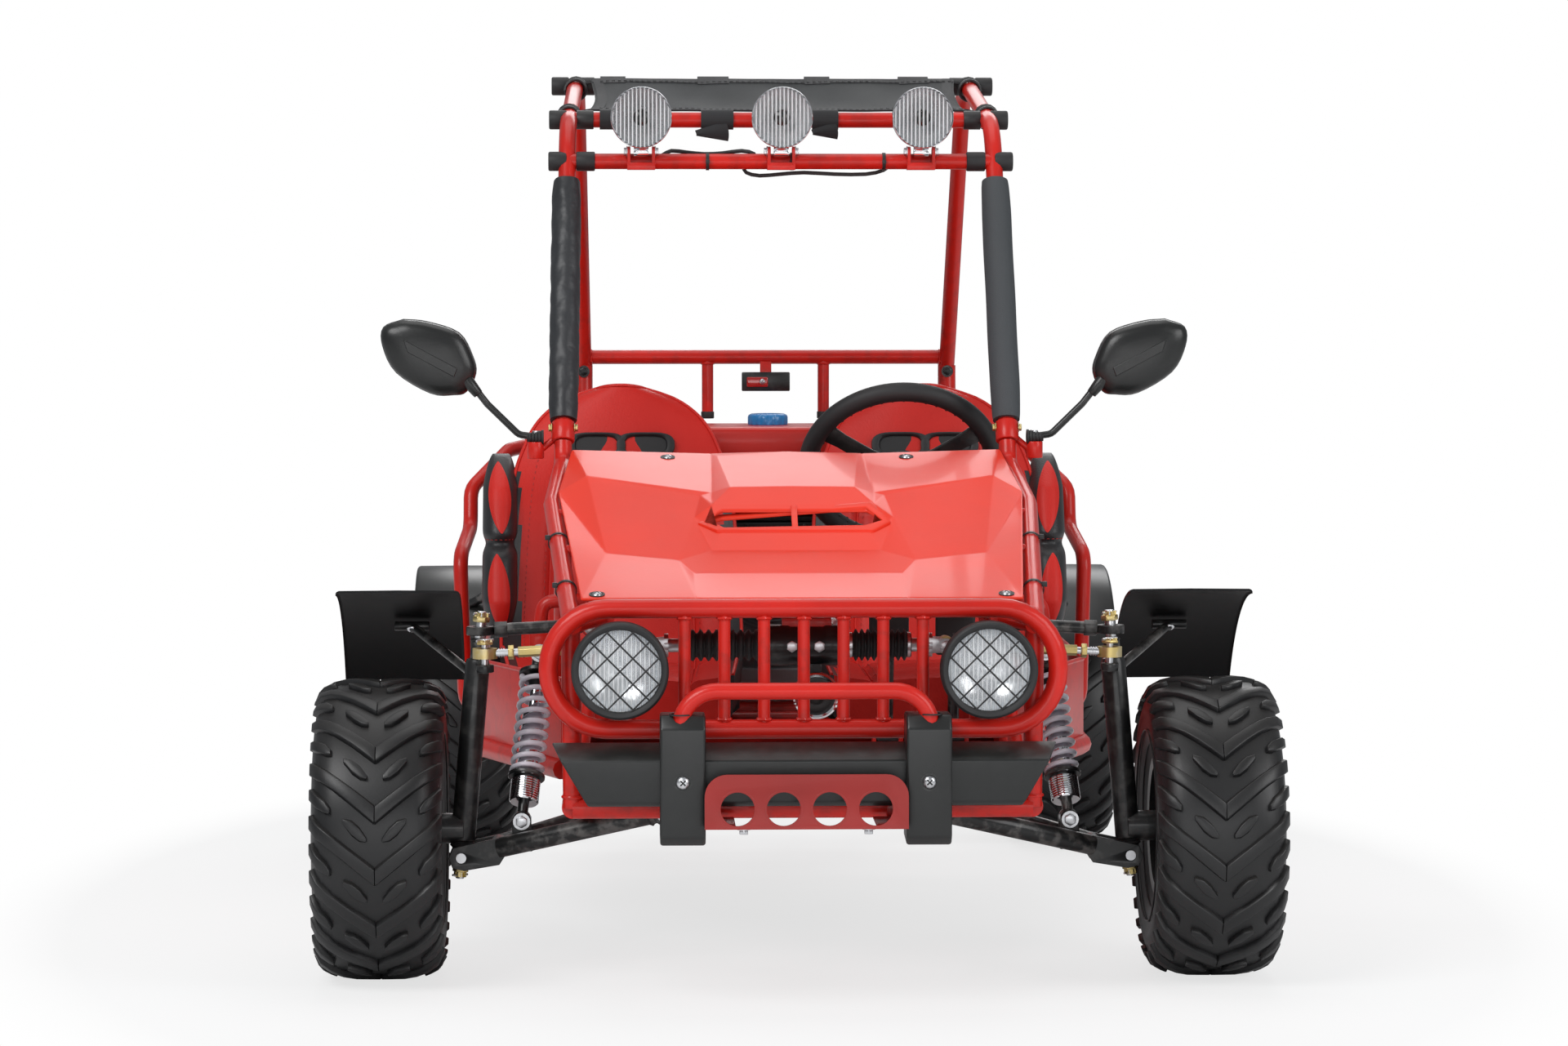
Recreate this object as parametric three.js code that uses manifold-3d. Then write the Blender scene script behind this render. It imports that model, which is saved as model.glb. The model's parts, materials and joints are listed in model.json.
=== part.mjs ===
// Two-seat off road go kart. Millimetres, +Z up, the nose towards -Y, the driver's side at +X.
// Every place along Y is written from the front axle and the whole is centred at the end.
import * as THREE from 'three';
import { mergeVertices } from 'three/addons/utils/BufferGeometryUtils.js';
import Module from 'manifold-3d';

const wasm = await Module();
wasm.setup();

// Driving dimensions of the whole
const wheelbase = 1310;
const frontTrackHalf = 489;
const rearTrackHalf = 429;
const tyreRadius = 177.5;
const frontTyreWidth = 148;
const rearTyreWidth = 146;
const noseReach = 318;

// Shared tube radii, plate, pins and clearances
const tubeR = 11;
const railR = 12.5;
const slimR = 7;
const plate = 5;
const pinR = 7;
const seatGap = 0.3;
const turnGap = 0.35;
const overrun = 30;
const meshStep = 1e-4;
const meshTrim = 0.25;

// Wheels
const rimR = 76;
const rimLip = 7;
const rimWall = 3;
const tyreWall = 14;
const lugDepth = 6;
const hubR = 30;
const hubHalf = 21;
const spindleR = 12;
const tyreSides = 16;
const rimSides = 12;

// Front suspension, driver's side; X out from the middle
const lowerPivotX = 155;
const lowerPivotZ = 207;
const lowerPivotSpread = 85;
const lowerBallX = 395;
const lowerBallZ = 144;
const upperPivotX = 240;
const upperPivotZ = 418;
const upperPivotSpread = 24;
const upperBallX = 372;
const upperBallZ = 411;
const armTubeR = 12;
const kingpinR = 14.5;
const bushR = 15;
const studR = 6;
const studPlay = 3.2;
const steerArm = 60;
const tieOuterZ = 389;
const tieInnerX = 172;
const tieInnerZ = 398;
const tieRodR = 6.5;
const tieStudR = 4;
const tiePlay = 5.6;
const tieEyeBack = 2.4;

// Front shock: lower eye, upper eye, spring
const shockLowX = 324;
const shockLowY = 8;
const shockLowZ = 186;
const shockHighX = 304;
const shockHighY = 115;
const shockHighZ = 376;
const shockEyeR = 11;
const shockEyeWidth = 20;
const shockPinR = 5;
const shockPlay = 1.2;
const shockEarOut = 12;
const shockStem = 22;
const shockCupR = 17;
const shockCupTop = 58;
const shockTubeR = 12.5;
const shockTubeTop = 140;
const shockRodR = 6.5;
const shockSeatR = 22;
const shockSeat = 5;
const springCoilR = 18;
const springWireR = 3.15;
const springCurls = 9;

// Rear swing arm, axle and shock
const swingPivotY = 1110;
const swingPivotZ = 225;
const swingHalf = 140;
const swingTubeR = 16;
const swingArmR = 14;
const axleR = 15;
const carrierX = 190;
const carrierR = 30;
const carrierWidth = 30;
const discR = 80;
const discX = 110;
const chainCaseX = 72;
const chainCaseWidth = 22;
const chainCaseR = 46;
const rearShockHighY = 1186;
const rearShockHighZ = 474;
const rearShockLowY = 1250;
const rearShockLowZ = 242;
const rearCoilR = 22;
const rearWireR = 4;
const rearCurls = 6;

// Front frame and guard
const guardY = -230;
const guardHalf = 289;
const guardLow = 317;
const guardHigh = 454;
const guardBars = 7;
const guardBarPitch = 45;
const crossY = -205;
const crossZ = 225;
const outerRailX = 262;
const innerRailX = 150;
const innerRailZ = 243;
const frameJointY = 184;
const innerJointY = 197.6;
const towerX = 225;
const towerZ = 441;
const towerFrontY = -105;
const towerRearY = 60;
const dashY = 345;
const dashZ = 572;

// Nose: bull bar, bumper, skid plate
const bullY = -290;
const bullX = 141;
const bullTop = 365.5;
const bullFoot = 262;
const bullR = 9.5;
const bullBend = 4.4;
const bumperHalf = 285;
const bumperTop = 304;
const bumperEdge = 287;
const bumperLow = 235;
const bumperFront = -288;
const bumperBack = -246;
const blockWidth = 51;
const blockTop = 339;
const blockLow = 192;
const blockFront = -304;
const blockX = 138;
const skidHalf = 114;
const skidLow = 213;
const skidHigh = 274.5;
const skidCorner = 18;
const skidPlate = 3;
const skidHoles = 4;
const skidHolePitch = 51.5;
const skidHoleR = 19;
const skidTabX = 95;

// Hood
const hoodFrontY = -190;
const hoodFrontZ = 463;
const hoodLength = 520;
const hoodRise = 147;
const hoodHalf = 282;
const hoodRelief = 24;
const hoodSheet = 4;
const slotHalf = 105;
const slotLength = 33;
const slotY = 53.5;
const slotBridge = 7;

// Roll cage
const cageHalf = 278;
const roofFrontHalf = 273;
const roofRearHalf = 264;
const postHalf = 257;
const cageBaseY = 350;
const cageBaseZ = 619;
const bendY = 542;
const bendZ = 1016;
const rearBendY = 925;
const rearBendZ = 1090;
const postBaseY = 1150;
const postBaseZ = 694;
const lightBarY = 520;
const lightBarZ = 971;
const roofFrontY = 600;
const roofFrontZ = 1026;
const roofRearY = 860;
const roofRearZ = 1078;
const crossTubeR = 10;
const crossTubeHalf = 298;
const capLength = 24;
const capWall = 2.5;
const collarWall = 3.5;
const collarLength = 26;
const padR = 19;
const padLow = 645;
const padHigh = 945;
const stubX = 82;
const stubLow = 619;
const stubFoot = 20;
const rackZ = 706;
const tailPlateHalf = 34;
const tailPlateLow = 658;
const tailPlateHigh = 685;

// Lamps
const headX = 208;
const headZ = 386;
const headFront = -270;
const headRingR = 55;
const headRing = 26;
const headBowlR = 47;
const headDepth = 46;
const headPivotY = -205;
const roofLampX = 179;
const roofLampZ = 1026;
const roofLampR = 39;
const roofLampFront = 466;
const roofLampDepth = 90;
const roofLampPivotY = 505;
const roofLampPivotZ = 983;
const roofBallast = 24;
const leadR = 2.6;

// Floor frame
const floorHalf = 385;
const floorWideY = 470;
const floorRearY = 900;
const floorFrontY = 195;
const panSheet = 3;
const seatTubeFrontY = 560;
const seatTubeRearY = 800;
const engineTubeY = 940;
const rearCrossY = 1080;
const tankTubeZ = 484;
const hoopRootZ = 600;
const hoopBendX = 361;
const hoopBendY = 1020;
const hoopBendZ = 580;
const hoopTopX = 411;
const hoopTopY = 950;
const hoopTopZ = 530;
const hoopKneeZ = 478;
const hoopOutX = 422;
const hoopOutY = 829;
const hoopOutZ = 445;
const sheetTop = 338;

// Seats
const seatX = 205;
const seatHalf = 150;
const seatFrontY = 470;
const seatBackY = 760;
const seatTopY = 850;
const seatTopZ = 672;
const seatCushionZ = 308.6;
const seatThick = 72;
const seatBolster = 46;
const seatCrown = 12;

// Tank, engine, muffler
const tankHalf = 112;
const tankFrontY = 945;
const tankRearY = 1108;
const tankLow = 496;
const tankHigh = 614;
const tankCorner = 22;
const tankNeckR = 17;
const capR = 28;
const capHeight = 15;
const fillerY = 1050;
const crankY = 1010;
const crankZ = 318;
const crankR = 72;
const crankHalf = 118;
const barrelR = 40;
const finR = 56;
const fins = 3;
const barrelReach = 128;
const mufflerR = 36;
const mufflerX = 195;
const mufflerZ = 335;
const mufflerLength = 170;

// Steering wheel, column, lower shaft, rack
const wheelX = 152;
const wheelY = 480;
const wheelZ = 581;
const wheelR = 119.5;
const wheelGripR = 12.5;
const columnR = 11;
const columnLength = 150;
const columnTilt = 35;
const shaftR = 8;
const rackY = -steerArm;
const rackZHigh = tieInnerZ;
const rackBarR = 8;
const rackBodyX = 10;
const rackBodyHalf = 48;
const rackBodyR = 24;
const bellowsEnd = 132.5;
const bellowsR = 19;
const bellowsRoot = 14;
const bellowsRibs = 4;
const bellowsSides = 8;
const pinionX = 34;

// Pedals
const pedalPivotY = 150;
const pedalPivotZ = 270;
const pedalHeight = 130;
const pedalWidth = 48;
const throttleX = 116;
const brakeX = 196;

// Mirrors
const mirrorPivotX = 312;
const mirrorPivotY = 352;
const mirrorPivotZ = 616;
const mirrorHeadX = 450;
const mirrorHeadZ = 716;
const mirrorHalfWidth = 56;
const mirrorHalfHeight = 48;
const mirrorDepth = 26;
const mirrorStalkR = 4.5;

// Fenders
const fenderR = 280;
const fenderSheet = 4;
const fenderInner = 397;
const fenderWidth = 146;
const fenderFrom = 36;
const fenderTo = 84;
const fenderStayShare = 0.64;
const rearFenderR = 222;
const rearFenderInner = 359;
const rearFenderWidth = 140;

// Canvas
const canvasSheet = 2.4;
const canvasHalf = 246;
const canvasSag = 12;
const canvasHem = 1;

const xAxis = new THREE.Vector3(1, 0, 0);
const yAxis = new THREE.Vector3(0, 1, 0);
const zAxis = new THREE.Vector3(0, 0, 1);
const spot = (x, y, z) => new THREE.Vector3(x, y, z);
const between = (a, b, share) => a.clone().lerp(b, share);
const degrees = THREE.MathUtils.degToRad;

// A closed three.js geometry as a solid whose faces point out.
function solid(geometry) {
  const bare = geometry.clone();
  bare.deleteAttribute('normal');
  bare.deleteAttribute('uv');
  const merged = mergeVertices(bare, meshStep);
  const place = merged.attributes.position.array;
  const corner = merged.index.array;
  const faces = [];
  const a = spot(0, 0, 0);
  const b = spot(0, 0, 0);
  const c = spot(0, 0, 0);
  let volume = 0;
  for (let i = 0; i < corner.length; i += 3) {
    const [p, q, r] = [corner[i], corner[i + 1], corner[i + 2]];
    if (p === q || q === r || r === p) continue;
    faces.push([p, q, r]);
    volume += a.fromArray(place, p * 3).dot(b.fromArray(place, q * 3).cross(c.fromArray(place, r * 3)));
  }
  const triVerts = Uint32Array.from(faces.flatMap(([p, q, r]) => (volume < 0 ? [p, r, q] : [p, q, r])));
  return new wasm.Manifold(new wasm.Mesh({ numProp: 3, vertProperties: Float32Array.from(place), triVerts }));
}

const join = (...pieces) => pieces.flat(Infinity).reduce((whole, piece) => whole.add(piece));
const cut = (whole, ...tools) => tools.flat(Infinity).reduce((left, tool) => left.subtract(tool), whole);

// The radius whose polygon of that many sides clears a round of radius r.
const clearing = (r, sides) => r / Math.cos(Math.PI / sides);

function box(width, depth, height, centre) {
  return solid(new THREE.BoxGeometry(width, depth, height).translate(centre.x, centre.y, centre.z));
}

// A box between two opposite corners.
function span(low, high) {
  const size = high.clone().sub(low);
  return box(Math.abs(size.x), Math.abs(size.y), Math.abs(size.z), between(low, high, 0.5));
}

function rod(from, to, radius, sides = 5, farRadius = radius) {
  const reach = to.clone().sub(from);
  const shape = new THREE.CylinderGeometry(farRadius, radius, reach.length(), sides);
  shape.applyQuaternion(new THREE.Quaternion().setFromUnitVectors(yAxis, reach.normalize()));
  const middle = between(from, to, 0.5);
  return solid(shape.translate(middle.x, middle.y, middle.z));
}

// A rod centred on a point and lying along an axis.
function pin(centre, axis, half, radius, sides = 6) {
  const reach = axis.clone().multiplyScalar(half);
  return rod(centre.clone().sub(reach), centre.clone().add(reach), radius, sides);
}

// A path that passes exactly through its points, with a ring at each.
class RingPath extends THREE.Curve {
  constructor(points, closed = false) {
    super();
    this.points = points;
    this.closed = closed;
  }

  index(u) {
    const last = this.closed ? this.points.length : this.points.length - 1;
    return Math.round(u * last) % this.points.length;
  }

  getPoint(u, target = new THREE.Vector3()) {
    return target.copy(this.points[this.index(u)]);
  }

  getPointAt(u, target) {
    return this.getPoint(u, target);
  }

  getTangent(u, target = new THREE.Vector3()) {
    const count = this.points.length;
    const i = this.index(u);
    const here = this.points[i];
    const before = this.closed ? this.points[(i + count - 1) % count] : this.points[Math.max(i - 1, 0)];
    const after = this.closed ? this.points[(i + 1) % count] : this.points[Math.min(i + 1, count - 1)];
    const into = here.clone().sub(before).normalize();
    return target.copy(after).sub(here).normalize().add(into).normalize();
  }

  getTangentAt(u, target) {
    return this.getTangent(u, target);
  }
}

// The corners of a route rounded to a bend radius, about 45 degrees to a step.
function rounded(route, bend, closed = false) {
  const points = [];
  const count = route.length;
  route.forEach((corner, i) => {
    if (!closed && (i === 0 || i === count - 1)) {
      points.push(corner);
      return;
    }
    const before = route[(i + count - 1) % count].clone().sub(corner).normalize();
    const after = route[(i + 1) % count].clone().sub(corner).normalize();
    const turn = Math.PI - before.angleTo(after);
    const setback = bend * Math.tan(turn / 2);
    const middle = before.clone().add(after).normalize().multiplyScalar(bend / Math.cos(turn / 2)).add(corner);
    const start = corner.clone().addScaledVector(before, setback).sub(middle);
    const axis = start.clone().cross(corner.clone().addScaledVector(after, setback).sub(middle)).normalize();
    const steps = Math.max(1, Math.round(turn / degrees(45)));
    for (let step = 0; step <= steps; step += 1) {
      points.push(start.clone().applyAxisAngle(axis, (turn * step) / steps).add(middle));
    }
  });
  return points;
}

function roundShape(radius, sides) {
  const corners = [];
  for (let i = 0; i < sides; i += 1) {
    const angle = (2 * Math.PI * (i + 0.5)) / sides;
    corners.push(new THREE.Vector2(radius * Math.cos(angle), radius * Math.sin(angle)));
  }
  return new THREE.Shape(corners);
}

// A tube along a route with rounded corners.
function pipe(route, radius, bend = radius * 3, sides = 6) {
  const path = new RingPath(rounded(route, bend));
  const steps = path.points.length - 1;
  return solid(new THREE.ExtrudeGeometry(roundShape(radius, sides), { steps, extrudePath: path, bevelEnabled: false }));
}

// A closed ring of tube.
function hoop(route, radius, bend, sides = 6) {
  const path = new RingPath(rounded(route, bend, true), true);
  return solid(new THREE.TubeGeometry(path, path.points.length, radius, sides, true));
}

// An outline extruded along one axis: 'x' takes (y, z), 'y' takes (x, z), 'z' takes (x, y).
function slab(outline, axis, low, high, holes = []) {
  const shape = new THREE.Shape(outline.map(([a, b]) => new THREE.Vector2(a, b)));
  holes.forEach(([a, b, r, sides]) => {
    const ring = roundShape(r, sides).getPoints().map((corner) => corner.add(new THREE.Vector2(a, b)));
    shape.holes.push(new THREE.Path(ring));
  });
  const block = new THREE.ExtrudeGeometry(shape, { depth: high - low, bevelEnabled: false });
  if (axis === 'x') block.applyMatrix4(new THREE.Matrix4().makeBasis(yAxis, zAxis, xAxis).setPosition(low, 0, 0));
  if (axis === 'z') block.translate(0, 0, low);
  if (axis === 'y') {
    const forward = yAxis.clone().negate();
    block.applyMatrix4(new THREE.Matrix4().makeBasis(xAxis, zAxis, forward).setPosition(0, high, 0));
  }
  return solid(block);
}

// A profile of [radius, height] pairs turned about an axis through a point. A closed profile repeats its start.
function turned(profile, sides, centre, axis) {
  const points = profile.map(([r, h]) => new THREE.Vector2(r, h));
  const shape = new THREE.LatheGeometry(points, sides, Math.PI / sides);
  shape.applyQuaternion(new THREE.Quaternion().setFromUnitVectors(yAxis, axis));
  return shape.translate(centre.x, centre.y, centre.z);
}

const closedProfile = (profile) => [...profile, profile[0]];

// A closed solid between two grids of points over the same steps.
function padSolid(across, along, top, bottom) {
  const points = [];
  const faces = [];
  const width = across + 1;
  const layer = width * (along + 1);
  [top, bottom].forEach((surface) => {
    for (let j = 0; j <= along; j += 1) {
      for (let i = 0; i <= across; i += 1) points.push(...surface(i / across, j / along).toArray());
    }
  });
  const quad = (a, b, c, d) => faces.push(a, b, c, a, c, d);
  for (let j = 0; j < along; j += 1) {
    for (let i = 0; i < across; i += 1) {
      const a = j * width + i;
      quad(a, a + 1, a + 1 + width, a + width);
      quad(layer + a, layer + a + width, layer + a + 1 + width, layer + a + 1);
    }
  }
  for (let i = 0; i < across; i += 1) {
    const far = along * width + i;
    quad(i, i + layer, i + 1 + layer, i + 1);
    quad(far, far + 1, far + 1 + layer, far + layer);
  }
  for (let j = 0; j < along; j += 1) {
    const near = j * width;
    const far = near + across;
    quad(near, near + width, near + width + layer, near + layer);
    quad(far, far + layer, far + width + layer, far + width);
  }
  const shape = new THREE.BufferGeometry();
  shape.setAttribute('position', new THREE.Float32BufferAttribute(points, 3));
  shape.setIndex(faces);
  return solid(shape);
}

// One unbroken wire of curls between two seats on an axis; its ends stand square to the seats.
function coil(from, to, coilR, wireR, curls, label) {
  const curlSteps = 8;
  const wireSides = 5;
  const length = to.distanceTo(from);
  const turnFrame = new THREE.Quaternion().setFromUnitVectors(zAxis, to.clone().sub(from).normalize());
  const lead = 2 * wireR;
  const route = [spot(coilR, 0, seatGap)];
  const steps = curls * curlSteps;
  const rise = length - 2 * (lead + seatGap);
  for (let i = 0; i <= steps; i += 1) {
    const angle = (2 * Math.PI * i) / curlSteps;
    route.push(spot(coilR * Math.cos(angle), coilR * Math.sin(angle), seatGap + lead + (rise * i) / steps));
  }
  route.push(spot(coilR, 0, length - seatGap));
  let least = Infinity;
  route.forEach((here, i) => {
    route.slice(i + curlSteps / 2 + 1).forEach((there) => {
      least = Math.min(least, here.distanceTo(there) - 2 * wireR);
    });
  });
  console.log(`${label}: least gap to itself ${least.toFixed(2)} mm`);
  const path = new RingPath(route);
  const points = [];
  const faces = [];
  const frames = path.computeFrenetFrames(route.length - 1, false);
  route.forEach((here, i) => {
    for (let k = 0; k < wireSides; k += 1) {
      const angle = (2 * Math.PI * k) / wireSides;
      const rim = here.clone().addScaledVector(frames.normals[i], wireR * Math.cos(angle));
      rim.addScaledVector(frames.binormals[i], wireR * Math.sin(angle));
      points.push(...rim.applyQuaternion(turnFrame).add(from).toArray());
    }
  });
  for (let i = 0; i < route.length - 1; i += 1) {
    for (let k = 0; k < wireSides; k += 1) {
      const a = i * wireSides + k;
      const b = i * wireSides + ((k + 1) % wireSides);
      faces.push(a, b, b + wireSides, a, b + wireSides, a + wireSides);
    }
  }
  const last = (route.length - 1) * wireSides;
  for (let k = 1; k < wireSides - 1; k += 1) {
    faces.push(0, k + 1, k, last, last + k, last + k + 1);
  }
  const shape = new THREE.BufferGeometry();
  shape.setAttribute('position', new THREE.Float32BufferAttribute(points, 3));
  shape.setIndex(faces);
  return solid(shape);
}

const finishes = {
  tubePaint: ['#c22a22', 0.35, 0.1],
  hoodPaint: ['#e63c28', 0.25, 0.1],
  blackPlastic: ['#232626', 0.55, 0],
  blackSteel: ['#1c1d1e', 0.4, 0.6],
  rubber: ['#1c1c1e', 0.85, 0],
  vinyl: ['#c4302b', 0.5, 0],
  foam: ['#46494d', 0.8, 0],
  cloth: ['#2f3234', 0.9, 0],
  chrome: ['#d8dadc', 0.12, 1],
  springPaint: ['#dcd7e1', 0.4, 0.2],
  gold: ['#c8b978', 0.35, 0.8],
  alloy: ['#8d9194', 0.45, 0.8],
  glass: ['#cfd4d6', 0.15, 0.1],
  capPlastic: ['#288cd2', 0.35, 0.1],
};

const kart = new THREE.Group();
kart.position.y = -(wheelbase + tyreRadius - noseReach) / 2;

function piece(name, body, finish) {
  const { vertProperties, triVerts } = body.simplify(meshTrim).getMesh();
  const shape = new THREE.BufferGeometry();
  shape.setAttribute('position', new THREE.Float32BufferAttribute(vertProperties, 3));
  shape.setIndex(new THREE.Uint32BufferAttribute(triVerts, 1));
  shape.computeVertexNormals();
  const [color, roughness, metalness] = finishes[finish];
  const mesh = new THREE.Mesh(shape, new THREE.MeshStandardMaterial({ color, roughness, metalness }));
  mesh.name = name;
  kart.add(mesh);
}

const sides = [['left', 1], ['right', -1]];

// Points of the suspension that several pieces share.
const lowerBall = (side) => spot(side * lowerBallX, 0, lowerBallZ);
const upperBall = (side) => spot(side * upperBallX, 0, upperBallZ);
const kingpinAt = (side, share) => between(lowerBall(side), upperBall(side), share);
const kingpinAxis = (side) => upperBall(side).sub(lowerBall(side)).normalize();
const kingpinLength = lowerBall(1).distanceTo(upperBall(1));
const shockLow = (side) => spot(side * shockLowX, shockLowY, shockLowZ);
const shockHigh = (side) => spot(side * shockHighX, shockHighY, shockHighZ);
const tieOuter = (side) => spot(side * (upperBallX - pinR), rackY, tieOuterZ);
const tieInner = (side) => spot(side * tieInnerX, rackY, tieInnerZ);
const rearShockHigh = spot(0, rearShockHighY, rearShockHighZ);
const rearShockLow = spot(0, rearShockLowY, rearShockLowZ);
const columnAxis = spot(0, Math.cos(degrees(columnTilt)), Math.sin(degrees(columnTilt)));
const wheelCentre = spot(wheelX, wheelY, wheelZ);
const columnEnd = wheelCentre.clone().addScaledVector(columnAxis, -columnLength);
const pinionTop = spot(pinionX, rackY + rackBodyR, rackZHigh + rackBodyR / 2);
const hoodZ = (y) => hoodFrontZ + (hoodRise * (y - hoodFrontY)) / hoodLength;
const pillarAt = (z) => {
  const share = (z - cageBaseZ) / (bendZ - cageBaseZ);
  const foot = spot(cageHalf, cageBaseY, cageBaseZ);
  return foot.lerp(spot(roofFrontHalf, bendY, bendZ), share);
};
const mirrored = (point, side) => spot(side * point.x, point.y, point.z);

// Tyre: a hollow ring whose shoulders step in and out as the lugs do.
function tyre(name, x, y, width) {
  const half = width / 2;
  const lip = half - tyreWall;
  const outer = [
    [rimR + turnGap, lip],
    [rimR + rimLip, lip],
    [tyreRadius * 0.7, half],
    [tyreRadius * 0.87, half * 0.97],
    [tyreRadius * 0.955, half * 0.82],
    [tyreRadius, half * 0.34],
  ];
  const inner = [
    [rimR + turnGap, -lip + tyreWall],
    [tyreRadius - tyreWall * 1.4, -half + tyreWall * 1.7],
  ];
  const flip = (list) => [...list].reverse().map(([r, h]) => [r, -h]);
  const profile = closedProfile([...outer, ...flip(outer), ...inner, ...flip(inner)]);
  const scale = clearing(1, tyreSides);
  const shape = turned(profile.map(([r, h]) => [r * scale, h]), tyreSides, spot(x, y, tyreRadius), xAxis);
  const place = shape.attributes.position;
  const rings = profile.length;
  const shoulders = [3, 4, outer.length * 2 - 5, outer.length * 2 - 4];
  for (let i = 0; i < place.count; i += 1) {
    const ring = i % rings;
    const station = Math.floor(i / rings) % tyreSides;
    const sunk = shoulders.includes(ring) && (station + (ring < outer.length ? 0 : 1)) % 2 === 0;
    if (sunk) {
      const here = spot(x, place.getY(i) - y, place.getZ(i) - tyreRadius);
      const radius = Math.hypot(here.y, here.z);
      place.setY(i, y + here.y * (1 - lugDepth / radius));
      place.setZ(i, tyreRadius + here.z * (1 - lugDepth / radius));
    }
  }
  piece(name, solid(shape), 'rubber');
}

// Rim ring, dish and hub about X; the bore clears its spindle.
function rimSolid(side, x, y, width, bore) {
  const lip = width / 2 - tyreWall + seatGap;
  const seat = rimR;
  const hole = clearing(bore + turnGap, rimSides);
  const profile = closedProfile([
    [seat, lip],
    [seat + rimLip * 0.9, lip + rimWall / 2],
    [seat + rimLip * 0.9, lip + rimWall],
    [seat - rimWall, lip + rimWall],
    [seat - rimWall, rimWall * 4],
    [hubR, rimWall * 4],
    [hubR, hubHalf],
    [hole, hubHalf],
    [hole, -hubHalf],
    [hubR, -hubHalf],
    [hubR, rimWall * 2.5],
    [seat - rimWall * 1.5, rimWall * 2.5],
    [seat - rimWall * 1.5, -lip - rimWall],
    [seat + rimLip * 0.9, -lip - rimWall],
    [seat + rimLip * 0.9, -lip],
    [seat, -lip],
  ]);
  return solid(turned(profile.map(([r, h]) => [r, side * h]), rimSides, spot(x, y, tyreRadius), xAxis));
}

function frontWheels() {
  sides.forEach(([word, side]) => {
    tyre(`front_tyre_${word}`, side * frontTrackHalf, 0, frontTyreWidth);
    piece(`front_rim_${word}`, rimSolid(side, side * frontTrackHalf, 0, frontTyreWidth, spindleR), 'blackSteel');
  });
}

// The rear axle with its two rims, the brake disc and its carrier.
function rearAxle() {
  const middle = spot(0, wheelbase, tyreRadius);
  const rims = sides.map(([, side]) => rimSolid(side, side * rearTrackHalf, wheelbase, rearTyreWidth, axleR / 2));
  const shaft = pin(middle, xAxis, rearTrackHalf + hubHalf, axleR, 12);
    const disc = pin(spot(-discX, wheelbase, tyreRadius), xAxis, plate / 2, discR, 14);
  const boss = pin(spot(-discX, wheelbase, tyreRadius), xAxis, plate * 2, hubR, 8);
  piece('rear_axle', join(shaft, rims, disc, boss), 'blackSteel');
  sides.forEach(([word, side]) => tyre(`rear_tyre_${word}`, side * rearTrackHalf, wheelbase, rearTyreWidth));
}

// Lower arm: two tubes from the frame bushes to the fork that holds the ball joint's block.
function lowerArms() {
  sides.forEach(([word, side]) => {
    const fork = lowerBall(side);
    const bushes = [-1, 1].map((end) => spot(side * lowerPivotX, end * lowerPivotSpread, lowerPivotZ));
    const ears = [-1, 1].map((end) => {
      const ear = pin(spot(fork.x, end * (bushR + plate / 2 + turnGap), fork.z), yAxis, plate / 2, bushR, 8);
      return cut(ear, pin(fork, yAxis, overrun, clearing(studR + turnGap, 8), 8));
    });
    const neck = spot(side * (lowerBallX - bushR * 3), 0, lowerBallZ + bushR * 0.8);
    const yoke = pin(neck, yAxis, bushR + plate + turnGap, armTubeR, 5);
    const webs = [-1, 1].map((end) => {
      const out = end * (bushR + plate / 2 + turnGap);
      const low = spot(Math.min(neck.x, fork.x - side * studR * 1.6), out - plate / 2, fork.z - bushR * 0.6);
      const high = spot(Math.max(neck.x, fork.x - side * studR * 1.6), out + plate / 2, fork.z + bushR * 0.75);
      return span(low, high);
    });
    const tubes = bushes.map((bush) => rod(bush, spot(neck.x, Math.sign(bush.y) * bushR, neck.z), armTubeR, 5));
    const sleeves = bushes.map((bush) => pin(bush, yAxis, bushR, bushR, 8));
    const foot = shockLow(side);
    const tabs = [-1, 1].map((end) => {
      const out = foot.y + end * shockEarOut;
      const low = spot(foot.x - shockEyeR, out + end * plate, foot.z - bushR * 2.2);
      return span(low, spot(foot.x + shockEyeR, out, foot.z + shockPinR));
    });
    const saddle = spot(foot.x, foot.y, foot.z - bushR * 2);
    const bridge = box(shockEyeR * 2.4, bushR * 4, plate * 1.6, saddle);
      const bolt = pin(foot, yAxis, shockEarOut + plate * 2, shockPinR, 5);
    const body = join(tubes, yoke, webs, ears, tabs, bridge, bolt, sleeves);
    const bores = bushes.map((bush) => pin(bush, yAxis, overrun, clearing(pinR + turnGap, 8), 8));
    piece(`lower_arm_${word}`, cut(body, bores), 'blackSteel');
  });
}

// Ball joint block: a cross pin in the arm's fork, a stud up into the kingpin and a castle nut below.
function ballJoints() {
  sides.forEach(([word, side]) => {
    const centre = lowerBall(side);
    const axis = kingpinAxis(side);
    const block = pin(centre, yAxis, bushR - turnGap, studR * 2, 10);
    const cross = pin(centre, yAxis, bushR + plate + turnGap, studR, 5);
    const stud = rod(centre, kingpinAt(side, 0.2), studR + 2, 5);
    const nut = rod(centre.clone().addScaledVector(axis, -studR * 1.4), centre.clone().addScaledVector(axis, -studR * 4), studR * 1.6, 5);
    piece(`lower_ball_joint_${word}`, join(block, cross, stud, nut), 'gold');
  });
}

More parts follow.
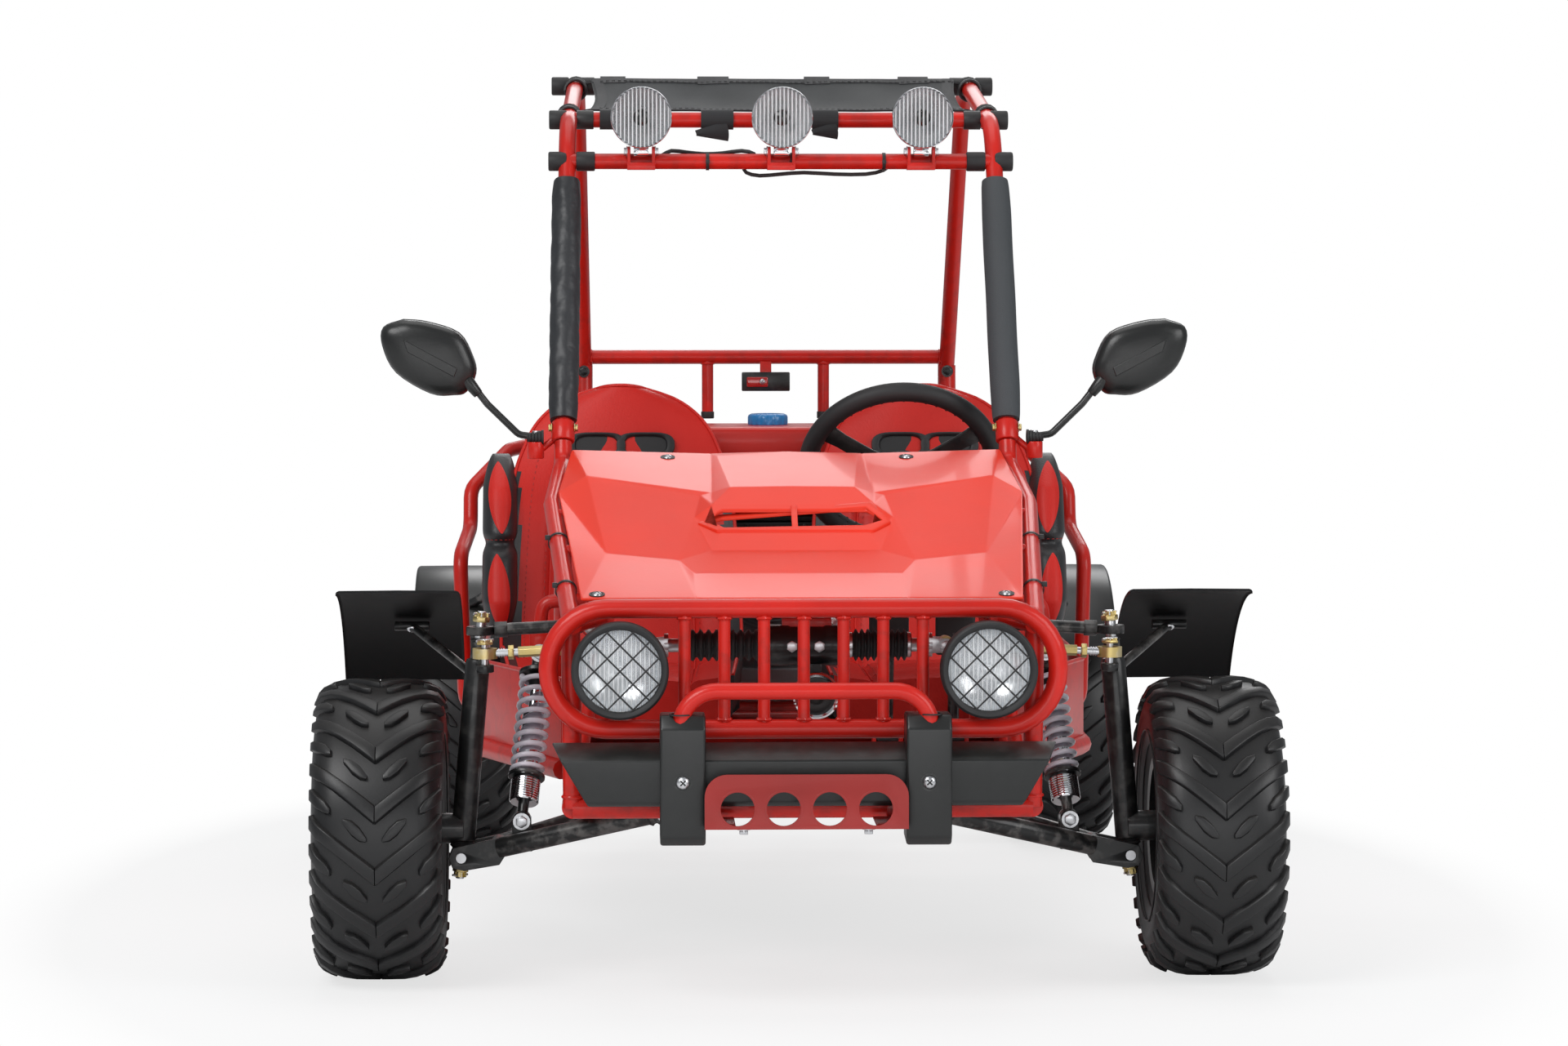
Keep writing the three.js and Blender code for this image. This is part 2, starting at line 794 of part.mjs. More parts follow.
// Knuckle: kingpin tube, stub axle with its nut, steering arm, upper stud and nut, fender stay.
function knuckles() {
  sides.forEach(([word, side]) => {
    const axis = kingpinAxis(side);
    const top = upperBall(side);
    const along = (point, reach) => point.clone().addScaledVector(axis, reach);
    const tube = rod(along(lowerBall(side), bushR + plate), along(top, -kingpinR * 2.6), kingpinR, 8);
    const neck = rod(along(top, -kingpinR * 3), along(top, -plate * 2.2), kingpinR * 0.66, 5);
    const stud = rod(along(top, -kingpinR * 1.2), along(top, studR * 3.4), studR, 5);
    const nut = rod(along(top, studR * 1.7), along(top, studR * 3.4), studR * 1.7, 5);
    const hubFace = frontTrackHalf - hubHalf - turnGap;
    const wheelZAxis = tyreRadius;
    const start = kingpinAt(side, (tyreRadius - lowerBallZ) / (upperBallZ - lowerBallZ));
    const shoulder = rod(start, spot(side * hubFace, 0, wheelZAxis), spindleR * 1.5, 8);
    const tip = side * (frontTrackHalf + hubHalf + spindleR);
    const axle = rod(start, spot(tip, 0, wheelZAxis), spindleR, 10);
    const nutFace = side * (frontTrackHalf + hubHalf + turnGap);
    const hubNut = rod(spot(nutFace, 0, wheelZAxis), spot(tip, 0, wheelZAxis), spindleR * 1.5, 5);
    const armZ = tieOuterZ - kingpinR * 1.18;
    const arm = pipe([spot(top.x, 0, armZ), spot(tieOuter(side).x, rackY, armZ)], slimR, slimR, 5);
    const boss = rod(spot(tieOuter(side).x, rackY, armZ - plate), spot(tieOuter(side).x, rackY, armZ + plate * 0.8), slimR * 1.5, 5);
    const tieNutZ = tieOuterZ + shockEyeR;
    const tieStud = rod(spot(tieOuter(side).x, rackY, armZ), spot(tieOuter(side).x, rackY, tieNutZ + plate), tieStudR, 5);
    const tieNut = rod(spot(tieOuter(side).x, rackY, tieNutZ), spot(tieOuter(side).x, rackY, tieNutZ + plate), tieStudR * 2.7, 6);
    const seatAngle = degrees(fenderStayShare * 90);
    const seatR = fenderR - fenderSheet - seatGap * 2.4 - slimR * 0.8;
    const footHalf = slimR * 3;
    const stayTop = spot(side * (fenderInner + fenderWidth * 0.42), seatR * Math.cos(seatAngle), tyreRadius + seatR * Math.sin(seatAngle));
    const stay = pipe([
      kingpinAt(side, 0.76),
      spot(side * (upperBallX + kingpinR), tyreRadius * 0.46, tyreRadius * 2),
      stayTop,
    ], slimR * 0.8, slimR * 4, 6);
    const stayFoot = pin(stayTop, xAxis, footHalf, slimR * 0.8, 8);
    const bore = rod(along(lowerBall(side), 0), kingpinAt(side, 0.24), clearing(studR + 2 + turnGap, 8), 8);
    const body = join(tube, neck, stud, nut, shoulder, axle, hubNut, arm, boss, tieStud, tieNut, stay, stayFoot);
    piece(`knuckle_${word}`, cut(body, bore), 'blackSteel');
  });
}

// Curved sheet about an axle: a sector of a ring, extruded across.
function fenderSheetSolid(centreY, centreZ, radius, fromDeg, toDeg, low, high, steps = 8) {
  const outline = [];
  for (let i = 0; i <= steps; i += 1) {
    const angle = degrees(fromDeg + ((toDeg - fromDeg) * i) / steps);
    outline.push([centreY + radius * Math.cos(angle), centreZ + radius * Math.sin(angle)]);
  }
  for (let i = steps; i >= 0; i -= 1) {
    const angle = degrees(fromDeg + ((toDeg - fromDeg) * i) / steps);
    const inside = radius - fenderSheet;
    outline.push([centreY + inside * Math.cos(angle), centreZ + inside * Math.sin(angle)]);
  }
  return slab(outline, 'x', low, high);
}

function frontFenders() {
  sides.forEach(([word, side]) => {
    const near = side * fenderInner;
    const far = side * (fenderInner + fenderWidth);
    const sheet = fenderSheetSolid(0, tyreRadius, fenderR, 36, 84, Math.min(near, far), Math.max(near, far));
    piece(`front_fender_${word}`, sheet, 'blackPlastic');
  });
}

function rearFenders() {
  const sheets = sides.map(([, side]) => {
    const near = side * rearFenderInner;
    const far = side * (rearFenderInner + rearFenderWidth);
    return fenderSheetSolid(wheelbase, tyreRadius, rearFenderR, 52, 150, Math.min(near, far), Math.max(near, far));
  });
  const barY = postBaseY - railR * 0.95 - slimR - seatGap;
  const barZ = rearFenderR + tyreRadius + slimR * 4;
  const endAngle = degrees(128);
  const end = [wheelbase + rearFenderR * Math.cos(endAngle), tyreRadius + rearFenderR * Math.sin(endAngle)];
  const endX = rearFenderInner + rearFenderWidth / 2;
  const bar = pipe([
    spot(-endX, end[0], end[1]),
    spot(-postHalf - tubeR * 3, barY, barZ),
    spot(postHalf + tubeR * 3, barY, barZ),
    spot(endX, end[0], end[1]),
  ], slimR, slimR * 4, 5);
  piece('rear_fenders', join(sheets, bar), 'blackPlastic');
}

function upperArms() {
  sides.forEach(([word, side]) => {
    const eye = upperBall(side);
    const pivot = spot(side * upperPivotX, 0, upperPivotZ);
    const eyeDisc = pin(eye, zAxis, plate, kingpinR * 1.15, 12);
    const bar = rod(between(pivot, eye, 0.04), between(pivot, eye, 0.93), armTubeR * 0.6, 5);
    const sleeve = pin(pivot, yAxis, upperPivotSpread, bushR * 0.9, 10);
    const hole = pin(eye, zAxis, overrun, clearing(studR + studPlay, 12), 12);
    const bore = pin(pivot, yAxis, overrun * 2, clearing(pinR + turnGap, 10), 10);
    piece(`upper_arm_${word}`, cut(join(eyeDisc, bar, sleeve), hole, bore), 'blackSteel');
  });
}

function tieRods() {
  sides.forEach(([word, side]) => {
    const outer = tieOuter(side);
    const inner = tieInner(side);
    const ring = spot(outer.x, outer.y + tieEyeBack, outer.z);
    const eye = pin(ring, zAxis, slimR, tieStudR + tiePlay + plate, 12);
    const bar = rod(inner, between(inner, outer, 0.94), tieRodR, 6);
    const end = pin(inner, yAxis, rackBarR, bushR * 0.7, 10);
    const hole = pin(ring, zAxis, overrun, clearing(tieStudR + tiePlay, 12), 12);
    const bore = pin(inner, yAxis, overrun, clearing(studR * 0.7 + turnGap, 8), 8);
    piece(`tie_rod_${word}`, cut(join(eye, bar, end), hole, bore), 'gold');
  });
}

// Rack bar: the bar inside the housing, with a fork and cross pin at each end.
function rackBar() {
  const reach = tieInnerX - bushR * 0.7 - plate;
  const bar = pin(spot(0, rackY, rackZHigh), xAxis, reach, rackBarR, 10);
  const forks = sides.flatMap(([, side]) => {
    const cheek = [-1, 1].map((end) => {
      const out = rackY + end * (rackBarR + plate / 2 + turnGap);
      const low = spot(Math.min(side * (reach - plate), side * (tieInnerX + studR)), out - plate / 2, rackZHigh - studR);
      const high = spot(Math.max(side * (reach - plate), side * (tieInnerX + studR)), out + plate / 2, rackZHigh + studR);
      return span(low, high);
    });
    const back = pin(spot(side * (reach - plate / 2), rackY, rackZHigh), xAxis, plate / 2, rackBarR * 1.8, 8);
    const cross = pin(tieInner(side), yAxis, rackBarR + plate, studR * 0.7, 8);
    return [...cheek, back, cross];
  });
  piece('rack_bar', join(bar, forks), 'alloy');
}

// Rack housing: gear body, two ribbed bellows and the pinion tower, with a bore right through.
function rackHousing() {
  const hole = clearing(rackBarR + turnGap, bellowsSides);
  const profile = [[hole, -bellowsEnd], [bellowsRoot, -bellowsEnd]];
  const ribRun = (from, to) => {
    const pitch = (to - from) / bellowsRibs;
    for (let i = 0; i < bellowsRibs; i += 1) {
      profile.push([bellowsRoot, from + pitch * (i + 0.1)], [bellowsR, from + pitch * (i + 0.55)]);
    }
  };
  ribRun(-bellowsEnd + plate, -rackBodyHalf + rackBodyX - plate);
  profile.push([bellowsRoot, -rackBodyHalf + rackBodyX], [rackBodyR, -rackBodyHalf + rackBodyX]);
  profile.push([rackBodyR, rackBodyHalf + rackBodyX], [bellowsRoot, rackBodyHalf + rackBodyX]);
  ribRun(rackBodyHalf + rackBodyX + plate, bellowsEnd - plate);
  profile.push([bellowsRoot, bellowsEnd], [hole, bellowsEnd]);
  const housing = solid(turned(closedProfile(profile), bellowsSides, spot(0, rackY, rackZHigh), xAxis));
  const tower = rod(spot(pinionX, rackY + rackBodyR * 0.5, rackZHigh + rackBarR), pinionTop, rackBodyR * 0.6, 8);
  const foot = span(
    spot(rackBodyX - rackBodyHalf * 0.6, rackY - plate, rackZHigh + rackBodyR * 0.8),
    spot(rackBodyX + rackBodyHalf * 0.6, rackY + plate, towerZ - tubeR - seatGap),
  );
  const passage = rod(spot(-bellowsEnd * 2, rackY, rackZHigh), spot(bellowsEnd * 2, rackY, rackZHigh), hole, bellowsSides);
  piece('rack_housing', cut(join(housing, tower, foot), passage), 'rubber');
}

// Steering wheel with three spokes, hub and the upper column.
function steeringWheel() {
  const turnQuaternion = new THREE.Quaternion().setFromUnitVectors(zAxis, columnAxis);
  const ring = new THREE.TorusGeometry(wheelR, wheelGripR, 6, 16).applyQuaternion(turnQuaternion);
  const grip = solid(ring.translate(wheelX, wheelY, wheelZ));
  const hubBack = wheelCentre.clone().addScaledVector(columnAxis, -wheelGripR * 2);
  const hub = rod(hubBack, wheelCentre, wheelGripR * 2.4, 8);
  const spokes = [90, 210, 330].map((angle) => {
    const out = spot(Math.cos(degrees(angle)), Math.sin(degrees(angle)), 0).applyQuaternion(turnQuaternion);
    const rim = wheelCentre.clone().addScaledVector(out, wheelR);
    return rod(hubBack.clone().addScaledVector(columnAxis, wheelGripR * 0.8), rim, wheelGripR * 0.6, 4);
  });
  const column = rod(columnEnd, wheelCentre, columnR, 10);
  piece('steering_wheel', join(grip, hub, spokes, column), 'rubber');
}

// Lower shaft from the column's joint to the pinion.
function steeringShaft() {
  const axis = pinionTop.clone().sub(columnEnd).normalize();
  const start = columnEnd.clone().addScaledVector(axis, columnR * 1.9);
  const end = pinionTop.clone().addScaledVector(axis, -rackBodyR * 0.13);
  const shaft = rod(start, end, shaftR, 8);
  const cross = rod(columnEnd.clone().addScaledVector(axis, columnR * 0.28), start.clone().addScaledVector(axis, columnR), columnR * 0.4, 6);
  const knuckle = rod(start, start.clone().addScaledVector(axis, columnR * 2), columnR * 1.2, 8);
  piece('steering_shaft', join(shaft, knuckle, cross), 'blackSteel');
}

function shockUpper(name, low, high, coilR, finish, flip = false) {
  const axis = low.clone().sub(high).normalize();
  const length = low.distanceTo(high);
  const at = (reach) => high.clone().addScaledVector(axis, reach);
  const scale = coilR / springCoilR;
  const eye = pin(high, eyeAxis(low), shockEyeWidth / 2, shockEyeR, 10);
  const cap = rod(at(shockStem), at(shockStem + shockSeat), shockTubeR, 8);
  const seat = rod(at(shockStem + shockSeat), at(shockStem + shockSeat * 2), shockSeatR * scale, 8);
  const shaft = rod(high, at(length - shockTubeTop + shockRodR * 2.6), shockRodR, 6);
  const hole = pin(high, eyeAxis(low), overrun, clearing(shockPinR + turnGap, 10), 10);
  const body = cut(join(eye, cap, seat, shaft), hole);
  piece(name, flip ? body.mirror([1, 0, 0]) : body, finish);
}

const eyeAxis = (low) => (low.x === 0 ? xAxis : yAxis);

function shockLower(name, low, high, coilR, finish) {
  const axis = high.clone().sub(low).normalize();
  const at = (reach) => low.clone().addScaledVector(axis, reach);
  const scale = coilR / springCoilR;
  const eye = pin(low, eyeAxis(low), shockEyeWidth / 2, shockEyeR, 8);
  const stem = rod(low, at(shockStem + shockSeat), shockRodR, 8);
  const cup = rod(at(shockStem), at(shockCupTop - shockSeat), shockCupR, 8);
  const seat = rod(at(shockCupTop - shockSeat), at(shockCupTop), shockSeatR * scale, 8);
  const tube = rod(at(shockCupTop - shockSeat), at(shockTubeTop), shockTubeR, 8);
  const well = rod(at(shockTubeTop - overrun * 2), at(shockTubeTop + overrun), clearing(shockRodR + turnGap, 8), 8);
  const hole = pin(low, eyeAxis(low), overrun, clearing(shockPinR + shockPlay, 8), 8);
  piece(name, cut(join(eye, stem, cup, seat, tube), well, hole), finish);
}

function springBetween(name, low, high, coilR, wireR, curls) {
  const axis = high.clone().sub(low).normalize();
  const from = low.clone().addScaledVector(axis, shockCupTop);
  const to = high.clone().addScaledVector(axis, -(shockStem + shockSeat * 2));
  piece(name, coil(from, to, coilR, wireR, curls, name), 'springPaint');
}

function shocks() {
  sides.forEach(([word, side]) => {
    const [low, high] = [shockLow(side), shockHigh(side)];
    shockUpper(`front_shock_upper_${word}`, shockLow(-1), shockHigh(-1), springCoilR, 'blackSteel', side > 0);
    shockLower(`front_shock_lower_${word}`, low, high, springCoilR, 'chrome');
    springBetween(`front_spring_${word}`, low, high, springCoilR, springWireR, springCurls);
  });
  shockUpper('rear_shock_upper', rearShockLow, rearShockHigh, rearCoilR, 'blackSteel');
  shockLower('rear_shock_lower', rearShockLow, rearShockHigh, rearCoilR, 'chrome');
  springBetween('rear_spring', rearShockLow, rearShockHigh, rearCoilR, rearWireR, rearCurls);
}

// Swing arm: pivot tube, two arms, axle carriers, cross tube with shock ears and the chain case.
function swingArm() {
  const pivot = spot(0, swingPivotY, swingPivotZ);
  const axle = spot(0, wheelbase, tyreRadius);
  const tube = pin(pivot, xAxis, swingHalf, swingTubeR, 8);
  const arms = sides.map(([, side]) => {
    const start = between(pivot, spot(side * swingHalf, swingPivotY, swingPivotZ), 0.8);
    return rod(start, spot(side * carrierX, wheelbase - carrierR * 0.8, tyreRadius), swingArmR, 5);
  });
  const carriers = sides.map(([, side]) => pin(spot(side * carrierX, wheelbase, tyreRadius), xAxis, carrierWidth / 2, carrierR, 8));
  const crossYSwing = rearShockLowY - carrierR * 1.2;
  const share = (crossYSwing - swingPivotY) / (wheelbase - swingPivotY);
  const crossZSwing = swingPivotZ + (tyreRadius - swingPivotZ) * share;
  const cross = pin(spot(0, crossYSwing, crossZSwing), xAxis, carrierX - swingArmR * 2, swingArmR * 0.8, 5);
  const ears = [-1, 1].map((end) => {
    const low = spot(end * shockEarOut, crossYSwing, crossZSwing);
    return span(low, spot(end * (shockEarOut + plate), rearShockLowY + shockEyeR, rearShockLowZ + shockEyeR));
  });
  const bolt = pin(rearShockLow, xAxis, shockEarOut + plate * 1.5, shockPinR, 5);
  const caseOutline = caseShape(pivot, axle);
  const chainCase = slab(caseOutline, 'x', chainCaseX, chainCaseX + chainCaseWidth);
  const body = join(tube, arms, carriers, cross, ears, bolt, chainCase);
  const axleHole = pin(axle, xAxis, carrierX * 2, clearing(axleR + turnGap, 12), 12);
  const pivotBore = pin(pivot, xAxis, carrierX * 2, clearing(pinR + turnGap, 8), 8);
  piece('swing_arm', cut(body, axleHole, pivotBore), 'tubePaint');
}

// Two half rounds joined by straight sides.
function caseShape(front, rear) {
  const outline = [];
  const slope = Math.atan2(rear.z - front.z, rear.y - front.y);
  for (let i = 0; i <= 6; i += 1) {
    const angle = slope - Math.PI / 2 + (Math.PI * i) / 6;
    outline.push([rear.y + chainCaseR * Math.cos(angle), rear.z + chainCaseR * Math.sin(angle)]);
  }
  for (let i = 0; i <= 4; i += 1) {
    const angle = slope + Math.PI / 2 + (Math.PI * i) / 4;
    outline.push([front.y + swingTubeR * 1.05 * Math.cos(angle), front.z + swingTubeR * 1.05 * Math.sin(angle)]);
  }
  return outline;
}

// Front frame: guard, uprights, side rails, lower rails, suspension towers, dash bar and brackets.
function frontFrame() {
  const parts = [];
  const both = (make) => sides.forEach(([, side]) => parts.push(...[make(side)].flat()));
  parts.push(hoop([
    spot(-guardHalf, guardY, guardLow), spot(guardHalf, guardY, guardLow),
    spot(guardHalf, guardY, guardHigh), spot(-guardHalf, guardY, guardHigh),
  ], tubeR, (guardHigh - guardLow) * 0.49));
  for (let i = 0; i < guardBars; i += 1) {
    const x = (i - (guardBars - 1) / 2) * guardBarPitch;
    parts.push(rod(spot(x, guardY, guardLow), spot(x, guardY, guardHigh), slimR, 4));
  }
  parts.push(pin(spot(0, crossY, crossZ), xAxis, outerRailX + railR, railR, 5));
  both((side) => {
    const at = (x, y, z) => spot(side * x, y, z);
    const railZ = (y) => hoodZ(y) - hoodSheet - tubeR - seatGap * 3;
    const corner = at(outerRailX + tubeR * 0.2, crossY, railZ(crossY));
    const base = mirrored(pillarAt(cageBaseZ - seatGap * 1.5), side);
    const knee = mirrored(pillarAt(cageBaseZ - tubeR * 2.4), side);
    return [
      pipe([at(outerRailX, guardY, railZ(guardY) - 2), corner, at(cageHalf + tubeR, hoodFrontY + hoodLength * 0.7, railZ(hoodFrontY + hoodLength * 0.7)), knee, base], tubeR, tubeR * 2),
      rod(at(outerRailX, crossY, crossZ), corner, tubeR, 5),
      rod(at(outerRailX, crossY, crossZ), at(outerRailX, frameJointY - seatGap, crossZ), railR, 5),
      pipe([at(innerRailX, crossY, crossZ), at(innerRailX, crossY + overrun * 2, innerRailZ), at(innerRailX, innerJointY, innerRailZ)], railR, railR * 2),
      rod(at(towerX, crossY + tubeR, towerZ), at(towerX, shockHighY + overrun, towerZ), tubeR),
      rod(at(outerRailX, crossY, towerZ - tubeR), at(towerX, crossY + tubeR, towerZ), slimR, 5),
      rod(at(towerX, towerFrontY, towerZ), at(outerRailX, towerFrontY, crossZ), slimR * 1.2, 4),
      rod(at(towerX, towerRearY, towerZ), at(outerRailX, towerRearY, crossZ), slimR * 1.2, 4),
      rod(at(innerRailX, towerRearY, innerRailZ), at(outerRailX, towerRearY, crossZ), slimR * 1.2, 4),
      pipe([knee, at(cageHalf + overrun * 1.7, floorWideY - overrun * 3, crossZ + overrun * 3)], tubeR, tubeR * 3),
      hoodPegs(side, railZ),
      lowerEars(side),
      upperEars(side),
      shockTower(side),
      headBracket(side),
      bullPad(side),
      pedalEars(side > 0 ? throttleX : brakeX),
    ];
  });
  parts.push(pin(spot(0, dashY, dashZ), xAxis, cageHalf - tubeR * 0.3, tubeR, 5));
  both((side) => rod(spot(side * (cageHalf - tubeR * 1.5), dashY, dashZ), spot(side * (cageHalf + 2), dashY - tubeR, hoodZ(dashY) - tubeR * 2), tubeR * 0.9, 5));
  parts.push(pin(spot(0, rackY, towerZ), xAxis, towerX, tubeR, 5));
  parts.push(pin(spot(0, pedalPivotY, innerRailZ), xAxis, innerRailX + slimR * 8.5, slimR * 1.3, 5));
  parts.push(columnBracket());
  const bores = [columnBore(), ...sides.map(([, side]) => pedalBore(side > 0 ? throttleX : brakeX))];
  piece('front_frame', cut(join(parts), bores), 'tubePaint');
}

// Pegs on the side rail that the hood's edge rests on.
function hoodPegs(side, railZ) {
  return [0.36, 0.6].map((share) => {
    const y = hoodFrontY + hoodLength * share;
    const edge = hoodHalf * (0.894 + (0.106 * share) / 0.696);
    const top = hoodZ(y - plate * 0.6) - hoodSheet - seatGap;
    return span(spot(side * (edge + studR), y - plate * 0.6, railZ(y)), spot(side * (edge - plate * 0.6), y + plate * 0.6, top));
  });
}

function lowerEars(side) {
  const pieces = [];
  [-1, 1].forEach((end) => {
    const bush = spot(side * lowerPivotX, end * lowerPivotSpread, lowerPivotZ);
    [-1, 1].forEach((face) => {
      const out = bush.y + face * (bushR + plate / 2 + turnGap);
      const low = spot(bush.x - side * bushR, out - plate / 2, bush.z - bushR * 0.7);
      pieces.push(span(low, spot(bush.x + side * bushR * 0.5, out + plate / 2, innerRailZ)));
    });
    pieces.push(pin(bush, yAxis, bushR + plate, pinR, 5));
  });
  return pieces;
}

function upperEars(side) {
  const pivot = spot(side * upperPivotX, 0, upperPivotZ);
  const pieces = [-1, 1].map((face) => {
    const out = face * (upperPivotSpread + plate / 2 + turnGap);
    const near = spot(side * (towerX - tubeR * 0.4), out - plate / 2, pivot.z - bushR * 0.8);
    const far = spot(side * (upperPivotX + bushR * 0.8), out + plate / 2, towerZ + tubeR * 0.5);
    return span(spot(Math.min(near.x, far.x), near.y, near.z), spot(Math.max(near.x, far.x), far.y, far.z));
  });
  return [...pieces, pin(pivot, yAxis, upperPivotSpread + plate, pinR, 5)];
}

function shockTower(side) {
  const eye = shockHigh(side);
  const top = eye.z + shockEyeR * 2.6;
  const pieces = [-1, 1].map((face) => {
    const out = eye.y + face * shockEarOut;
    return span(spot(eye.x - shockEyeR, out, eye.z - shockPinR), spot(eye.x + shockEyeR, out + face * plate, top));
  });
  const arm = pipe([spot(side * towerX, eye.y, towerZ), spot(side * (shockHighX - overrun), eye.y, towerZ - plate), spot(eye.x, eye.y, top)], slimR * 1.2, slimR * 2);
  const bridge = box(shockEyeR * 2, (shockEarOut + plate) * 2, plate * 1.4, spot(eye.x, eye.y, top));
  return [...pieces, arm, bridge, pin(eye, yAxis, shockEarOut + plate, shockPinR, 5)];
}

// Bracket behind a headlamp, up from the guard's lower tube to the tilt pin.
function headBracket(side) {
  const centre = side * headX;
  const pieces = [-1, 1].map((face) => {
    const out = centre + face * (studR * 2.6);
    return span(spot(out - plate / 2, headPivotY - studR * 1.8, guardLow), spot(out + plate / 2, headPivotY + studR * 1.8, headZ + studR * 1.8));
  });
  const foot = span(spot(centre - studR * 3, guardY, guardLow - plate), spot(centre + studR * 3, headPivotY + studR * 1.8, guardLow + plate));
  const cross = pin(spot(centre, headPivotY, headZ), xAxis, studR * 2.6, studR * 0.7, 5);
  return [...pieces, foot, cross];
}

// Plate on the front cross tube that carries the bull bar's leg.
function bullPad(side) {
  const x = side * bullX;
  const face = crossY - railR;
  return [
    span(spot(x - bullR * 1.4, face - plate * 0.6, crossZ - railR), spot(x + bullR * 1.4, face + plate, bullFoot + bullR * 1.4)),
    span(spot(side * skidTabX, face - plate * 0.6, crossZ - railR), spot(x + side * bullR, crossY, crossZ + railR * 0.5)),
  ];
}

function columnBracket() {
  const centre = wheelCentre.clone().addScaledVector(columnAxis, -columnLength * 0.72);
  const sleeve = rod(centre.clone().addScaledVector(columnAxis, -columnR), centre.clone().addScaledVector(columnAxis, columnR), columnR * 1.9, 12);
  const strut = rod(spot(wheelX, dashY, dashZ), spot(wheelX, centre.y, centre.z + columnR * 1.2), columnR * 0.8, 5);
  return join(sleeve, strut);
}

const columnBore = () => rod(columnEnd.clone().addScaledVector(columnAxis, -columnR), wheelCentre, clearing(columnR + turnGap, 10), 10);

function pedalEars(x) {
  const half = pedalWidth * 0.28;
  const ears = [-1, 1].map((face) => {
    const out = x + face * (half + plate / 2 + turnGap);
    return span(spot(out - plate / 2, pedalPivotY - studR * 1.6, innerRailZ), spot(out + plate / 2, pedalPivotY + studR * 1.6, pedalPivotZ + studR * 1.6));
  });
  return join(ears[0], pin(spot(x, pedalPivotY, innerRailZ), xAxis, half + plate, slimR * 1.3, 5), ears[1]);
}

const pedalBore = (x) => pin(spot(x, pedalPivotY, pedalPivotZ), xAxis, pedalWidth * 0.6, clearing(studR + turnGap, 10), 10);

// A pedal: cross pin in its ears, arm and foot pad.
function pedal(name, x) {
  const pivot = spot(x, pedalPivotY, pedalPivotZ);
  const cross = pin(pivot, xAxis, pedalWidth * 0.28 + plate, studR, 5);
  const sleeve = pin(pivot, xAxis, pedalWidth * 0.28, studR * 1.5, 5);
  const head = spot(x, pedalPivotY - pedalHeight * 0.3, pedalPivotZ + pedalHeight);
  const arm = rod(pivot, head, slimR, 5);
  const pad = box(pedalWidth, plate * 2, pedalWidth * 1.2, head);
  piece(name, join(cross, sleeve, arm, pad), 'blackSteel');
}

function nose() {
  const leg = (side) => [
    spot(side * bullX, crossY - railR - plate * 0.6 - seatGap, bullFoot),
    spot(side * bullX, bullY, bullFoot),
  ];
  const route = [...leg(-1), spot(-bullX, bullY, bullTop), spot(bullX, bullY, bullTop), ...leg(1).reverse()];
  piece('bull_bar', pipe(route, bullR, bullR * bullBend, 6), 'tubePaint');
  const beam = slab([
    [bumperBack, bumperLow], [bumperFront + plate, bumperLow], [bumperFront, bumperLow + plate],
    [bumperFront, bumperEdge], [bumperBack - plate * 2, bumperTop], [bumperBack, bumperTop],
  ], 'x', -bumperHalf, bumperHalf);
  const shear = bumperTop - bumperLow;
  const faceShape = slab([
    [-bumperHalf, bumperTop], [-bumperHalf + shear * 0.6, bumperLow], [bumperHalf - shear * 0.6, bumperLow], [bumperHalf, bumperTop],
  ], 'y', bumperFront - plate, bumperBack + plate);
  const blocks = sides.map(([, side]) => slab([
    [bumperBack, blockLow + plate], [blockFront + plate * 2, blockLow], [blockFront, blockLow + plate * 2],
    [blockFront, blockTop - plate * 3], [blockFront + plate * 2, blockTop], [bumperBack - plate, blockTop], [bumperBack, bumperTop],
  ], 'x', side * blockX - blockWidth / 2, side * blockX + blockWidth / 2));
  const channel = pipe(route, bullR + turnGap * 1.6, bullR * bullBend, 6);
  piece('front_bumper', cut(join(beam.intersect(faceShape), blocks), channel), 'blackPlastic');
}

// Red plate with a row of holes, two tabs back to the cross tube.
function skidPlatePiece() {
  const corners = [];
  for (let i = 0; i <= 4; i += 1) {
    const angle = (Math.PI / 2) * (i / 4);
    corners.push([skidHalf - skidCorner + skidCorner * Math.cos(angle), skidHigh - skidCorner + skidCorner * Math.sin(angle)]);
  }
  const outline = [[-skidHalf, skidLow], [skidHalf, skidLow], ...corners, ...[...corners].reverse().map(([x, z]) => [-x, z])];
  const holes = [];
  for (let i = 0; i < skidHoles; i += 1) {
    holes.push([(i - (skidHoles - 1) / 2) * skidHolePitch, skidLow + skidHoleR * 1.2, skidHoleR, 14]);
  }
  const sheet = slab(outline, 'y', -noseReach, -noseReach + skidPlate, holes);
  const tabs = sides.map(([, side]) => {
    const x = side * skidTabX;
    const tabEnd = crossY - railR - plate * 0.6 - seatGap;
    return span(spot(x - skidHoleR * 0.85, -noseReach + skidPlate / 2, skidLow), spot(x + skidHoleR * 0.85, tabEnd, skidLow + plate * 0.6));
  });
  piece('skid_plate', join(sheet, tabs), 'tubePaint');
}

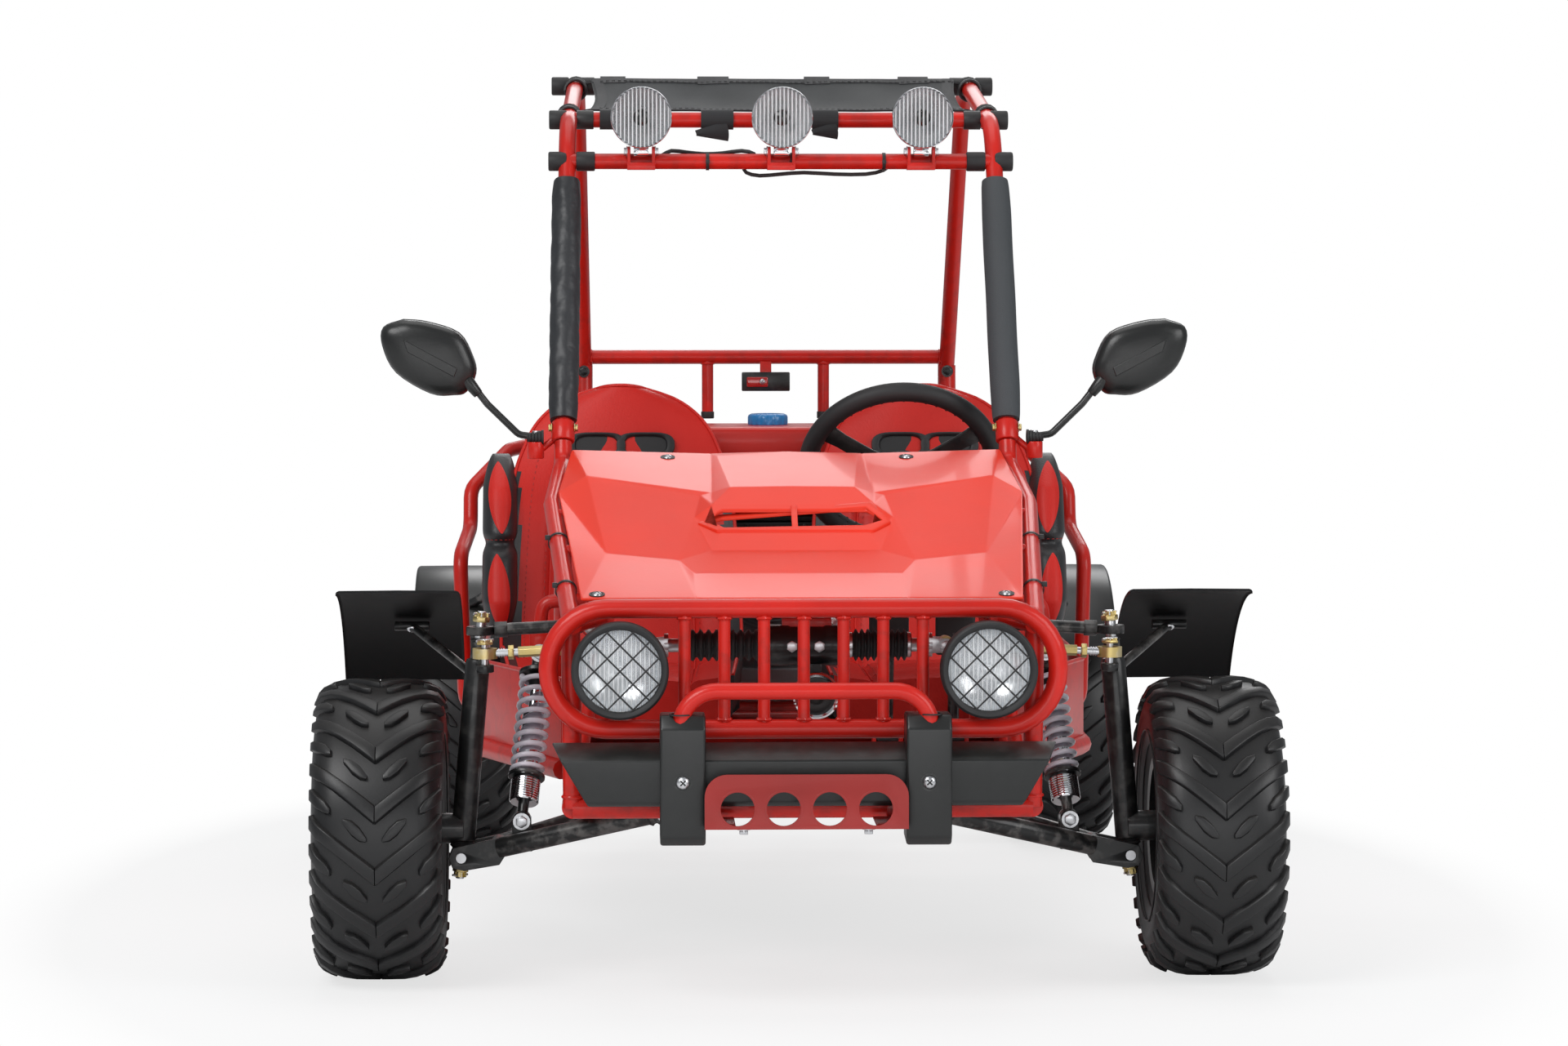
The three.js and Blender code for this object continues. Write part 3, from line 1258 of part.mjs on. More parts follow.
// Hood: a faceted sheet given by corners as shares of its half width, length and relief.
function hood() {
  const shares = [
    [0, 0, 0], [0.43, 0, 0], [0.894, 0, 0], [0, 0.15, 0.1], [0.43, 0.15, 0.1], [0.5, 0.244, 0.95], [0.794, 0.296, 0.85],
    [1, 0.696, 0], [0.876, 0.808, 0.95], [0.947, 1, 0], [0.42, 0.529, 0.95], [0.35, 0.685, 1.3], [0.4, 0.404, 0],
    [0, 0.404, -0.1], [0, 0.583, 1.25], [0.36, 0.583, 1.25], [0, 0.685, 1.3], [0.3, 0.96, 0.7], [0, 0.96, 0.8],
    [0.3, 1, 0.4], [0, 1, 0.45],
  ];
  const facets = [
    [0, 1, 4], [0, 4, 3], [1, 2, 6], [1, 6, 5], [1, 5, 4], [2, 7, 6], [6, 7, 8], [7, 9, 8], [6, 8, 11], [6, 11, 10],
    [6, 10, 5], [5, 10, 12], [4, 5, 12], [3, 4, 12], [3, 12, 13], [13, 12, 15], [13, 15, 14], [12, 10, 15], [10, 11, 15],
    [14, 15, 11], [14, 11, 16], [8, 9, 17], [9, 19, 17], [11, 8, 17], [16, 11, 17], [16, 17, 18], [18, 17, 19], [18, 19, 20],
  ];
  const points = [];
  const faces = [];
  const layers = [0, -hoodSheet];
  layers.forEach((drop) => [1, -1].forEach((side) => shares.forEach(([x, y, lift]) => {
    const place = hoodFrontY + hoodLength * y;
    points.push(side * hoodHalf * x, place, hoodZ(place) + hoodRelief * lift + drop);
  })));
  const count = shares.length;
  layers.forEach((drop, layer) => [0, 1].forEach((half) => facets.forEach(([a, b, c]) => {
    const base = (layer * 2 + half) * count;
    const outward = (layer + half) % 2 === 0;
    faces.push(base + a, base + (outward ? b : c), base + (outward ? c : b));
  })));
  const rim = [0, 1, 2, 7, 9, 19, 20];
  [0, 1].forEach((half) => rim.slice(1).forEach((b, i) => {
    const a = rim[i];
    const up = half * count;
    const down = (2 + half) * count;
    const quad = half === 0 ? [up + a, down + a, down + b, up + a, down + b, up + b] : [up + a, down + b, down + a, up + a, up + b, down + b];
    faces.push(...quad);
  }));
  const shape = new THREE.BufferGeometry();
  shape.setAttribute('position', new THREE.Float32BufferAttribute(points, 3));
  shape.setIndex(faces);
  const slots = sides.map(([, side]) => {
    const outline = [
      [side * slotBridge / 2, slotY - slotLength / 2], [side * slotHalf * 0.79, slotY - slotLength / 2],
      [side * slotHalf, slotY], [side * slotHalf * 0.82, slotY + slotLength / 2], [side * slotBridge / 2, slotY + slotLength / 2],
    ];
    return slab(outline, 'z', hoodFrontZ - overrun, hoodFrontZ + hoodRise + overrun);
  });
  piece('hood_panel', cut(solid(shape), slots), 'hoodPaint');
}

function rollCage() {
  const parts = [];
  sides.forEach(([, side]) => {
    const at = (x, y, z) => spot(side * x, y, z);
    const foot = mirrored(pillarAt(cageBaseZ), side);
    const collarTop = mirrored(pillarAt(cageBaseZ + collarLength), side);
    const post = at(postHalf, postBaseY, postBaseZ);
    parts.push(pipe([foot, at(roofFrontHalf, bendY, bendZ), at(roofRearHalf, rearBendY, rearBendZ), post], tubeR, tubeR * 8, 5));
    parts.push(rod(foot, collarTop, tubeR + collarWall, 10));
    parts.push(rod(post, at(postHalf, postBaseY, postBaseZ - tubeR * 1.5 + seatGap), railR, 6));
    [[lightBarY, lightBarZ], [roofFrontY, roofFrontZ], [roofRearY, roofRearZ]].forEach(([y, z]) => {
      parts.push(rod(at(crossTubeHalf - capLength, y, z), at(crossTubeHalf, y, z), crossTubeR + capWall, 5));
      if (y === lightBarY) parts.push(rod(at(roofFrontHalf - tubeR - capLength, y, z), at(roofFrontHalf, y, z), crossTubeR + capWall, 5));
    });
    parts.push(rod(at(stubX, postBaseY, rackZ), at(stubX, postBaseY, stubLow), slimR * 1.15, 5));
    parts.push(rod(at(stubX, postBaseY, stubLow + stubFoot), at(stubX, postBaseY, stubLow), slimR * 1.7, 10));
    parts.push(mirrorEar(side));
  });
  [[lightBarY, lightBarZ], [roofFrontY, roofFrontZ], [roofRearY, roofRearZ]].forEach(([y, z]) => {
    parts.push(pin(spot(0, y, z), xAxis, crossTubeHalf - plate, crossTubeR, 5));
  });
  parts.push(pin(spot(0, postBaseY, rackZ), xAxis, postHalf, crossTubeR, 5));
  parts.push(span(spot(-plate * 1.6, postBaseY - tubeR, tailPlateLow + plate), spot(plate * 1.6, postBaseY - tubeR + plate * 0.6, rackZ)));
  [-1, 0, 1].forEach((place) => {
    const x = place * roofLampX;
    parts.push(span(
      spot(x - studR * 3, roofLampPivotY - studR, lightBarZ - crossTubeR * 0.5),
      spot(x + studR * 3, lightBarY, lightBarZ - crossTubeR * 0.2),
    ));
    [-1, 1].forEach((face) => {
      const out = x + face * (studR * 2.6);
      parts.push(span(
        spot(out - plate * 0.4, roofLampPivotY - studR, lightBarZ - crossTubeR * 0.5),
        spot(out + plate * 0.4, roofLampPivotY + studR * 1.5, roofLampPivotZ + studR),
      ));
    });
    parts.push(pin(spot(x, roofLampPivotY, roofLampPivotZ), xAxis, studR * 3.3, studR * 0.6, 5));
  });
  piece('roll_cage', join(parts), 'tubePaint');
}

// Bracket on the pillar's foot with a socket pin for the mirror stalk.
function mirrorEar(side) {
  const foot = mirrored(pillarAt(cageBaseZ + collarLength / 2), side);
  const hinge = spot(side * mirrorPivotX, mirrorPivotY, mirrorPivotZ);
  const arm = rod(foot, spot(hinge.x, hinge.y, hinge.z - slimR * 1.8), slimR * 0.57, 6);
  const socket = rod(spot(hinge.x, hinge.y, hinge.z - slimR * 2.6), spot(hinge.x, hinge.y, hinge.z + slimR * 0.4), slimR * 1.5, 8);
  const post = rod(hinge, spot(hinge.x, hinge.y, hinge.z + slimR * 2.4), studR * 0.7, 5);
  return join(arm, socket, post);
}

function mirrors() {
  sides.forEach(([word, side]) => {
    const hinge = spot(side * mirrorPivotX, mirrorPivotY, mirrorPivotZ + slimR * 0.4 + seatGap);
    const boot = rod(hinge, spot(hinge.x, hinge.y, hinge.z + slimR * 3), slimR * 1.4, 10, mirrorStalkR * 1.4);
    const elbow = spot(hinge.x + side * slimR, hinge.y, hinge.z + slimR * 3.4);
    const root = spot(side * (mirrorHeadX - mirrorHalfWidth * 0.62), mirrorPivotY, mirrorHeadZ - mirrorHalfHeight * 0.66);
    const stalk = pipe([spot(hinge.x, hinge.y, hinge.z + slimR * 2), elbow, root], mirrorStalkR, mirrorStalkR, 6);
    const headShares = [[-0.78, -0.9], [-1, -0.35], [-0.62, 0.42], [0.24, 0.98], [0.96, 0.66], [1, 0.1], [0.7, -0.66], [0.05, -1]];
    const shape = new THREE.Shape(headShares.map(([u, v]) => {
      const x = mirrorHeadX + mirrorHalfWidth * u;
      return new THREE.Vector2(side * x, mirrorHeadZ + mirrorHalfHeight * v);
    }));
    const rounding = { bevelThickness: mirrorDepth * 0.3, bevelSize: mirrorDepth * 0.22, bevelOffset: -mirrorDepth * 0.22, bevelSegments: 1 };
    const block = new THREE.ExtrudeGeometry(shape, { depth: mirrorDepth * 0.4, bevelEnabled: true, ...rounding });
    const forward = yAxis.clone().negate();
    block.applyMatrix4(new THREE.Matrix4().makeBasis(xAxis, zAxis, forward).setPosition(0, mirrorPivotY + mirrorDepth * 0.2, 0));
    const hole = rod(spot(hinge.x, hinge.y, hinge.z - slimR), spot(hinge.x, hinge.y, hinge.z + slimR * 2.4), clearing(studR * 0.7 + turnGap, 6), 6);
    piece(`mirror_${word}`, cut(join(boot, stalk, solid(block)), hole), 'blackPlastic');
  });
}

// A foam sleeve on each front pillar.
function pillarPads() {
  sides.forEach(([word, side]) => {
    const low = mirrored(pillarAt(padLow), side);
    const high = mirrored(pillarAt(padHigh), side);
    const reach = high.clone().sub(low).multiplyScalar(0.1);
    const bore = rod(low.clone().sub(reach), high.clone().add(reach), clearing(tubeR + turnGap, 8), 8);
    piece(`pillar_pad_${word}`, cut(rod(low, high, padR, 10), bore), 'foam');
  });
}

// Roof canvas: wraps the front roof tube, sags to the rear one and wraps that too.
function roofCanvas() {
  const wrap = crossTubeR + canvasHem;
  const front = [roofFrontY, roofFrontZ];
  const rear = [roofRearY, roofRearZ];
  const slope = Math.atan2(rear[1] - front[1], rear[0] - front[0]);
  const stations = [];
  for (let i = 0; i <= 4; i += 1) stations.push([front, Math.PI * 1.3 - (Math.PI * 0.8 - slope) * (i / 4)]);
  for (let i = 0; i <= 4; i += 1) stations.push([rear, Math.PI * 0.5 + slope - (Math.PI * 0.8 + slope) * (i / 4)]);
  const runs = [];
  stations.slice(0, 5).forEach(([hub, angle]) => runs.push([hub, angle, 0, 0]));
  for (let i = 1; i < 6; i += 1) runs.push([front, Math.PI / 2 + slope, i / 6, 1]);
  stations.slice(5).forEach(([hub, angle]) => runs.push([hub, angle, 0, 0]));
  const span3 = spot(0, rear[0] - front[0], rear[1] - front[1]);
  const surface = (lift) => (u, v) => {
    const [hub, angle, share, free] = runs[Math.round(v * (runs.length - 1))];
    const radius = wrap + lift;
    const across = (2 * u - 1) * canvasHalf;
    const sag = free * canvasSag * Math.sin(Math.PI * share) * (1 - 0.5 * (2 * u - 1) ** 2);
    const fold = free * canvasSag * 0.18 * Math.sin(u * Math.PI * 7 + share * 4);
    return spot(
      across,
      hub[0] + radius * Math.cos(angle) + span3.y * share,
      hub[1] + radius * Math.sin(angle) + span3.z * share - sag + fold,
    );
  };
  piece('roof_canvas', padSolid(10, runs.length - 1, surface(canvasSheet), surface(0)), 'cloth');
}

// Seat: a bucket swept from the cushion's front edge up the back, with bolsters, channels and a round top.
function seat(name, side) {
  const spine = new THREE.CatmullRomCurve3([
    spot(0, seatFrontY, seatCushionZ - seatThick * 0.1),
    spot(0, seatFrontY + seatHalf * 0.9, seatCushionZ),
    spot(0, seatBackY - seatHalf * 0.5, seatCushionZ - seatThick * 0.2),
    spot(0, seatBackY - seatThick * 0.1, seatCushionZ + seatThick * 0.5),
    spot(0, seatBackY + seatThick * 0.5, seatCushionZ + seatHalf * 1.1),
    spot(0, seatTopY, seatTopZ),
  ]);
  const halfAt = (v) => {
    const top = Math.max(0, (v - 0.72) / 0.28);
    return seatHalf * (0.96 + 0.12 * Math.sin(Math.PI * Math.min(1, v * 1.15))) * Math.sqrt(Math.max(0.05, 1 - top ** 2.4));
  };
  const frontFace = (u, v) => {
    const across = 2 * u - 1;
    const here = spine.getPointAt(v);
    const run = spine.getTangentAt(v);
    const out = spot(0, -run.z, run.y).multiplyScalar(Math.sign(run.y + run.z));
    const edge = Math.abs(across) ** 3;
    const bolster = seatBolster * Math.max(0, (Math.abs(across) - 0.55) / 0.45) ** 1.5 * Math.sin(Math.PI * Math.min(1, v * 0.92 + 0.12)) ** 0.7;
    const channel = seatCrown * 0.35 * Math.cos(v * Math.PI * 10) * (Math.abs(across) < 0.6 ? 1 : 0);
    const crown = seatCrown * (1 - across * across) + channel + bolster - seatThick * 0.12 * edge;
    return here.addScaledVector(out, crown).setX(side * seatX + across * halfAt(v));
  };
  const backFace = (u, v) => {
    const across = 2 * u - 1;
    const here = spine.getPointAt(v);
    const run = spine.getTangentAt(v);
    const out = spot(0, -run.z, run.y).multiplyScalar(Math.sign(run.y + run.z));
    const depth = seatThick * (1 - 0.45 * across ** 4) * (v > 0.45 ? 0.7 : 1);
    const floor = crossZ + tubeR + seatGap * 2;
    here.addScaledVector(out, -depth).setX(side * seatX + across * halfAt(v) * 0.97);
    here.z = Math.max(here.z, floor);
    return here;
  };
  piece(name, padSolid(8, 16, frontFace, backFace), 'vinyl');
}

// Floor frame: rails, cross tubes, pan, side sheets and hoops, rear uprights and brackets.
function floorFrame() {
  const parts = [];
  const outer = [[cageHalf, floorFrontY], [floorHalf, floorWideY], [floorHalf, floorRearY], [postHalf, rearCrossY]];
  sides.forEach(([, side]) => {
    const at = (x, y, z) => spot(side * x, y, z);
    parts.push(pipe([
      ...outer.map(([x, y]) => at(x, y, crossZ)), at(postHalf, postBaseY, crossZ + overrun * 2), at(postHalf, postBaseY, postBaseZ - tubeR * 1.5),
    ], railR, railR * 4));
    parts.push(pipe([
      at(postHalf, postBaseY - tubeR, hoopRootZ), at(hoopBendX, hoopBendY, hoopBendZ), at(hoopTopX, hoopTopY, hoopTopZ),
      at(hoopTopX, hoopTopY - overrun / 2, hoopKneeZ), at(hoopOutX, hoopOutY, hoopOutZ),
      at(hoopOutX - railR / 2, hoopOutY - railR, crossZ + railR * 2), at(floorHalf, hoopOutY - railR, crossZ),
    ], tubeR * 0.9, tubeR * 3));
    const run = spot(floorHalf - cageHalf, floorWideY - floorFrontY, 0);
    const turn = Math.atan2(run.x, run.y);
    const low = spot(cageHalf, floorFrontY, crossZ);
    const length = run.length();
    const front = new THREE.BoxGeometry(panSheet, length, sheetTop - crossZ).translate(0, length / 2, (sheetTop - crossZ) / 2);
    front.rotateZ(-side * turn).translate(side * low.x, low.y, low.z);
    parts.push(solid(front));
    parts.push(span(
      spot(side * floorHalf - panSheet / 2, floorWideY - panSheet, crossZ),
      spot(side * floorHalf + panSheet / 2, floorRearY - railR, sheetTop),
    ));
    parts.push(pin(spot(side * (swingHalf + plate / 2 + turnGap), swingPivotY, swingPivotZ), xAxis, plate / 2, swingTubeR, 10));
    parts.push(rod(
      spot(side * (swingHalf + turnGap), swingPivotY, swingPivotZ),
      spot(side * (swingHalf - overrun * 0.7), swingPivotY, swingPivotZ), pinR, 8,
    ));
    parts.push(span(
      spot(Math.min(side * (swingHalf + turnGap), side * (swingHalf + turnGap + plate)), rearCrossY, swingPivotZ - swingTubeR),
      spot(Math.max(side * (swingHalf + turnGap), side * (swingHalf + turnGap + plate)), swingPivotY, swingPivotZ + swingTubeR),
    ));
    parts.push(rod(at(tankHalf * 0.6, postBaseY, tankTubeZ), at(tankHalf * 0.6, tankFrontY + overrun, tankTubeZ), tubeR * 0.8, 5));
    const strutX = mufflerX + mufflerR + tubeR * 1.5;
    parts.push(pipe([
      at(tankHalf * 0.6, tankFrontY + overrun, tankTubeZ), at(strutX, tankFrontY + tubeR, tankTubeZ), at(strutX, floorRearY, crossZ),
    ], tubeR * 0.8, tubeR * 3));
  });
  const pan = [...outer.slice(0, 3), [floorHalf, floorRearY]];
  const outline = [...pan.slice(0, 3).map(([x, y]) => [x, y]), ...pan.slice(0, 3).reverse().map(([x, y]) => [-x, y])];
  const panTop = crossZ - railR * 0.7;
  parts.push(slab(outline, 'z', panTop - panSheet, panTop));
  [[floorFrontY + railR, cageHalf], [seatTubeFrontY, floorHalf], [seatTubeRearY, floorHalf], [floorRearY, floorHalf]].forEach(([y, half]) => {
    parts.push(pin(spot(0, y, crossZ), xAxis, half, tubeR, 5));
  });
  parts.push(pin(spot(0, engineTubeY, crossZ), xAxis, floorHalf - overrun, tubeR, 5));
  parts.push(pin(spot(0, rearCrossY, crossZ), xAxis, postHalf, tubeR, 5));
  parts.push(pin(spot(0, postBaseY, tankTubeZ), xAxis, postHalf, tubeR, 5));
  const ears = [-1, 1].map((end) => {
    const low = spot(end * shockEarOut, postBaseY, rearShockHighZ - shockEyeR);
    return span(low, spot(end * (shockEarOut + plate), rearShockHighY + shockEyeR, tankTubeZ + tubeR));
  });
  parts.push(...ears, pin(rearShockHigh, xAxis, shockEarOut + plate, shockPinR, 5));
  piece('floor_frame', join(parts), 'tubePaint');
}

function tank() {
  const low = [-tankHalf, tankFrontY];
  const high = [tankHalf, tankRearY];
  const outline = [];
  [[high[0], high[1], 0], [low[0], high[1], 1], [low[0], low[1], 2], [high[0], low[1], 3]].forEach(([x, y, quarter]) => {
    for (let i = 0; i <= 3; i += 1) {
      const angle = (Math.PI / 2) * (quarter + i / 3);
      const inX = x - Math.sign(x) * tankCorner;
      const inY = y - (y === high[1] ? 1 : -1) * tankCorner;
      outline.push([inX + tankCorner * Math.cos(angle), inY + tankCorner * Math.sin(angle)]);
    }
  });
  const shell = slab(outline, 'z', tankLow, tankHigh);
  const neck = rod(spot(0, fillerY, tankHigh - plate), spot(0, fillerY, tankHigh + capHeight * 0.6), tankNeckR, 12);
  const saddle = span(spot(-tankHalf * 0.8, tankFrontY + tankCorner, tankTubeZ + tubeR * 0.8 + seatGap), spot(tankHalf * 0.8, tankRearY - tankCorner, tankLow + plate));
  piece('fuel_tank', join(shell, neck, saddle), 'hoodPaint');
  const capLow = tankHigh + seatGap;
  const lid = rod(spot(0, fillerY, capLow), spot(0, fillerY, capLow + capHeight), capR, 10);
  const mouth = rod(spot(0, fillerY, capLow - plate), spot(0, fillerY, capLow + capHeight * 0.7), clearing(tankNeckR + turnGap, 12), 12);
  piece('fuel_cap', cut(lid, mouth), 'capPlastic');
}

function engine() {
  const centre = spot(0, crankY, crankZ);
  const crank = pin(centre, xAxis, crankHalf, crankR, 10);
  const feet = [engineTubeY, rearCrossY].map((y) => span(
    spot(-crankHalf * 0.5, Math.min(y, crankY) - plate, crossZ + tubeR + seatGap),
    spot(crankHalf * 0.5, Math.max(y, crankY) + plate, crankZ - crankR * 0.5),
  ));
  const tilt = spot(0, -Math.cos(degrees(48)), Math.sin(degrees(48)));
  const head = centre.clone().addScaledVector(tilt, barrelReach);
  const barrel = rod(centre, head, barrelR, 8);
  const discs = [];
  for (let i = 0; i < fins; i += 1) {
    const at = centre.clone().addScaledVector(tilt, crankR + ((barrelReach - crankR) * (i + 0.5)) / fins);
    discs.push(pin(at, tilt, plate * 0.4, finR, 8));
  }
  const cover = pin(spot(-crankHalf, crankY, crankZ), xAxis, plate * 3, crankR * 0.7, 8);
  const outlet = head.clone().addScaledVector(tilt, -barrelR * 0.6);
  const mufflerStart = spot(-mufflerX, crankY - overrun, mufflerZ);
  const exhaust = pipe([outlet, spot(-mufflerX, outlet.y, outlet.z), mufflerStart], slimR * 1.8, slimR * 4, 8);
  const muffler = rod(mufflerStart, spot(-mufflerX, crankY - overrun + mufflerLength, mufflerZ), mufflerR, 8);
  piece('engine', join(crank, feet, barrel, discs, cover, exhaust, muffler), 'alloy');
}

function tailLamp() {
  const face = postBaseY - tubeR - seatGap;
  const panel = span(spot(-tailPlateHalf, face - plate * 1.6, tailPlateLow), spot(tailPlateHalf, face, tailPlateHigh));
  const bolt = pin(spot(0, face - plate * 1.6, (tailPlateLow + tailPlateHigh) / 2), yAxis, plate * 0.6, studR * 0.7, 6);
  piece('tail_lamp', join(panel, bolt), 'blackPlastic');
}

// Headlamp: bowl, rubber ring and lens about Y, with a neck back to the tilt pin.
function headlamps() {
  sides.forEach(([word, side]) => {
    const front = spot(side * headX, headFront, headZ);
    const profile = [
      [0, plate], [headRingR - plate, 0], [headRingR, plate * 0.8], [headRingR, headRing],
      [headBowlR, headRing + plate * 0.6], [headBowlR * 0.7, headDepth * 0.9], [0, headDepth],
    ];
    const bowl = solid(turned(profile, 14, front, yAxis));
    const neckEnd = spot(front.x, headPivotY, headZ);
    const neck = rod(spot(front.x, headFront + headDepth - plate, headZ), neckEnd, studR * 1.4, 8);
    const knuckle = pin(neckEnd, xAxis, studR * 2 - turnGap, studR * 1.5, 8);
    const hole = pin(neckEnd, xAxis, overrun, clearing(studR * 0.7 + turnGap, 6), 6);
    piece(`headlamp_${word}`, cut(join(bowl, neck, knuckle), hole), 'glass');
  });
}

function roofLamps() {
  [['right', -1], ['centre', 0], ['left', 1]].forEach(([word, place]) => {
    const x = place * roofLampX;
    const front = spot(x, roofLampFront, roofLampZ);
    const profile = [
      [0, plate * 0.6], [roofLampR, 0], [roofLampR, roofLampDepth * 0.3],
      [roofLampR * 0.9, roofLampDepth * 0.55], [roofLampR * 0.55, roofLampDepth * 0.88], [0, roofLampDepth],
    ];
    const bullet = solid(turned(profile, 12, front, yAxis));
    const pivot = spot(x, roofLampPivotY, roofLampPivotZ);
    const lug = pin(pivot, xAxis, studR * 1.6, studR * 1.3, 8);
    const neck = rod(pivot, spot(x, roofLampPivotY, roofLampZ), studR, 8);
    const hole = pin(pivot, xAxis, overrun, clearing(studR * 0.6 + turnGap, 6), 6);
    piece(`roof_lamp_${word}`, cut(join(bullet, lug, neck), hole), 'chrome');
  });
}

// Lamp lead: from the outer lamp's bracket in a sag to the middle one, then under the bar to the other.
function lampLead() {
  const back = lightBarY + crossTubeR * 0.9 + leadR + seatGap;
  const route = [
    spot(-152, back, 979), spot(-140, back + 6, 985), spot(-120, back + 8, 983), spot(-98, back + 8, 981), spot(-74, back + 8, 982),
    spot(-50, back + 6, 985), spot(-34, back + 2, 981), spot(-33, back, 972), spot(-46, back, 965), spot(-44, back - 1, 957), spot(-27, back - 3, 953), spot(0, back - 4, 955),
    spot(30, back - 4, 957), spot(70, back - 4, 955), spot(109, back - 3, 955), spot(132, back - 1, 960), spot(143, back, 969), spot(150, back, 978),
  ];
  const curve = new THREE.CatmullRomCurve3(route);
  const points = curve.getPoints(21);
  const path = new RingPath(points);
  const shape = new THREE.ExtrudeGeometry(roundShape(leadR, 5), { steps: points.length - 1, extrudePath: path, bevelEnabled: false });
  piece('lamp_lead', solid(shape), 'rubber');
}

frontFrame();
floorFrame();
nose();
skidPlatePiece();
hood();
rollCage();
pillarPads();
roofCanvas();
seat('seat_left', 1);
seat('seat_right', -1);
tank();
engine();
tailLamp();
rearFenders();
rackHousing();
lampLead();
steeringWheel();
steeringShaft();
rackBar();
tieRods();
lowerArms();
upperArms();
ballJoints();
knuckles();
frontFenders();
frontWheels();
shocks();
rearAxle();
swingArm();
headlamps();
roofLamps();
mirrors();
pedal('throttle_pedal', throttleX);
pedal('brake_pedal', brakeX);

export default kart;
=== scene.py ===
"""Two-seat off road go kart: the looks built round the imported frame."""

import math

import bpy
import json
from bpy.props import FloatProperty, FloatVectorProperty, IntProperty, PointerProperty
from mathutils import Matrix, Vector

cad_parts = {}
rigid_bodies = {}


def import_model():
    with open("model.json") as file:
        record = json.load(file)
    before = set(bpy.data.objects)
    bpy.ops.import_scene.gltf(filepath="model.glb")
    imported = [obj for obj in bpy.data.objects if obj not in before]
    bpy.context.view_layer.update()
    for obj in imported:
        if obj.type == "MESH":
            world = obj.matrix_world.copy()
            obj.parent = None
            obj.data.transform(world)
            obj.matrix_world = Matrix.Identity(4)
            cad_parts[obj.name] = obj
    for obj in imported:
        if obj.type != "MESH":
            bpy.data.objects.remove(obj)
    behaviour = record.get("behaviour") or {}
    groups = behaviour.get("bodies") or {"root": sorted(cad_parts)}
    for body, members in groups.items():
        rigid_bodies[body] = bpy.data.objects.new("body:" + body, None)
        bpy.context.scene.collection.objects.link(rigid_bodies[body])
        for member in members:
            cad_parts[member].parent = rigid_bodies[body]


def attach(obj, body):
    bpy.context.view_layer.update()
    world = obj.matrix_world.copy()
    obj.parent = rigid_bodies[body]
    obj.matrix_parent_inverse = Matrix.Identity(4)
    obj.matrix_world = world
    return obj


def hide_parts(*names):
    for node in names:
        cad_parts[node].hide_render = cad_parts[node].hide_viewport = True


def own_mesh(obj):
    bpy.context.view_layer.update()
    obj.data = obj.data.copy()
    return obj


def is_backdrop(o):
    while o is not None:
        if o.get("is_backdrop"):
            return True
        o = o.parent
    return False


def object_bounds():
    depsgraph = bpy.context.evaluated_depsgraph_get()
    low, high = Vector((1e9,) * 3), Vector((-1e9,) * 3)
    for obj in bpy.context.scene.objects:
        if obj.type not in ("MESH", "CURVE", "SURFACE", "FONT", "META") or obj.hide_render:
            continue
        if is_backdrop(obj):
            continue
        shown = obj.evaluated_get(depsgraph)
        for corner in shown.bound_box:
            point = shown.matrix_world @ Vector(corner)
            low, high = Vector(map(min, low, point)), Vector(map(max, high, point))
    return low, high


bl_info = {
    "name": "Off Road Kart",
    "version": (1, 0, 0),
    "blender": (4, 5, 0),
    "location": "View3D > Sidebar > Kart",
    "description": "Builds the visible pieces of a two-seat off road kart round its packed frame",
    "category": "Object",
}

for spare in list(bpy.data.objects):
    bpy.data.objects.remove(spare)
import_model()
cad_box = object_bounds()

# Lengths in the tables below are millimetres. Y is counted from the front axle, and the frame is centred on it.
MM = 0.001
AXLE_SHIFT = -584.75
X, Y, Z = (Vector(axis) for axis in ((1, 0, 0), (0, 1, 0), (0, 0, 1)))
SIDES = (("left", 1), ("right", -1))
FRONT = Vector((0, -1, 0))
# Height of the wheels' centres, the rear axle's place, and each tyre's middle from the kart's
WHEEL_Z, REAR_Y, FRONT_TRACK, REAR_TRACK = 177.5, 1310, 489, 429


def at(x, y, z):
    """A point given in millimetres from the front axle, as a place in the frame."""
    return Vector((x * MM, (y + AXLE_SHIFT) * MM, z * MM))


def colour(name, text, value):
    return FloatVectorProperty(name=name, description=text, default=value, subtype="COLOR", size=3, min=0, max=1)


def length(name, text, value):
    return FloatProperty(name=name, description=text, default=value, subtype="DISTANCE", unit="LENGTH", min=0)


class KART_PG_colours(bpy.types.PropertyGroup):
    """Colours of the kart."""

    hood: colour("Hood", "Bright red of the hood", (0.80, 0.036, 0.014))
    tubes: colour("Tubes", "Deeper red of the welded tubes", (0.58, 0.014, 0.008))
    plate: colour("Skid plate", "Dark red of the skid plate", (0.30, 0.011, 0.008))
    black: colour("Black plastic", "Bumper, fenders and mirrors", (0.011, 0.012, 0.012))
    tyre: colour("Tyre", "Tyre rubber", (0.0075, 0.0076, 0.0084))
    steel: colour("Black steel", "Arms, knuckles and rims", (0.012, 0.0125, 0.013))
    spring: colour("Spring", "Pale paint of the springs", (0.70, 0.665, 0.74))
    zinc: colour("Zinc", "Yellow zinc of tie rods and ball joints", (0.60, 0.47, 0.19))
    vinyl: colour("Vinyl", "Red seat vinyl", (0.60, 0.020, 0.014))
    vinyl_dark: colour("Dark vinyl", "Black seat vinyl", (0.016, 0.016, 0.018))
    canvas: colour("Canvas", "Roof cloth", (0.014, 0.016, 0.018))
    foam: colour("Foam", "Pillar pads", (0.052, 0.059, 0.065))
    cap: colour("Cap", "Blue fuel cap", (0.021, 0.25, 0.62))


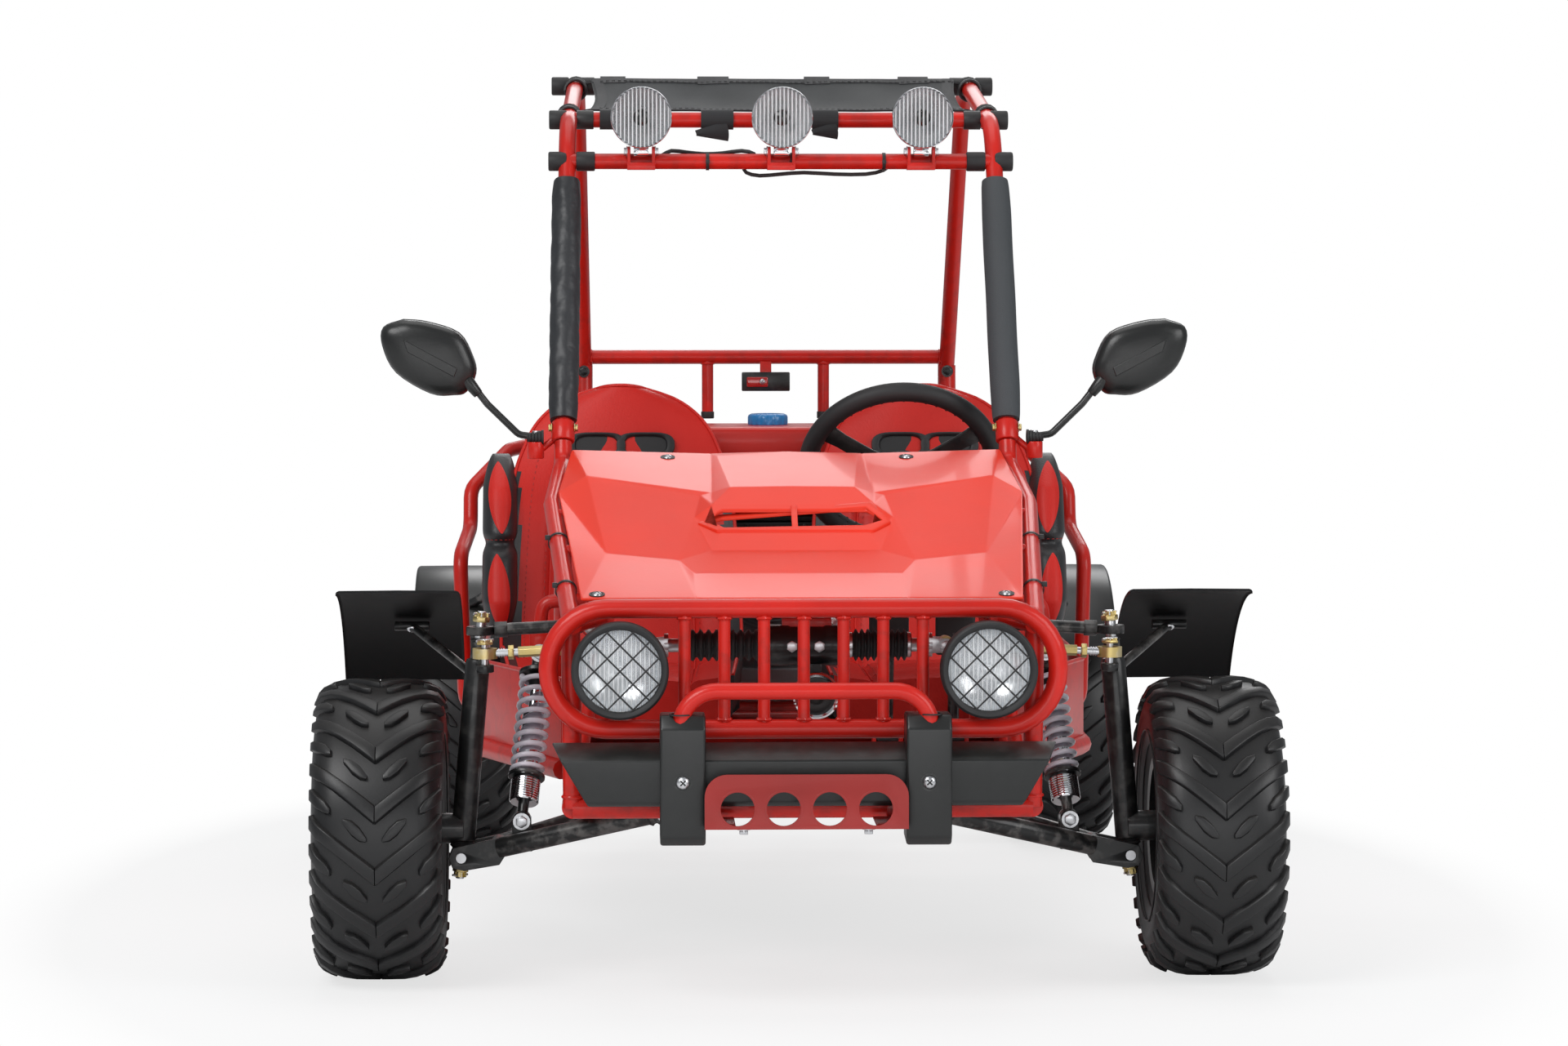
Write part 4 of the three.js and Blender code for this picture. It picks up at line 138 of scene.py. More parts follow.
class KART_PG_sizes(bpy.types.PropertyGroup):
    """Sizes that a user would change."""

    coil_steps: IntProperty(name="Coil steps", description="Steps in one curl of a spring", default=20, min=8, max=48)
    mesh_pitch: length("Lamp mesh", "Pitch of the headlamps' wire mesh", 0.0205)
    mesh_wire: length("Mesh wire", "Radius of the mesh wire", 0.0011)
    weld_bead: length("Weld bead", "Radius of a weld bead", 0.0019)
    paint_peel: FloatProperty(name="Orange peel", description="Waviness of the paint", default=0.06, min=0, max=1)
    stitch: length("Stitch", "Length of one stitch", 0.006)


# Ways of making one new object, with its place in its mesh


def clear_selection():
    if bpy.context.mode != "OBJECT":
        bpy.ops.object.mode_set(mode="OBJECT")
    bpy.ops.object.select_all(action="DESELECT")


def pick(*objects):
    """Select these objects alone, the first one active."""
    clear_selection()
    for o in objects:
        o.select_set(True)
    bpy.context.view_layer.objects.active = objects[0]
    return objects[0]


def settle(o):
    """Move an object's place, turn and scale into its mesh."""
    pick(o)
    bpy.ops.object.transform_apply(location=True, rotation=True, scale=True)
    return o


def finish_mesh(o, material, angle=35, smooth=True):
    pick(o)
    bpy.ops.object.mode_set(mode="EDIT")
    bpy.ops.mesh.select_all(action="SELECT")
    bpy.ops.mesh.remove_doubles(threshold=1e-6)
    bpy.ops.mesh.normals_make_consistent(inside=False)
    bpy.ops.object.mode_set(mode="OBJECT")
    if smooth:
        bpy.ops.object.shade_smooth_by_angle(angle=math.radians(angle))
    if material:
        o.data.materials.clear()
        o.data.materials.append(material)
    return o


def modify(o, kind, **values):
    """Add a modifier with these values and apply it."""
    pick(o)
    m = o.modifiers.new(kind.title(), kind)
    for key, value in values.items():
        setattr(m, key, value)
    bpy.ops.object.modifier_apply(modifier=m.name)
    return o


def bevelled(o, width, segments=2, angle=30):
    if width:
        modify(o, "BEVEL", width=width, segments=segments, limit_method="ANGLE", angle_limit=math.radians(angle))
    return o


def mesh_object(name, points, edges=(), faces=()):
    data = bpy.data.meshes.new(name)
    data.from_pydata([tuple(p) for p in points], list(edges), list(faces))
    o = bpy.data.objects.new(name, data)
    bpy.context.scene.collection.objects.link(o)
    return o


def block(low, high, material, bevel=0.001, segments=2):
    """A cube scaled between two corners, with bevelled edges."""
    clear_selection()
    centre = (low + high) / 2
    bpy.ops.mesh.primitive_cube_add(size=1, location=centre)
    o = bpy.context.object
    o.scale = [abs(b - a) for a, b in zip(low, high)]
    settle(o)
    return finish_mesh(bevelled(o, bevel, segments), material)


def rod(a, b, radius, material, far=None, sides=20, bevel=0.0):
    """A cylinder or cone from a to b."""
    clear_selection()
    reach = b - a
    far = radius if far is None else far
    bpy.ops.mesh.primitive_cone_add(
        vertices=sides, radius1=radius, radius2=far, depth=reach.length, location=(a + b) / 2,
        rotation=reach.to_track_quat("Z", "Y").to_euler(),
    )
    o = settle(bpy.context.object)
    return finish_mesh(bevelled(o, bevel), material)


def pin(centre, axis, half, radius, material, sides=20, bevel=0.0):
    reach = Vector(axis).normalized() * half
    return rod(centre - reach, centre + reach, radius, material, sides=sides, bevel=bevel)


def rounded(route, bend, step=15):
    """The route with its corners rounded to a bend radius."""
    points = [route[0]]
    for i in range(1, len(route) - 1):
        corner = route[i]
        before = (route[i - 1] - corner).normalized()
        after = (route[i + 1] - corner).normalized()
        turn = math.pi - before.angle(after)
        if turn < math.radians(2):
            points.append(corner)
            continue
        limit = 0.49 * min((route[i - 1] - corner).length, (route[i + 1] - corner).length)
        radius = min(bend, limit / math.tan(turn / 2))
        middle = corner + (before + after).normalized() * radius / math.cos(turn / 2)
        start = corner + before * radius * math.tan(turn / 2) - middle
        end = corner + after * radius * math.tan(turn / 2) - middle
        axis = start.cross(end).normalized()
        steps = max(2, round(math.degrees(turn) / step))
        for k in range(steps + 1):
            points.append(Matrix.Rotation(turn * k / steps, 3, axis) @ start + middle)
    points.append(route[-1])
    return points


def wire(points, radius, material, closed=False, sides=16, smooth=True):
    """A round bar along points: a curve given thickness, then made a mesh."""
    clear_selection()
    data = bpy.data.curves.new("wire", "CURVE")
    data.dimensions = "3D"
    line = data.splines.new("POLY")
    line.points.add(len(points) - 1)
    for node, p in zip(line.points, points):
        node.co = (*p, 1)
    line.use_cyclic_u = closed
    data.bevel_depth = radius
    data.bevel_resolution = max(0, sides // 4 - 1)
    data.use_fill_caps = not closed
    o = bpy.data.objects.new("wire", data)
    bpy.context.scene.collection.objects.link(o)
    pick(o)
    bpy.ops.object.convert(target="MESH")
    return finish_mesh(bpy.context.object, material, 50, smooth)


def tube(route, radius, material, bend=None, sides=16, step=15):
    return wire(rounded(route, bend or radius * 3, step), radius, material, sides=sides)


def turned(profile, centre, axis, material, steps=48, angle=30):
    """A profile of (radius, height) pairs spun about an axis through a point."""
    turn = Vector(axis).normalized().to_track_quat("Z", "Y").to_matrix()
    points = [centre + turn @ Vector((r, 0, h)) for r, h in profile]
    o = mesh_object("turned", points, [(i, i + 1) for i in range(len(points) - 1)])
    pick(o)
    bpy.ops.object.mode_set(mode="EDIT")
    bpy.ops.mesh.select_all(action="SELECT")
    bpy.ops.mesh.spin(steps=steps, angle=math.tau, center=centre, axis=Vector(axis).normalized())
    bpy.ops.object.mode_set(mode="OBJECT")
    return finish_mesh(o, material, angle)


def spun(profile, centre, axis, material, steps=48, angle=30):
    """A turned form with its profile in millimetres."""
    return turned([(r * MM, h * MM) for r, h in profile], centre, axis, material, steps, angle)


def sleeve(centre, axis, inner, outer, half, material, steps=48, cut=None):
    """A bushing in millimetres. Cut is the radius and height that its outer edges lose."""
    corners = [(outer, -half), (outer, half)]
    if cut:
        r, h = cut
        corners = [(outer - r, -half), (outer, h - half), (outer, half - h), (outer - r, half)]
    return spun([(inner, -half), *corners, (inner, half), (inner, -half)], centre, axis, material, steps)


def strap_ring(centre, axis, radius, width, material, thick=0.0011):
    """A flat band round a bar, in metres."""
    return sleeve(centre, axis, radius / MM, (radius + thick) / MM, width / 2 / MM, material, 28)


def round_points(centre, across, up, count, first=0.0):
    """Points evenly round a centre, from two spokes."""
    turns = (math.tau * (i + first) / count for i in range(count))
    return [centre + across * math.cos(a) + up * math.sin(a) for a in turns]


def plate(outline, reach, material, bevel=0.0, segments=2, angle=30):
    """A flat outline of points filled and extruded by a vector."""
    o = mesh_object("plate", outline, faces=[tuple(range(len(outline)))])
    pick(o)
    bpy.ops.object.mode_set(mode="EDIT")
    bpy.ops.mesh.select_all(action="SELECT")
    bpy.ops.mesh.extrude_region_move(TRANSFORM_OT_translate={"value": reach})
    bpy.ops.object.mode_set(mode="OBJECT")
    finish_mesh(o, None, smooth=False)
    return finish_mesh(bevelled(o, bevel, segments, angle), material)


def carve(o, *tools):
    """Cut the tools out of an object and delete them."""
    for tool in tools:
        modify(o, "BOOLEAN", operation="DIFFERENCE", object=tool, solver="EXACT")
        bpy.data.objects.remove(tool)
    return o


def flat(items):
    for item in items:
        if isinstance(item, (list, tuple)):
            yield from flat(item)
        else:
            yield item


def piece(name, body, slot, nodes, *parts):
    """Join the parts to one named piece that rides on a body and stands for CAD nodes."""
    parts = list(flat(parts))
    pick(*parts)
    if len(parts) > 1:
        bpy.ops.object.join()
    o = bpy.context.object
    o.name = name
    o.data.name = name
    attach(o, body)
    if nodes:
        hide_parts(*nodes)
    return o


def bolt(place, axis, radius, height, material):
    """A hexagon head on a washer, with a chamfered top."""
    axis = Vector(axis).normalized()
    washer = rod(place, place + axis * height * 0.25, radius * 1.35, material, sides=20)
    head = rod(place + axis * height * 0.2, place + axis * height, radius, material, sides=6, bevel=radius * 0.12)
    return [washer, head]


def weld(centre, axis, radius, material, scale=1.0):
    """A bead laid in a ring where two tubes meet."""
    bead = bpy.context.scene.kart_sizes.weld_bead * scale
    turn = Vector(axis).normalized().to_track_quat("Z", "Y").to_matrix()
    ring = []
    for i in range(28):
        a = math.tau * i / 28
        lumpy = radius + bead * 0.3 * math.sin(a * 11)
        ring.append(centre + turn @ Vector((lumpy * math.cos(a), lumpy * math.sin(a), 0)))
    return wire(ring, bead, material, closed=True, sides=8)


# Shared effects as node groups: each puts out a mask, a value or a normal


def new_group(name, inputs, outputs):
    group = bpy.data.node_groups.new(name, "ShaderNodeTree")
    for title, kind, value in inputs:
        socket = group.interface.new_socket(title, in_out="INPUT", socket_type=kind)
        if value is not None:
            socket.default_value = value
    for title, kind in outputs:
        group.interface.new_socket(title, in_out="OUTPUT", socket_type=kind)
    start = group.nodes.new("NodeGroupInput")
    end = group.nodes.new("NodeGroupOutput")
    return group, start, end


def node(tree, kind, settings=None, **inputs):
    """A node with settings and with inputs given by name, as values or as sockets to link."""
    n = tree.nodes.new(kind)
    for key, value in (settings or {}).items():
        setattr(n, key, value)
    for key, value in inputs.items():
        socket = n.inputs[int(key[1:])] if key[0] == "i" and key[1:].isdigit() else n.inputs[key.replace("_", " ")]
        if isinstance(value, bpy.types.NodeSocket):
            tree.links.new(value, socket)
        else:
            socket.default_value = value
    return n


def product(tree, first, second):
    return node(tree, "ShaderNodeMath", {"operation": "MULTIPLY"}, i0=first, i1=second).outputs[0]


def ramp(tree, source, low, high):
    n = node(tree, "ShaderNodeMapRange", {"interpolation_type": "SMOOTHSTEP"}, Value=source)
    n.inputs["From Min"].default_value = low
    n.inputs["From Max"].default_value = high
    return n.outputs[0]


def wear_group():
    """Mask of worn edges and a grime mask, from object coordinates."""
    group, start, end = new_group(
        "edge_wear", (("Scale", "NodeSocketFloat", 60), ("Amount", "NodeSocketFloat", 0.5)),
        (("Wear", "NodeSocketFloat"), ("Cloud", "NodeSocketFloat")))
    place = node(group, "ShaderNodeTexCoord").outputs["Object"]
    shape = node(group, "ShaderNodeNewGeometry").outputs["Pointiness"]
    edge = ramp(group, shape, 0.52, 0.62)
    noise = node(group, "ShaderNodeTexNoise", Vector=place, Scale=start.outputs["Scale"], Detail=4.0)
    broken = ramp(group, noise.outputs["Fac"], 0.45, 0.65)
    both = product(group, edge, broken)
    amount = product(group, both, start.outputs["Amount"])
    cloud = node(group, "ShaderNodeTexNoise", Vector=place, Scale=5.0, Detail=3.0)
    group.links.new(amount, end.inputs["Wear"])
    group.links.new(cloud.outputs["Fac"], end.inputs["Cloud"])
    return group


def grain_group():
    """Normal of a fine grain: pebbled plastic, vinyl or orange peel."""
    group, start, end = new_group(
        "surface_grain", (("Scale", "NodeSocketFloat", 600), ("Depth", "NodeSocketFloat", 0.2),
                          ("Distance", "NodeSocketFloat", 0.0004)),
        (("Normal", "NodeSocketVector"), ("Height", "NodeSocketFloat")))
    place = node(group, "ShaderNodeTexCoord").outputs["Object"]
    cells = node(group, "ShaderNodeTexVoronoi", {"feature": "SMOOTH_F1"}, Vector=place, Scale=start.outputs["Scale"])
    soft = node(group, "ShaderNodeTexNoise", Vector=place, Scale=start.outputs["Scale"], Detail=2.0)
    height = node(group, "ShaderNodeMath", {"operation": "ADD"}, i0=cells.outputs["Distance"], i1=soft.outputs["Fac"])
    bump = node(group, "ShaderNodeBump", Strength=start.outputs["Depth"], Distance=start.outputs["Distance"],
                Height=height.outputs[0])
    group.links.new(bump.outputs["Normal"], end.inputs["Normal"])
    group.links.new(height.outputs[0], end.inputs["Height"])
    return group


def weave_group():
    """Crossed threads of cloth as a mask and a normal."""
    group, start, end = new_group(
        "cloth_weave", (("Threads", "NodeSocketFloat", 700),),
        (("Normal", "NodeSocketVector"), ("Mask", "NodeSocketFloat")))
    place = node(group, "ShaderNodeTexCoord").outputs["Object"]
    waves = []
    for direction in ("X", "Y"):
        wave = node(group, "ShaderNodeTexWave", {"bands_direction": direction}, Vector=place,
                    Scale=start.outputs["Threads"], Distortion=0.6)
        waves.append(wave.outputs["Fac"])
    mask = product(group, *waves)
    bump = node(group, "ShaderNodeBump", Strength=0.35, Distance=0.0004, Height=mask)
    group.links.new(bump.outputs["Normal"], end.inputs["Normal"])
    group.links.new(mask, end.inputs["Mask"])
    return group


def dust_group():
    """Mask of dust lying on faces that look up."""
    group, start, end = new_group("top_dust", (("Amount", "NodeSocketFloat", 0.2),), (("Dust", "NodeSocketFloat"),))
    normal = node(group, "ShaderNodeNewGeometry").outputs["Normal"]
    up = node(group, "ShaderNodeSeparateXYZ", Vector=normal).outputs["Z"]
    place = node(group, "ShaderNodeTexCoord").outputs["Object"]
    cloud = node(group, "ShaderNodeTexNoise", Vector=place, Scale=22.0, Detail=5.0).outputs["Fac"]
    lying = product(group, ramp(group, up, 0.2, 1.0), cloud)
    group.links.new(product(group, lying, start.outputs["Amount"]), end.inputs["Dust"])
    return group


GROUPS = {}
MATERIALS = {}


def use_group(tree, name, **inputs):
    makers = {"wear": wear_group, "grain": grain_group, "weave": weave_group, "dust": dust_group}
    if name not in GROUPS:
        GROUPS[name] = makers[name]()
    n = node(tree, "ShaderNodeGroup", {"node_tree": GROUPS[name]})
    for key, value in inputs.items():
        n.inputs[key].default_value = value
    return n


def blend_colour(tree, mask, first, second):
    n = node(tree, "ShaderNodeMix", {"data_type": "RGBA"})
    for socket, value in ((n.inputs["Factor"], mask), (n.inputs[6], first), (n.inputs[7], second)):
        if isinstance(value, bpy.types.NodeSocket):
            tree.links.new(value, socket)
        else:
            socket.default_value = value
    return n.outputs[2]


def value_range(tree, source, low, high):
    n = node(tree, "ShaderNodeMapRange", Value=source)
    n.inputs["To Min"].default_value = low
    n.inputs["To Max"].default_value = high
    return n.outputs[0]


def blank(name):
    material = bpy.data.materials.new(name)
    material.use_nodes = True
    tree = material.node_tree
    shader = tree.nodes["Principled BSDF"]
    MATERIALS[name] = material
    return material, tree, shader


def surface(name, base, rough=0.4, metal=0.0, coat=0.0, grain=(600, 0.1, 0.0003), wear=0.3, bare=None, dust=0.03,
            spread=0.12, **extra):
    """A surface with cloudy colour, worn edges, a grained normal and dust on top."""
    material, tree, shader = blank(name)
    base = (*base, 1)
    worn = use_group(tree, "wear", Amount=wear)
    dusty = use_group(tree, "dust", Amount=dust)
    fine = use_group(tree, "grain", Scale=grain[0], Depth=grain[1], Distance=grain[2])
    darker = tuple(c * (1 - spread) for c in base[:3]) + (1,)
    lighter = tuple(min(1, c * (1 + spread)) for c in base[:3]) + (1,)
    cloudy = blend_colour(tree, ramp(tree, worn.outputs["Cloud"], 0.3, 0.7), darker, lighter)
    bare = (*bare, 1) if bare else tuple(min(1, c * 1.6 + 0.02) for c in base[:3]) + (1,)
    rubbed = blend_colour(tree, worn.outputs["Wear"], cloudy, bare)
    dusted = blend_colour(tree, dusty.outputs["Dust"], rubbed, (0.42, 0.37, 0.31, 1))
    tree.links.new(dusted, shader.inputs["Base Color"])
    roughness = value_range(tree, worn.outputs["Cloud"], rough * 0.85, min(1, rough * 1.2))
    tree.links.new(roughness, shader.inputs["Roughness"])
    tree.links.new(fine.outputs["Normal"], shader.inputs["Normal"])
    shader.inputs["Metallic"].default_value = metal
    shader.inputs["Coat Weight"].default_value = coat
    shader.inputs["Coat Roughness"].default_value = 0.08
    for key, value in extra.items():
        shader.inputs[key.replace("_", " ")].default_value = value
    return material


def cloth(name, base, threads=700, sheen=0.06):
    material, tree, shader = blank(name)
    weave = use_group(tree, "weave", Threads=threads)
    cloud = use_group(tree, "wear", Amount=0.0).outputs["Cloud"]
    dark = tuple(c * 0.6 for c in base) + (1,)
    woven = blend_colour(tree, weave.outputs["Mask"], dark, (*base, 1))
    faded = blend_colour(tree, ramp(tree, cloud, 0.35, 0.75), woven, tuple(min(1, c * 1.25) for c in base) + (1,))
    tree.links.new(faded, shader.inputs["Base Color"])
    tree.links.new(weave.outputs["Normal"], shader.inputs["Normal"])
    shader.inputs["Roughness"].default_value = 0.8
    shader.inputs["Sheen Weight"].default_value = sheen
    return material


def lens_glass():
    """Thin ribbed glass: clear between the ribs, so the bowl behind it shows."""
    material, tree, shader = blank("lens_glass")
    place = node(tree, "ShaderNodeTexCoord").outputs["Object"]
    wave = node(tree, "ShaderNodeTexWave", {"bands_direction": "X"}, Vector=place, Scale=62.0).outputs["Fac"]
    bump = node(tree, "ShaderNodeBump", Strength=0.6, Distance=0.0016, Height=wave)
    tint = blend_colour(tree, wave, (0.30, 0.31, 0.33, 1), (0.90, 0.92, 0.94, 1))
    tree.links.new(tint, shader.inputs["Base Color"])
    tree.links.new(bump.outputs["Normal"], shader.inputs["Normal"])
    shader.inputs["Roughness"].default_value = 0.08
    clear = node(tree, "ShaderNodeBsdfTransparent")
    mixed = node(tree, "ShaderNodeMixShader")
    tree.links.new(ramp(tree, wave, 0.15, 1.9), mixed.inputs[0])
    tree.links.new(clear.outputs[0], mixed.inputs[1])
    tree.links.new(shader.outputs[0], mixed.inputs[2])
    end = next(n for n in tree.nodes if n.type == "OUTPUT_MATERIAL")
    tree.links.new(mixed.outputs[0], end.inputs["Surface"])
    return material


def make_materials(c):
    peel = bpy.context.scene.kart_sizes.paint_peel
    surface("hood_paint", c.hood, 0.40, coat=0.12, grain=(260, peel, 0.0005), wear=0.2, bare=(0.7, 0.2, 0.15),
            spread=0.05, Specular_IOR_Level=0.22)
    surface("tube_paint", c.tubes, 0.34, coat=0.15, grain=(320, peel * 1.5, 0.0005), wear=0.35, bare=(0.2, 0.02, 0.015),
            Specular_IOR_Level=0.3)
    surface("black_plastic", c.black, 0.32, grain=(900, 0.12, 0.0003), wear=0.3, bare=(0.09, 0.09, 0.09))
    surface("tyre_rubber", c.tyre, 0.4, grain=(450, 0.1, 0.0004), wear=0.5, bare=(0.03, 0.029, 0.028), dust=0.05)
    surface("fender_black", (0.0045, 0.0045, 0.005), 0.5, grain=(900, 0.12, 0.0003), wear=0.2, bare=(0.03, 0.03, 0.03),
            dust=0.0, Specular_IOR_Level=0.2)
    surface("soft_rubber", (0.013, 0.013, 0.014), 0.55, grain=(700, 0.12, 0.0003), wear=0.3)
    surface("black_steel", c.steel, 0.36, metal=0.3, coat=0.2, grain=(500, 0.08, 0.0003), wear=0.5,
            bare=(0.22, 0.21, 0.2))
    surface("spring_paint", c.spring, 0.32, coat=0.4, grain=(400, 0.05, 0.0003), wear=0.2, bare=(0.5, 0.48, 0.5))
    surface("zinc_gold", c.zinc, 0.34, metal=0.9, grain=(350, 0.1, 0.0003), wear=0.4, bare=(0.7, 0.66, 0.55),
            spread=0.25)
    surface("bright_steel", (0.62, 0.63, 0.65), 0.3, metal=1.0, grain=(500, 0.08, 0.0003), wear=0.2)
    surface("chrome", (0.82, 0.83, 0.85), 0.09, metal=1.0, grain=(90, 0.02, 0.0003), wear=0.0, dust=0.03, spread=0.03)
    surface("reflector", (0.86, 0.88, 0.90), 0.26, metal=0.75, grain=(120, 0.3, 0.0012), wear=0.0, dust=0.0,
            spread=0.08)
    surface("seat_vinyl", c.vinyl, 0.46, grain=(420, 0.3, 0.0006), wear=0.1, dust=0.02, Specular_IOR_Level=0.28)
    surface("seat_dark", c.vinyl_dark, 0.42, grain=(420, 0.3, 0.0006), wear=0.2, dust=0.04)
    surface("thread", (0.45, 0.03, 0.025), 0.7, grain=(1500, 0.3, 0.0003), wear=0.0)
    surface("pad_foam", c.foam, 0.72, grain=(1100, 0.35, 0.0006), wear=0.2, dust=0.06)
    surface("pad_vinyl", (0.022, 0.024, 0.027), 0.4, grain=(45, 0.5, 0.004), wear=0.1)
    surface("tank_paint", c.tubes, 0.36, coat=0.15, grain=(320, peel * 1.5, 0.0005), wear=0.2, bare=(0.2, 0.02, 0.015))
    surface("plate_paint", c.plate, 0.46, coat=0.05, grain=(320, peel * 1.5, 0.0005), wear=0.4, bare=(0.2, 0.03, 0.02))
    surface("engine_alloy", (0.36, 0.36, 0.37), 0.5, metal=0.85, grain=(260, 0.3, 0.0006), wear=0.2)
    surface("cap_blue", c.cap, 0.3, coat=0.3, grain=(500, 0.1, 0.0003), wear=0.2, bare=(0.3, 0.5, 0.75))
    surface("beige_plastic", (0.62, 0.56, 0.42), 0.45, grain=(600, 0.1, 0.0003), wear=0.1)
    surface("lamp_dark", (0.012, 0.010, 0.010), 0.2, coat=0.5, grain=(200, 0.05, 0.0003), wear=0.1)
    surface("tail_red", (0.45, 0.01, 0.008), 0.15, coat=0.8, grain=(120, 0.1, 0.0005), wear=0.0)
    surface("nylon", (0.015, 0.015, 0.016), 0.45, grain=(800, 0.15, 0.0003), wear=0.1)
    cloth("roof_cloth", c.canvas)
    cloth("webbing", (0.022, 0.022, 0.024), 420)
    lens_glass()


class KART_OT_materials(bpy.types.Operator):
    """Make every material of the kart from its colour settings"""

    bl_idname = "kart.materials"
    bl_label = "Materials"

    def execute(self, context):
        make_materials(context.scene.kart_colours)
        return {"FINISHED"}


# Frame, cage and nose


def M(name):
    return MATERIALS[name]


def hood_z(y):
    """Height of the hood's base plane."""
    return 463 + 147 * (y + 190) / 520


def side_points(side, *points):
    return [at(side * x, y, z) for x, y, z in points]


def side_rod(side, a, b, radius, material, **more):
    """A bar between two places on one side."""
    return rod(*side_points(side, a, b), radius, material, **more)


def two(make):
    """What make gives for each side."""
    return [make(side) for _, side in SIDES]


def y_plate(side, y, outline, material, thick=5, bevel=0.0006):
    """A plate about a plane across the kart, from its outline in x and z."""
    return plate([at(side * x, y - thick / 2, z) for x, z in outline], Y * thick * MM, material, bevel)


def x_plate(x, outline, material, thick=5, bevel=0.0006):
    """A plate about a plane along the kart, from its outline in y and z."""
    return plate([at(x - thick / 2, y, z) for y, z in outline], X * thick * MM, material, bevel)


def side_block(side, low, high, *finish):
    """A block on one side between two corners."""
    a, b = side_points(side, low, high)
    return block(Vector(map(min, a, b)), Vector(map(max, a, b)), *finish)


def guard_loop():
    half, low, high, bend = 289, 317, 454, 67
    points = []
    for x, z, first in ((-half, low + bend, 180), (half, low + bend, 270), (half, high - bend, 0),
                        (-half, high - bend, 90)):
        for k in range(9):
            a = math.radians(first + 90 * k / 8)
            points.append(at(x - math.copysign(bend, x) + bend * math.cos(a), -230, z + bend * math.sin(a)))
    return wire(points, 0.011, M("tube_paint"), closed=True, sides=20)


def guard_bars():
    parts = []
    for i in range(-3, 4):
        low, high = at(i * 45, -230, 317), at(i * 45, -230, 454)
        parts.append(rod(low, high, 0.007, M("tube_paint"), sides=16))
        parts += [weld(place, Z, 0.0072, M("tube_paint"), 1.1) for place in (low + Z * 0.011, high - Z * 0.011)]
    return parts


def rail_z(y):
    """Height of the side rail's centre line beside the hood."""
    return hood_z(y) - 4 - 11 - 0.9


def front_side(side):
    paint = M("tube_paint")
    foot, corner, knee = (262, -205, 225), (264.2, -205, rail_z(-205)), (278, 340, 592.6)
    rail = (262, -230, rail_z(-230) - 2), corner, (289, 174, rail_z(174)), knee, (277.8, 350, 618.5)
    parts = [
        tube(side_points(side, *rail), 0.011, paint, 0.022),
        side_rod(side, foot, corner, 0.011, paint),
        side_rod(side, foot, (262, 183.7, 225), 0.0125, paint),
        tube(side_points(side, (150, -205, 225), (150, -201, 243), (150, 197.6, 243)), 0.0125, paint, 0.010),
        side_rod(side, (225, -194, 441), (225, 117, 441), 0.011, paint),
        side_rod(side, (262, -205, 430), (225, -194, 441), 0.007, paint),
        tube(side_points(side, knee, (281.4, 464, 231)), 0.011, paint, 0.033),
        side_rod(side, (265, 345, 572), (280, 334, 588), 0.0099, paint),
        side_rod(side, (150, 60, 243), (262, 60, 225), 0.0084, paint, sides=12),
    ]
    for y in (-105, 60):
        parts.append(side_rod(side, (225, y, 441), (262, y, 225), 0.0084, paint, sides=12))
        parts.append(weld(at(side * 225.5, y, 430), Z, 0.0086, paint))
    parts += [weld(at(side * x, -205, z), Z, 0.0112, paint) for x, z in ((263.8, corner[2] - 9), (262, 238))]
    return parts + cable_ties(side)


def cable_ties(side):
    """Nylon ties pulled round the rail beside the hood."""
    ties = []
    for y in (-120, 40):
        centre = at(side * (264.2 + (y + 205) * 24.8 / 379), y, rail_z(y))
        ties.append(strap_ring(centre, (0, 0.96, 0.27), 0.0116, 0.0042, M("nylon")))
        knot = centre + Vector((side * 0.013, 0, 0.006))
        ties.append(block(knot - Vector((side, 1, 1)) * 0.003, knot + Vector((side, 1, 1)) * 0.003, M("nylon"), 0.0008))
    return ties


def ears(side):
    """Pivot ears of the arms and the shock tower, as pressed steel plates."""
    paint = M("tube_paint")
    arm = (140, 203), (140, 240), (160, 243), (163, 215), (161, 199), (150, 192)
    upper = (221, 441), (246, 448), (253, 430), (250, 410), (238, 403), (224, 408)
    tower = (294, 376), (292, 402), (300, 407), (312, 407), (316, 398), (315, 374), (304, 366)
    parts = []
    for outline, y, gap in ((arm, -85, 17.85), (arm, 85, 17.85), (upper, 0, 26.85), (tower, 115, 14.5)):
        parts += [y_plate(side, y + face * gap, outline, paint) for face in (-1, 1)]
    for x, y, z, radius, height in ((155, -105, 207, 0.0085, 0.007), (155, 65, 207, 0.0085, 0.007),
                                    (240, -29, 418, 0.0080, 0.006), (304, 98, 376, 0.0080, 0.007)):
        parts += bolt(at(side * x, y, z), FRONT, radius, height, M("bright_steel"))
    parts.append(tube(side_points(side, (225, 115, 441), (300, 115, 436), (304, 115, 405)), 0.0084, paint, 0.014))
    parts.append(side_block(side, (293, 98, 400), (315, 132, 407), paint))
    return parts


def lamp_bracket(side):
    parts = [side_block(side, (190, -232, 312), (226, -194, 322), M("tube_paint"), 0.0008)]
    outline = (-217, 316), (-193, 316), (-194, 392), (-205, 397), (-216, 392)
    for face in (-1, 1):
        x = 208 + face * 15.6
        parts.append(x_plate(side * x, outline, M("tube_paint")))
        parts += bolt(at(side * (x + face * 2.5), -205, 386), X * side * face, 0.006, 0.005, M("bright_steel"))
    return parts


def bull_foot(side):
    return [side_block(side, low, high, M("tube_paint"), 0.0008)
            for low, high in (((128, -220.5, 212.5), (154, -212.5, 275)), ((95, -220.5, 212.5), (150, -205, 231)))]


def cross_rod(half, y, z, radius, material, **more):
    """A bar straight across the kart."""
    return rod(at(-half, y, z), at(half, y, z), radius, material, **more)


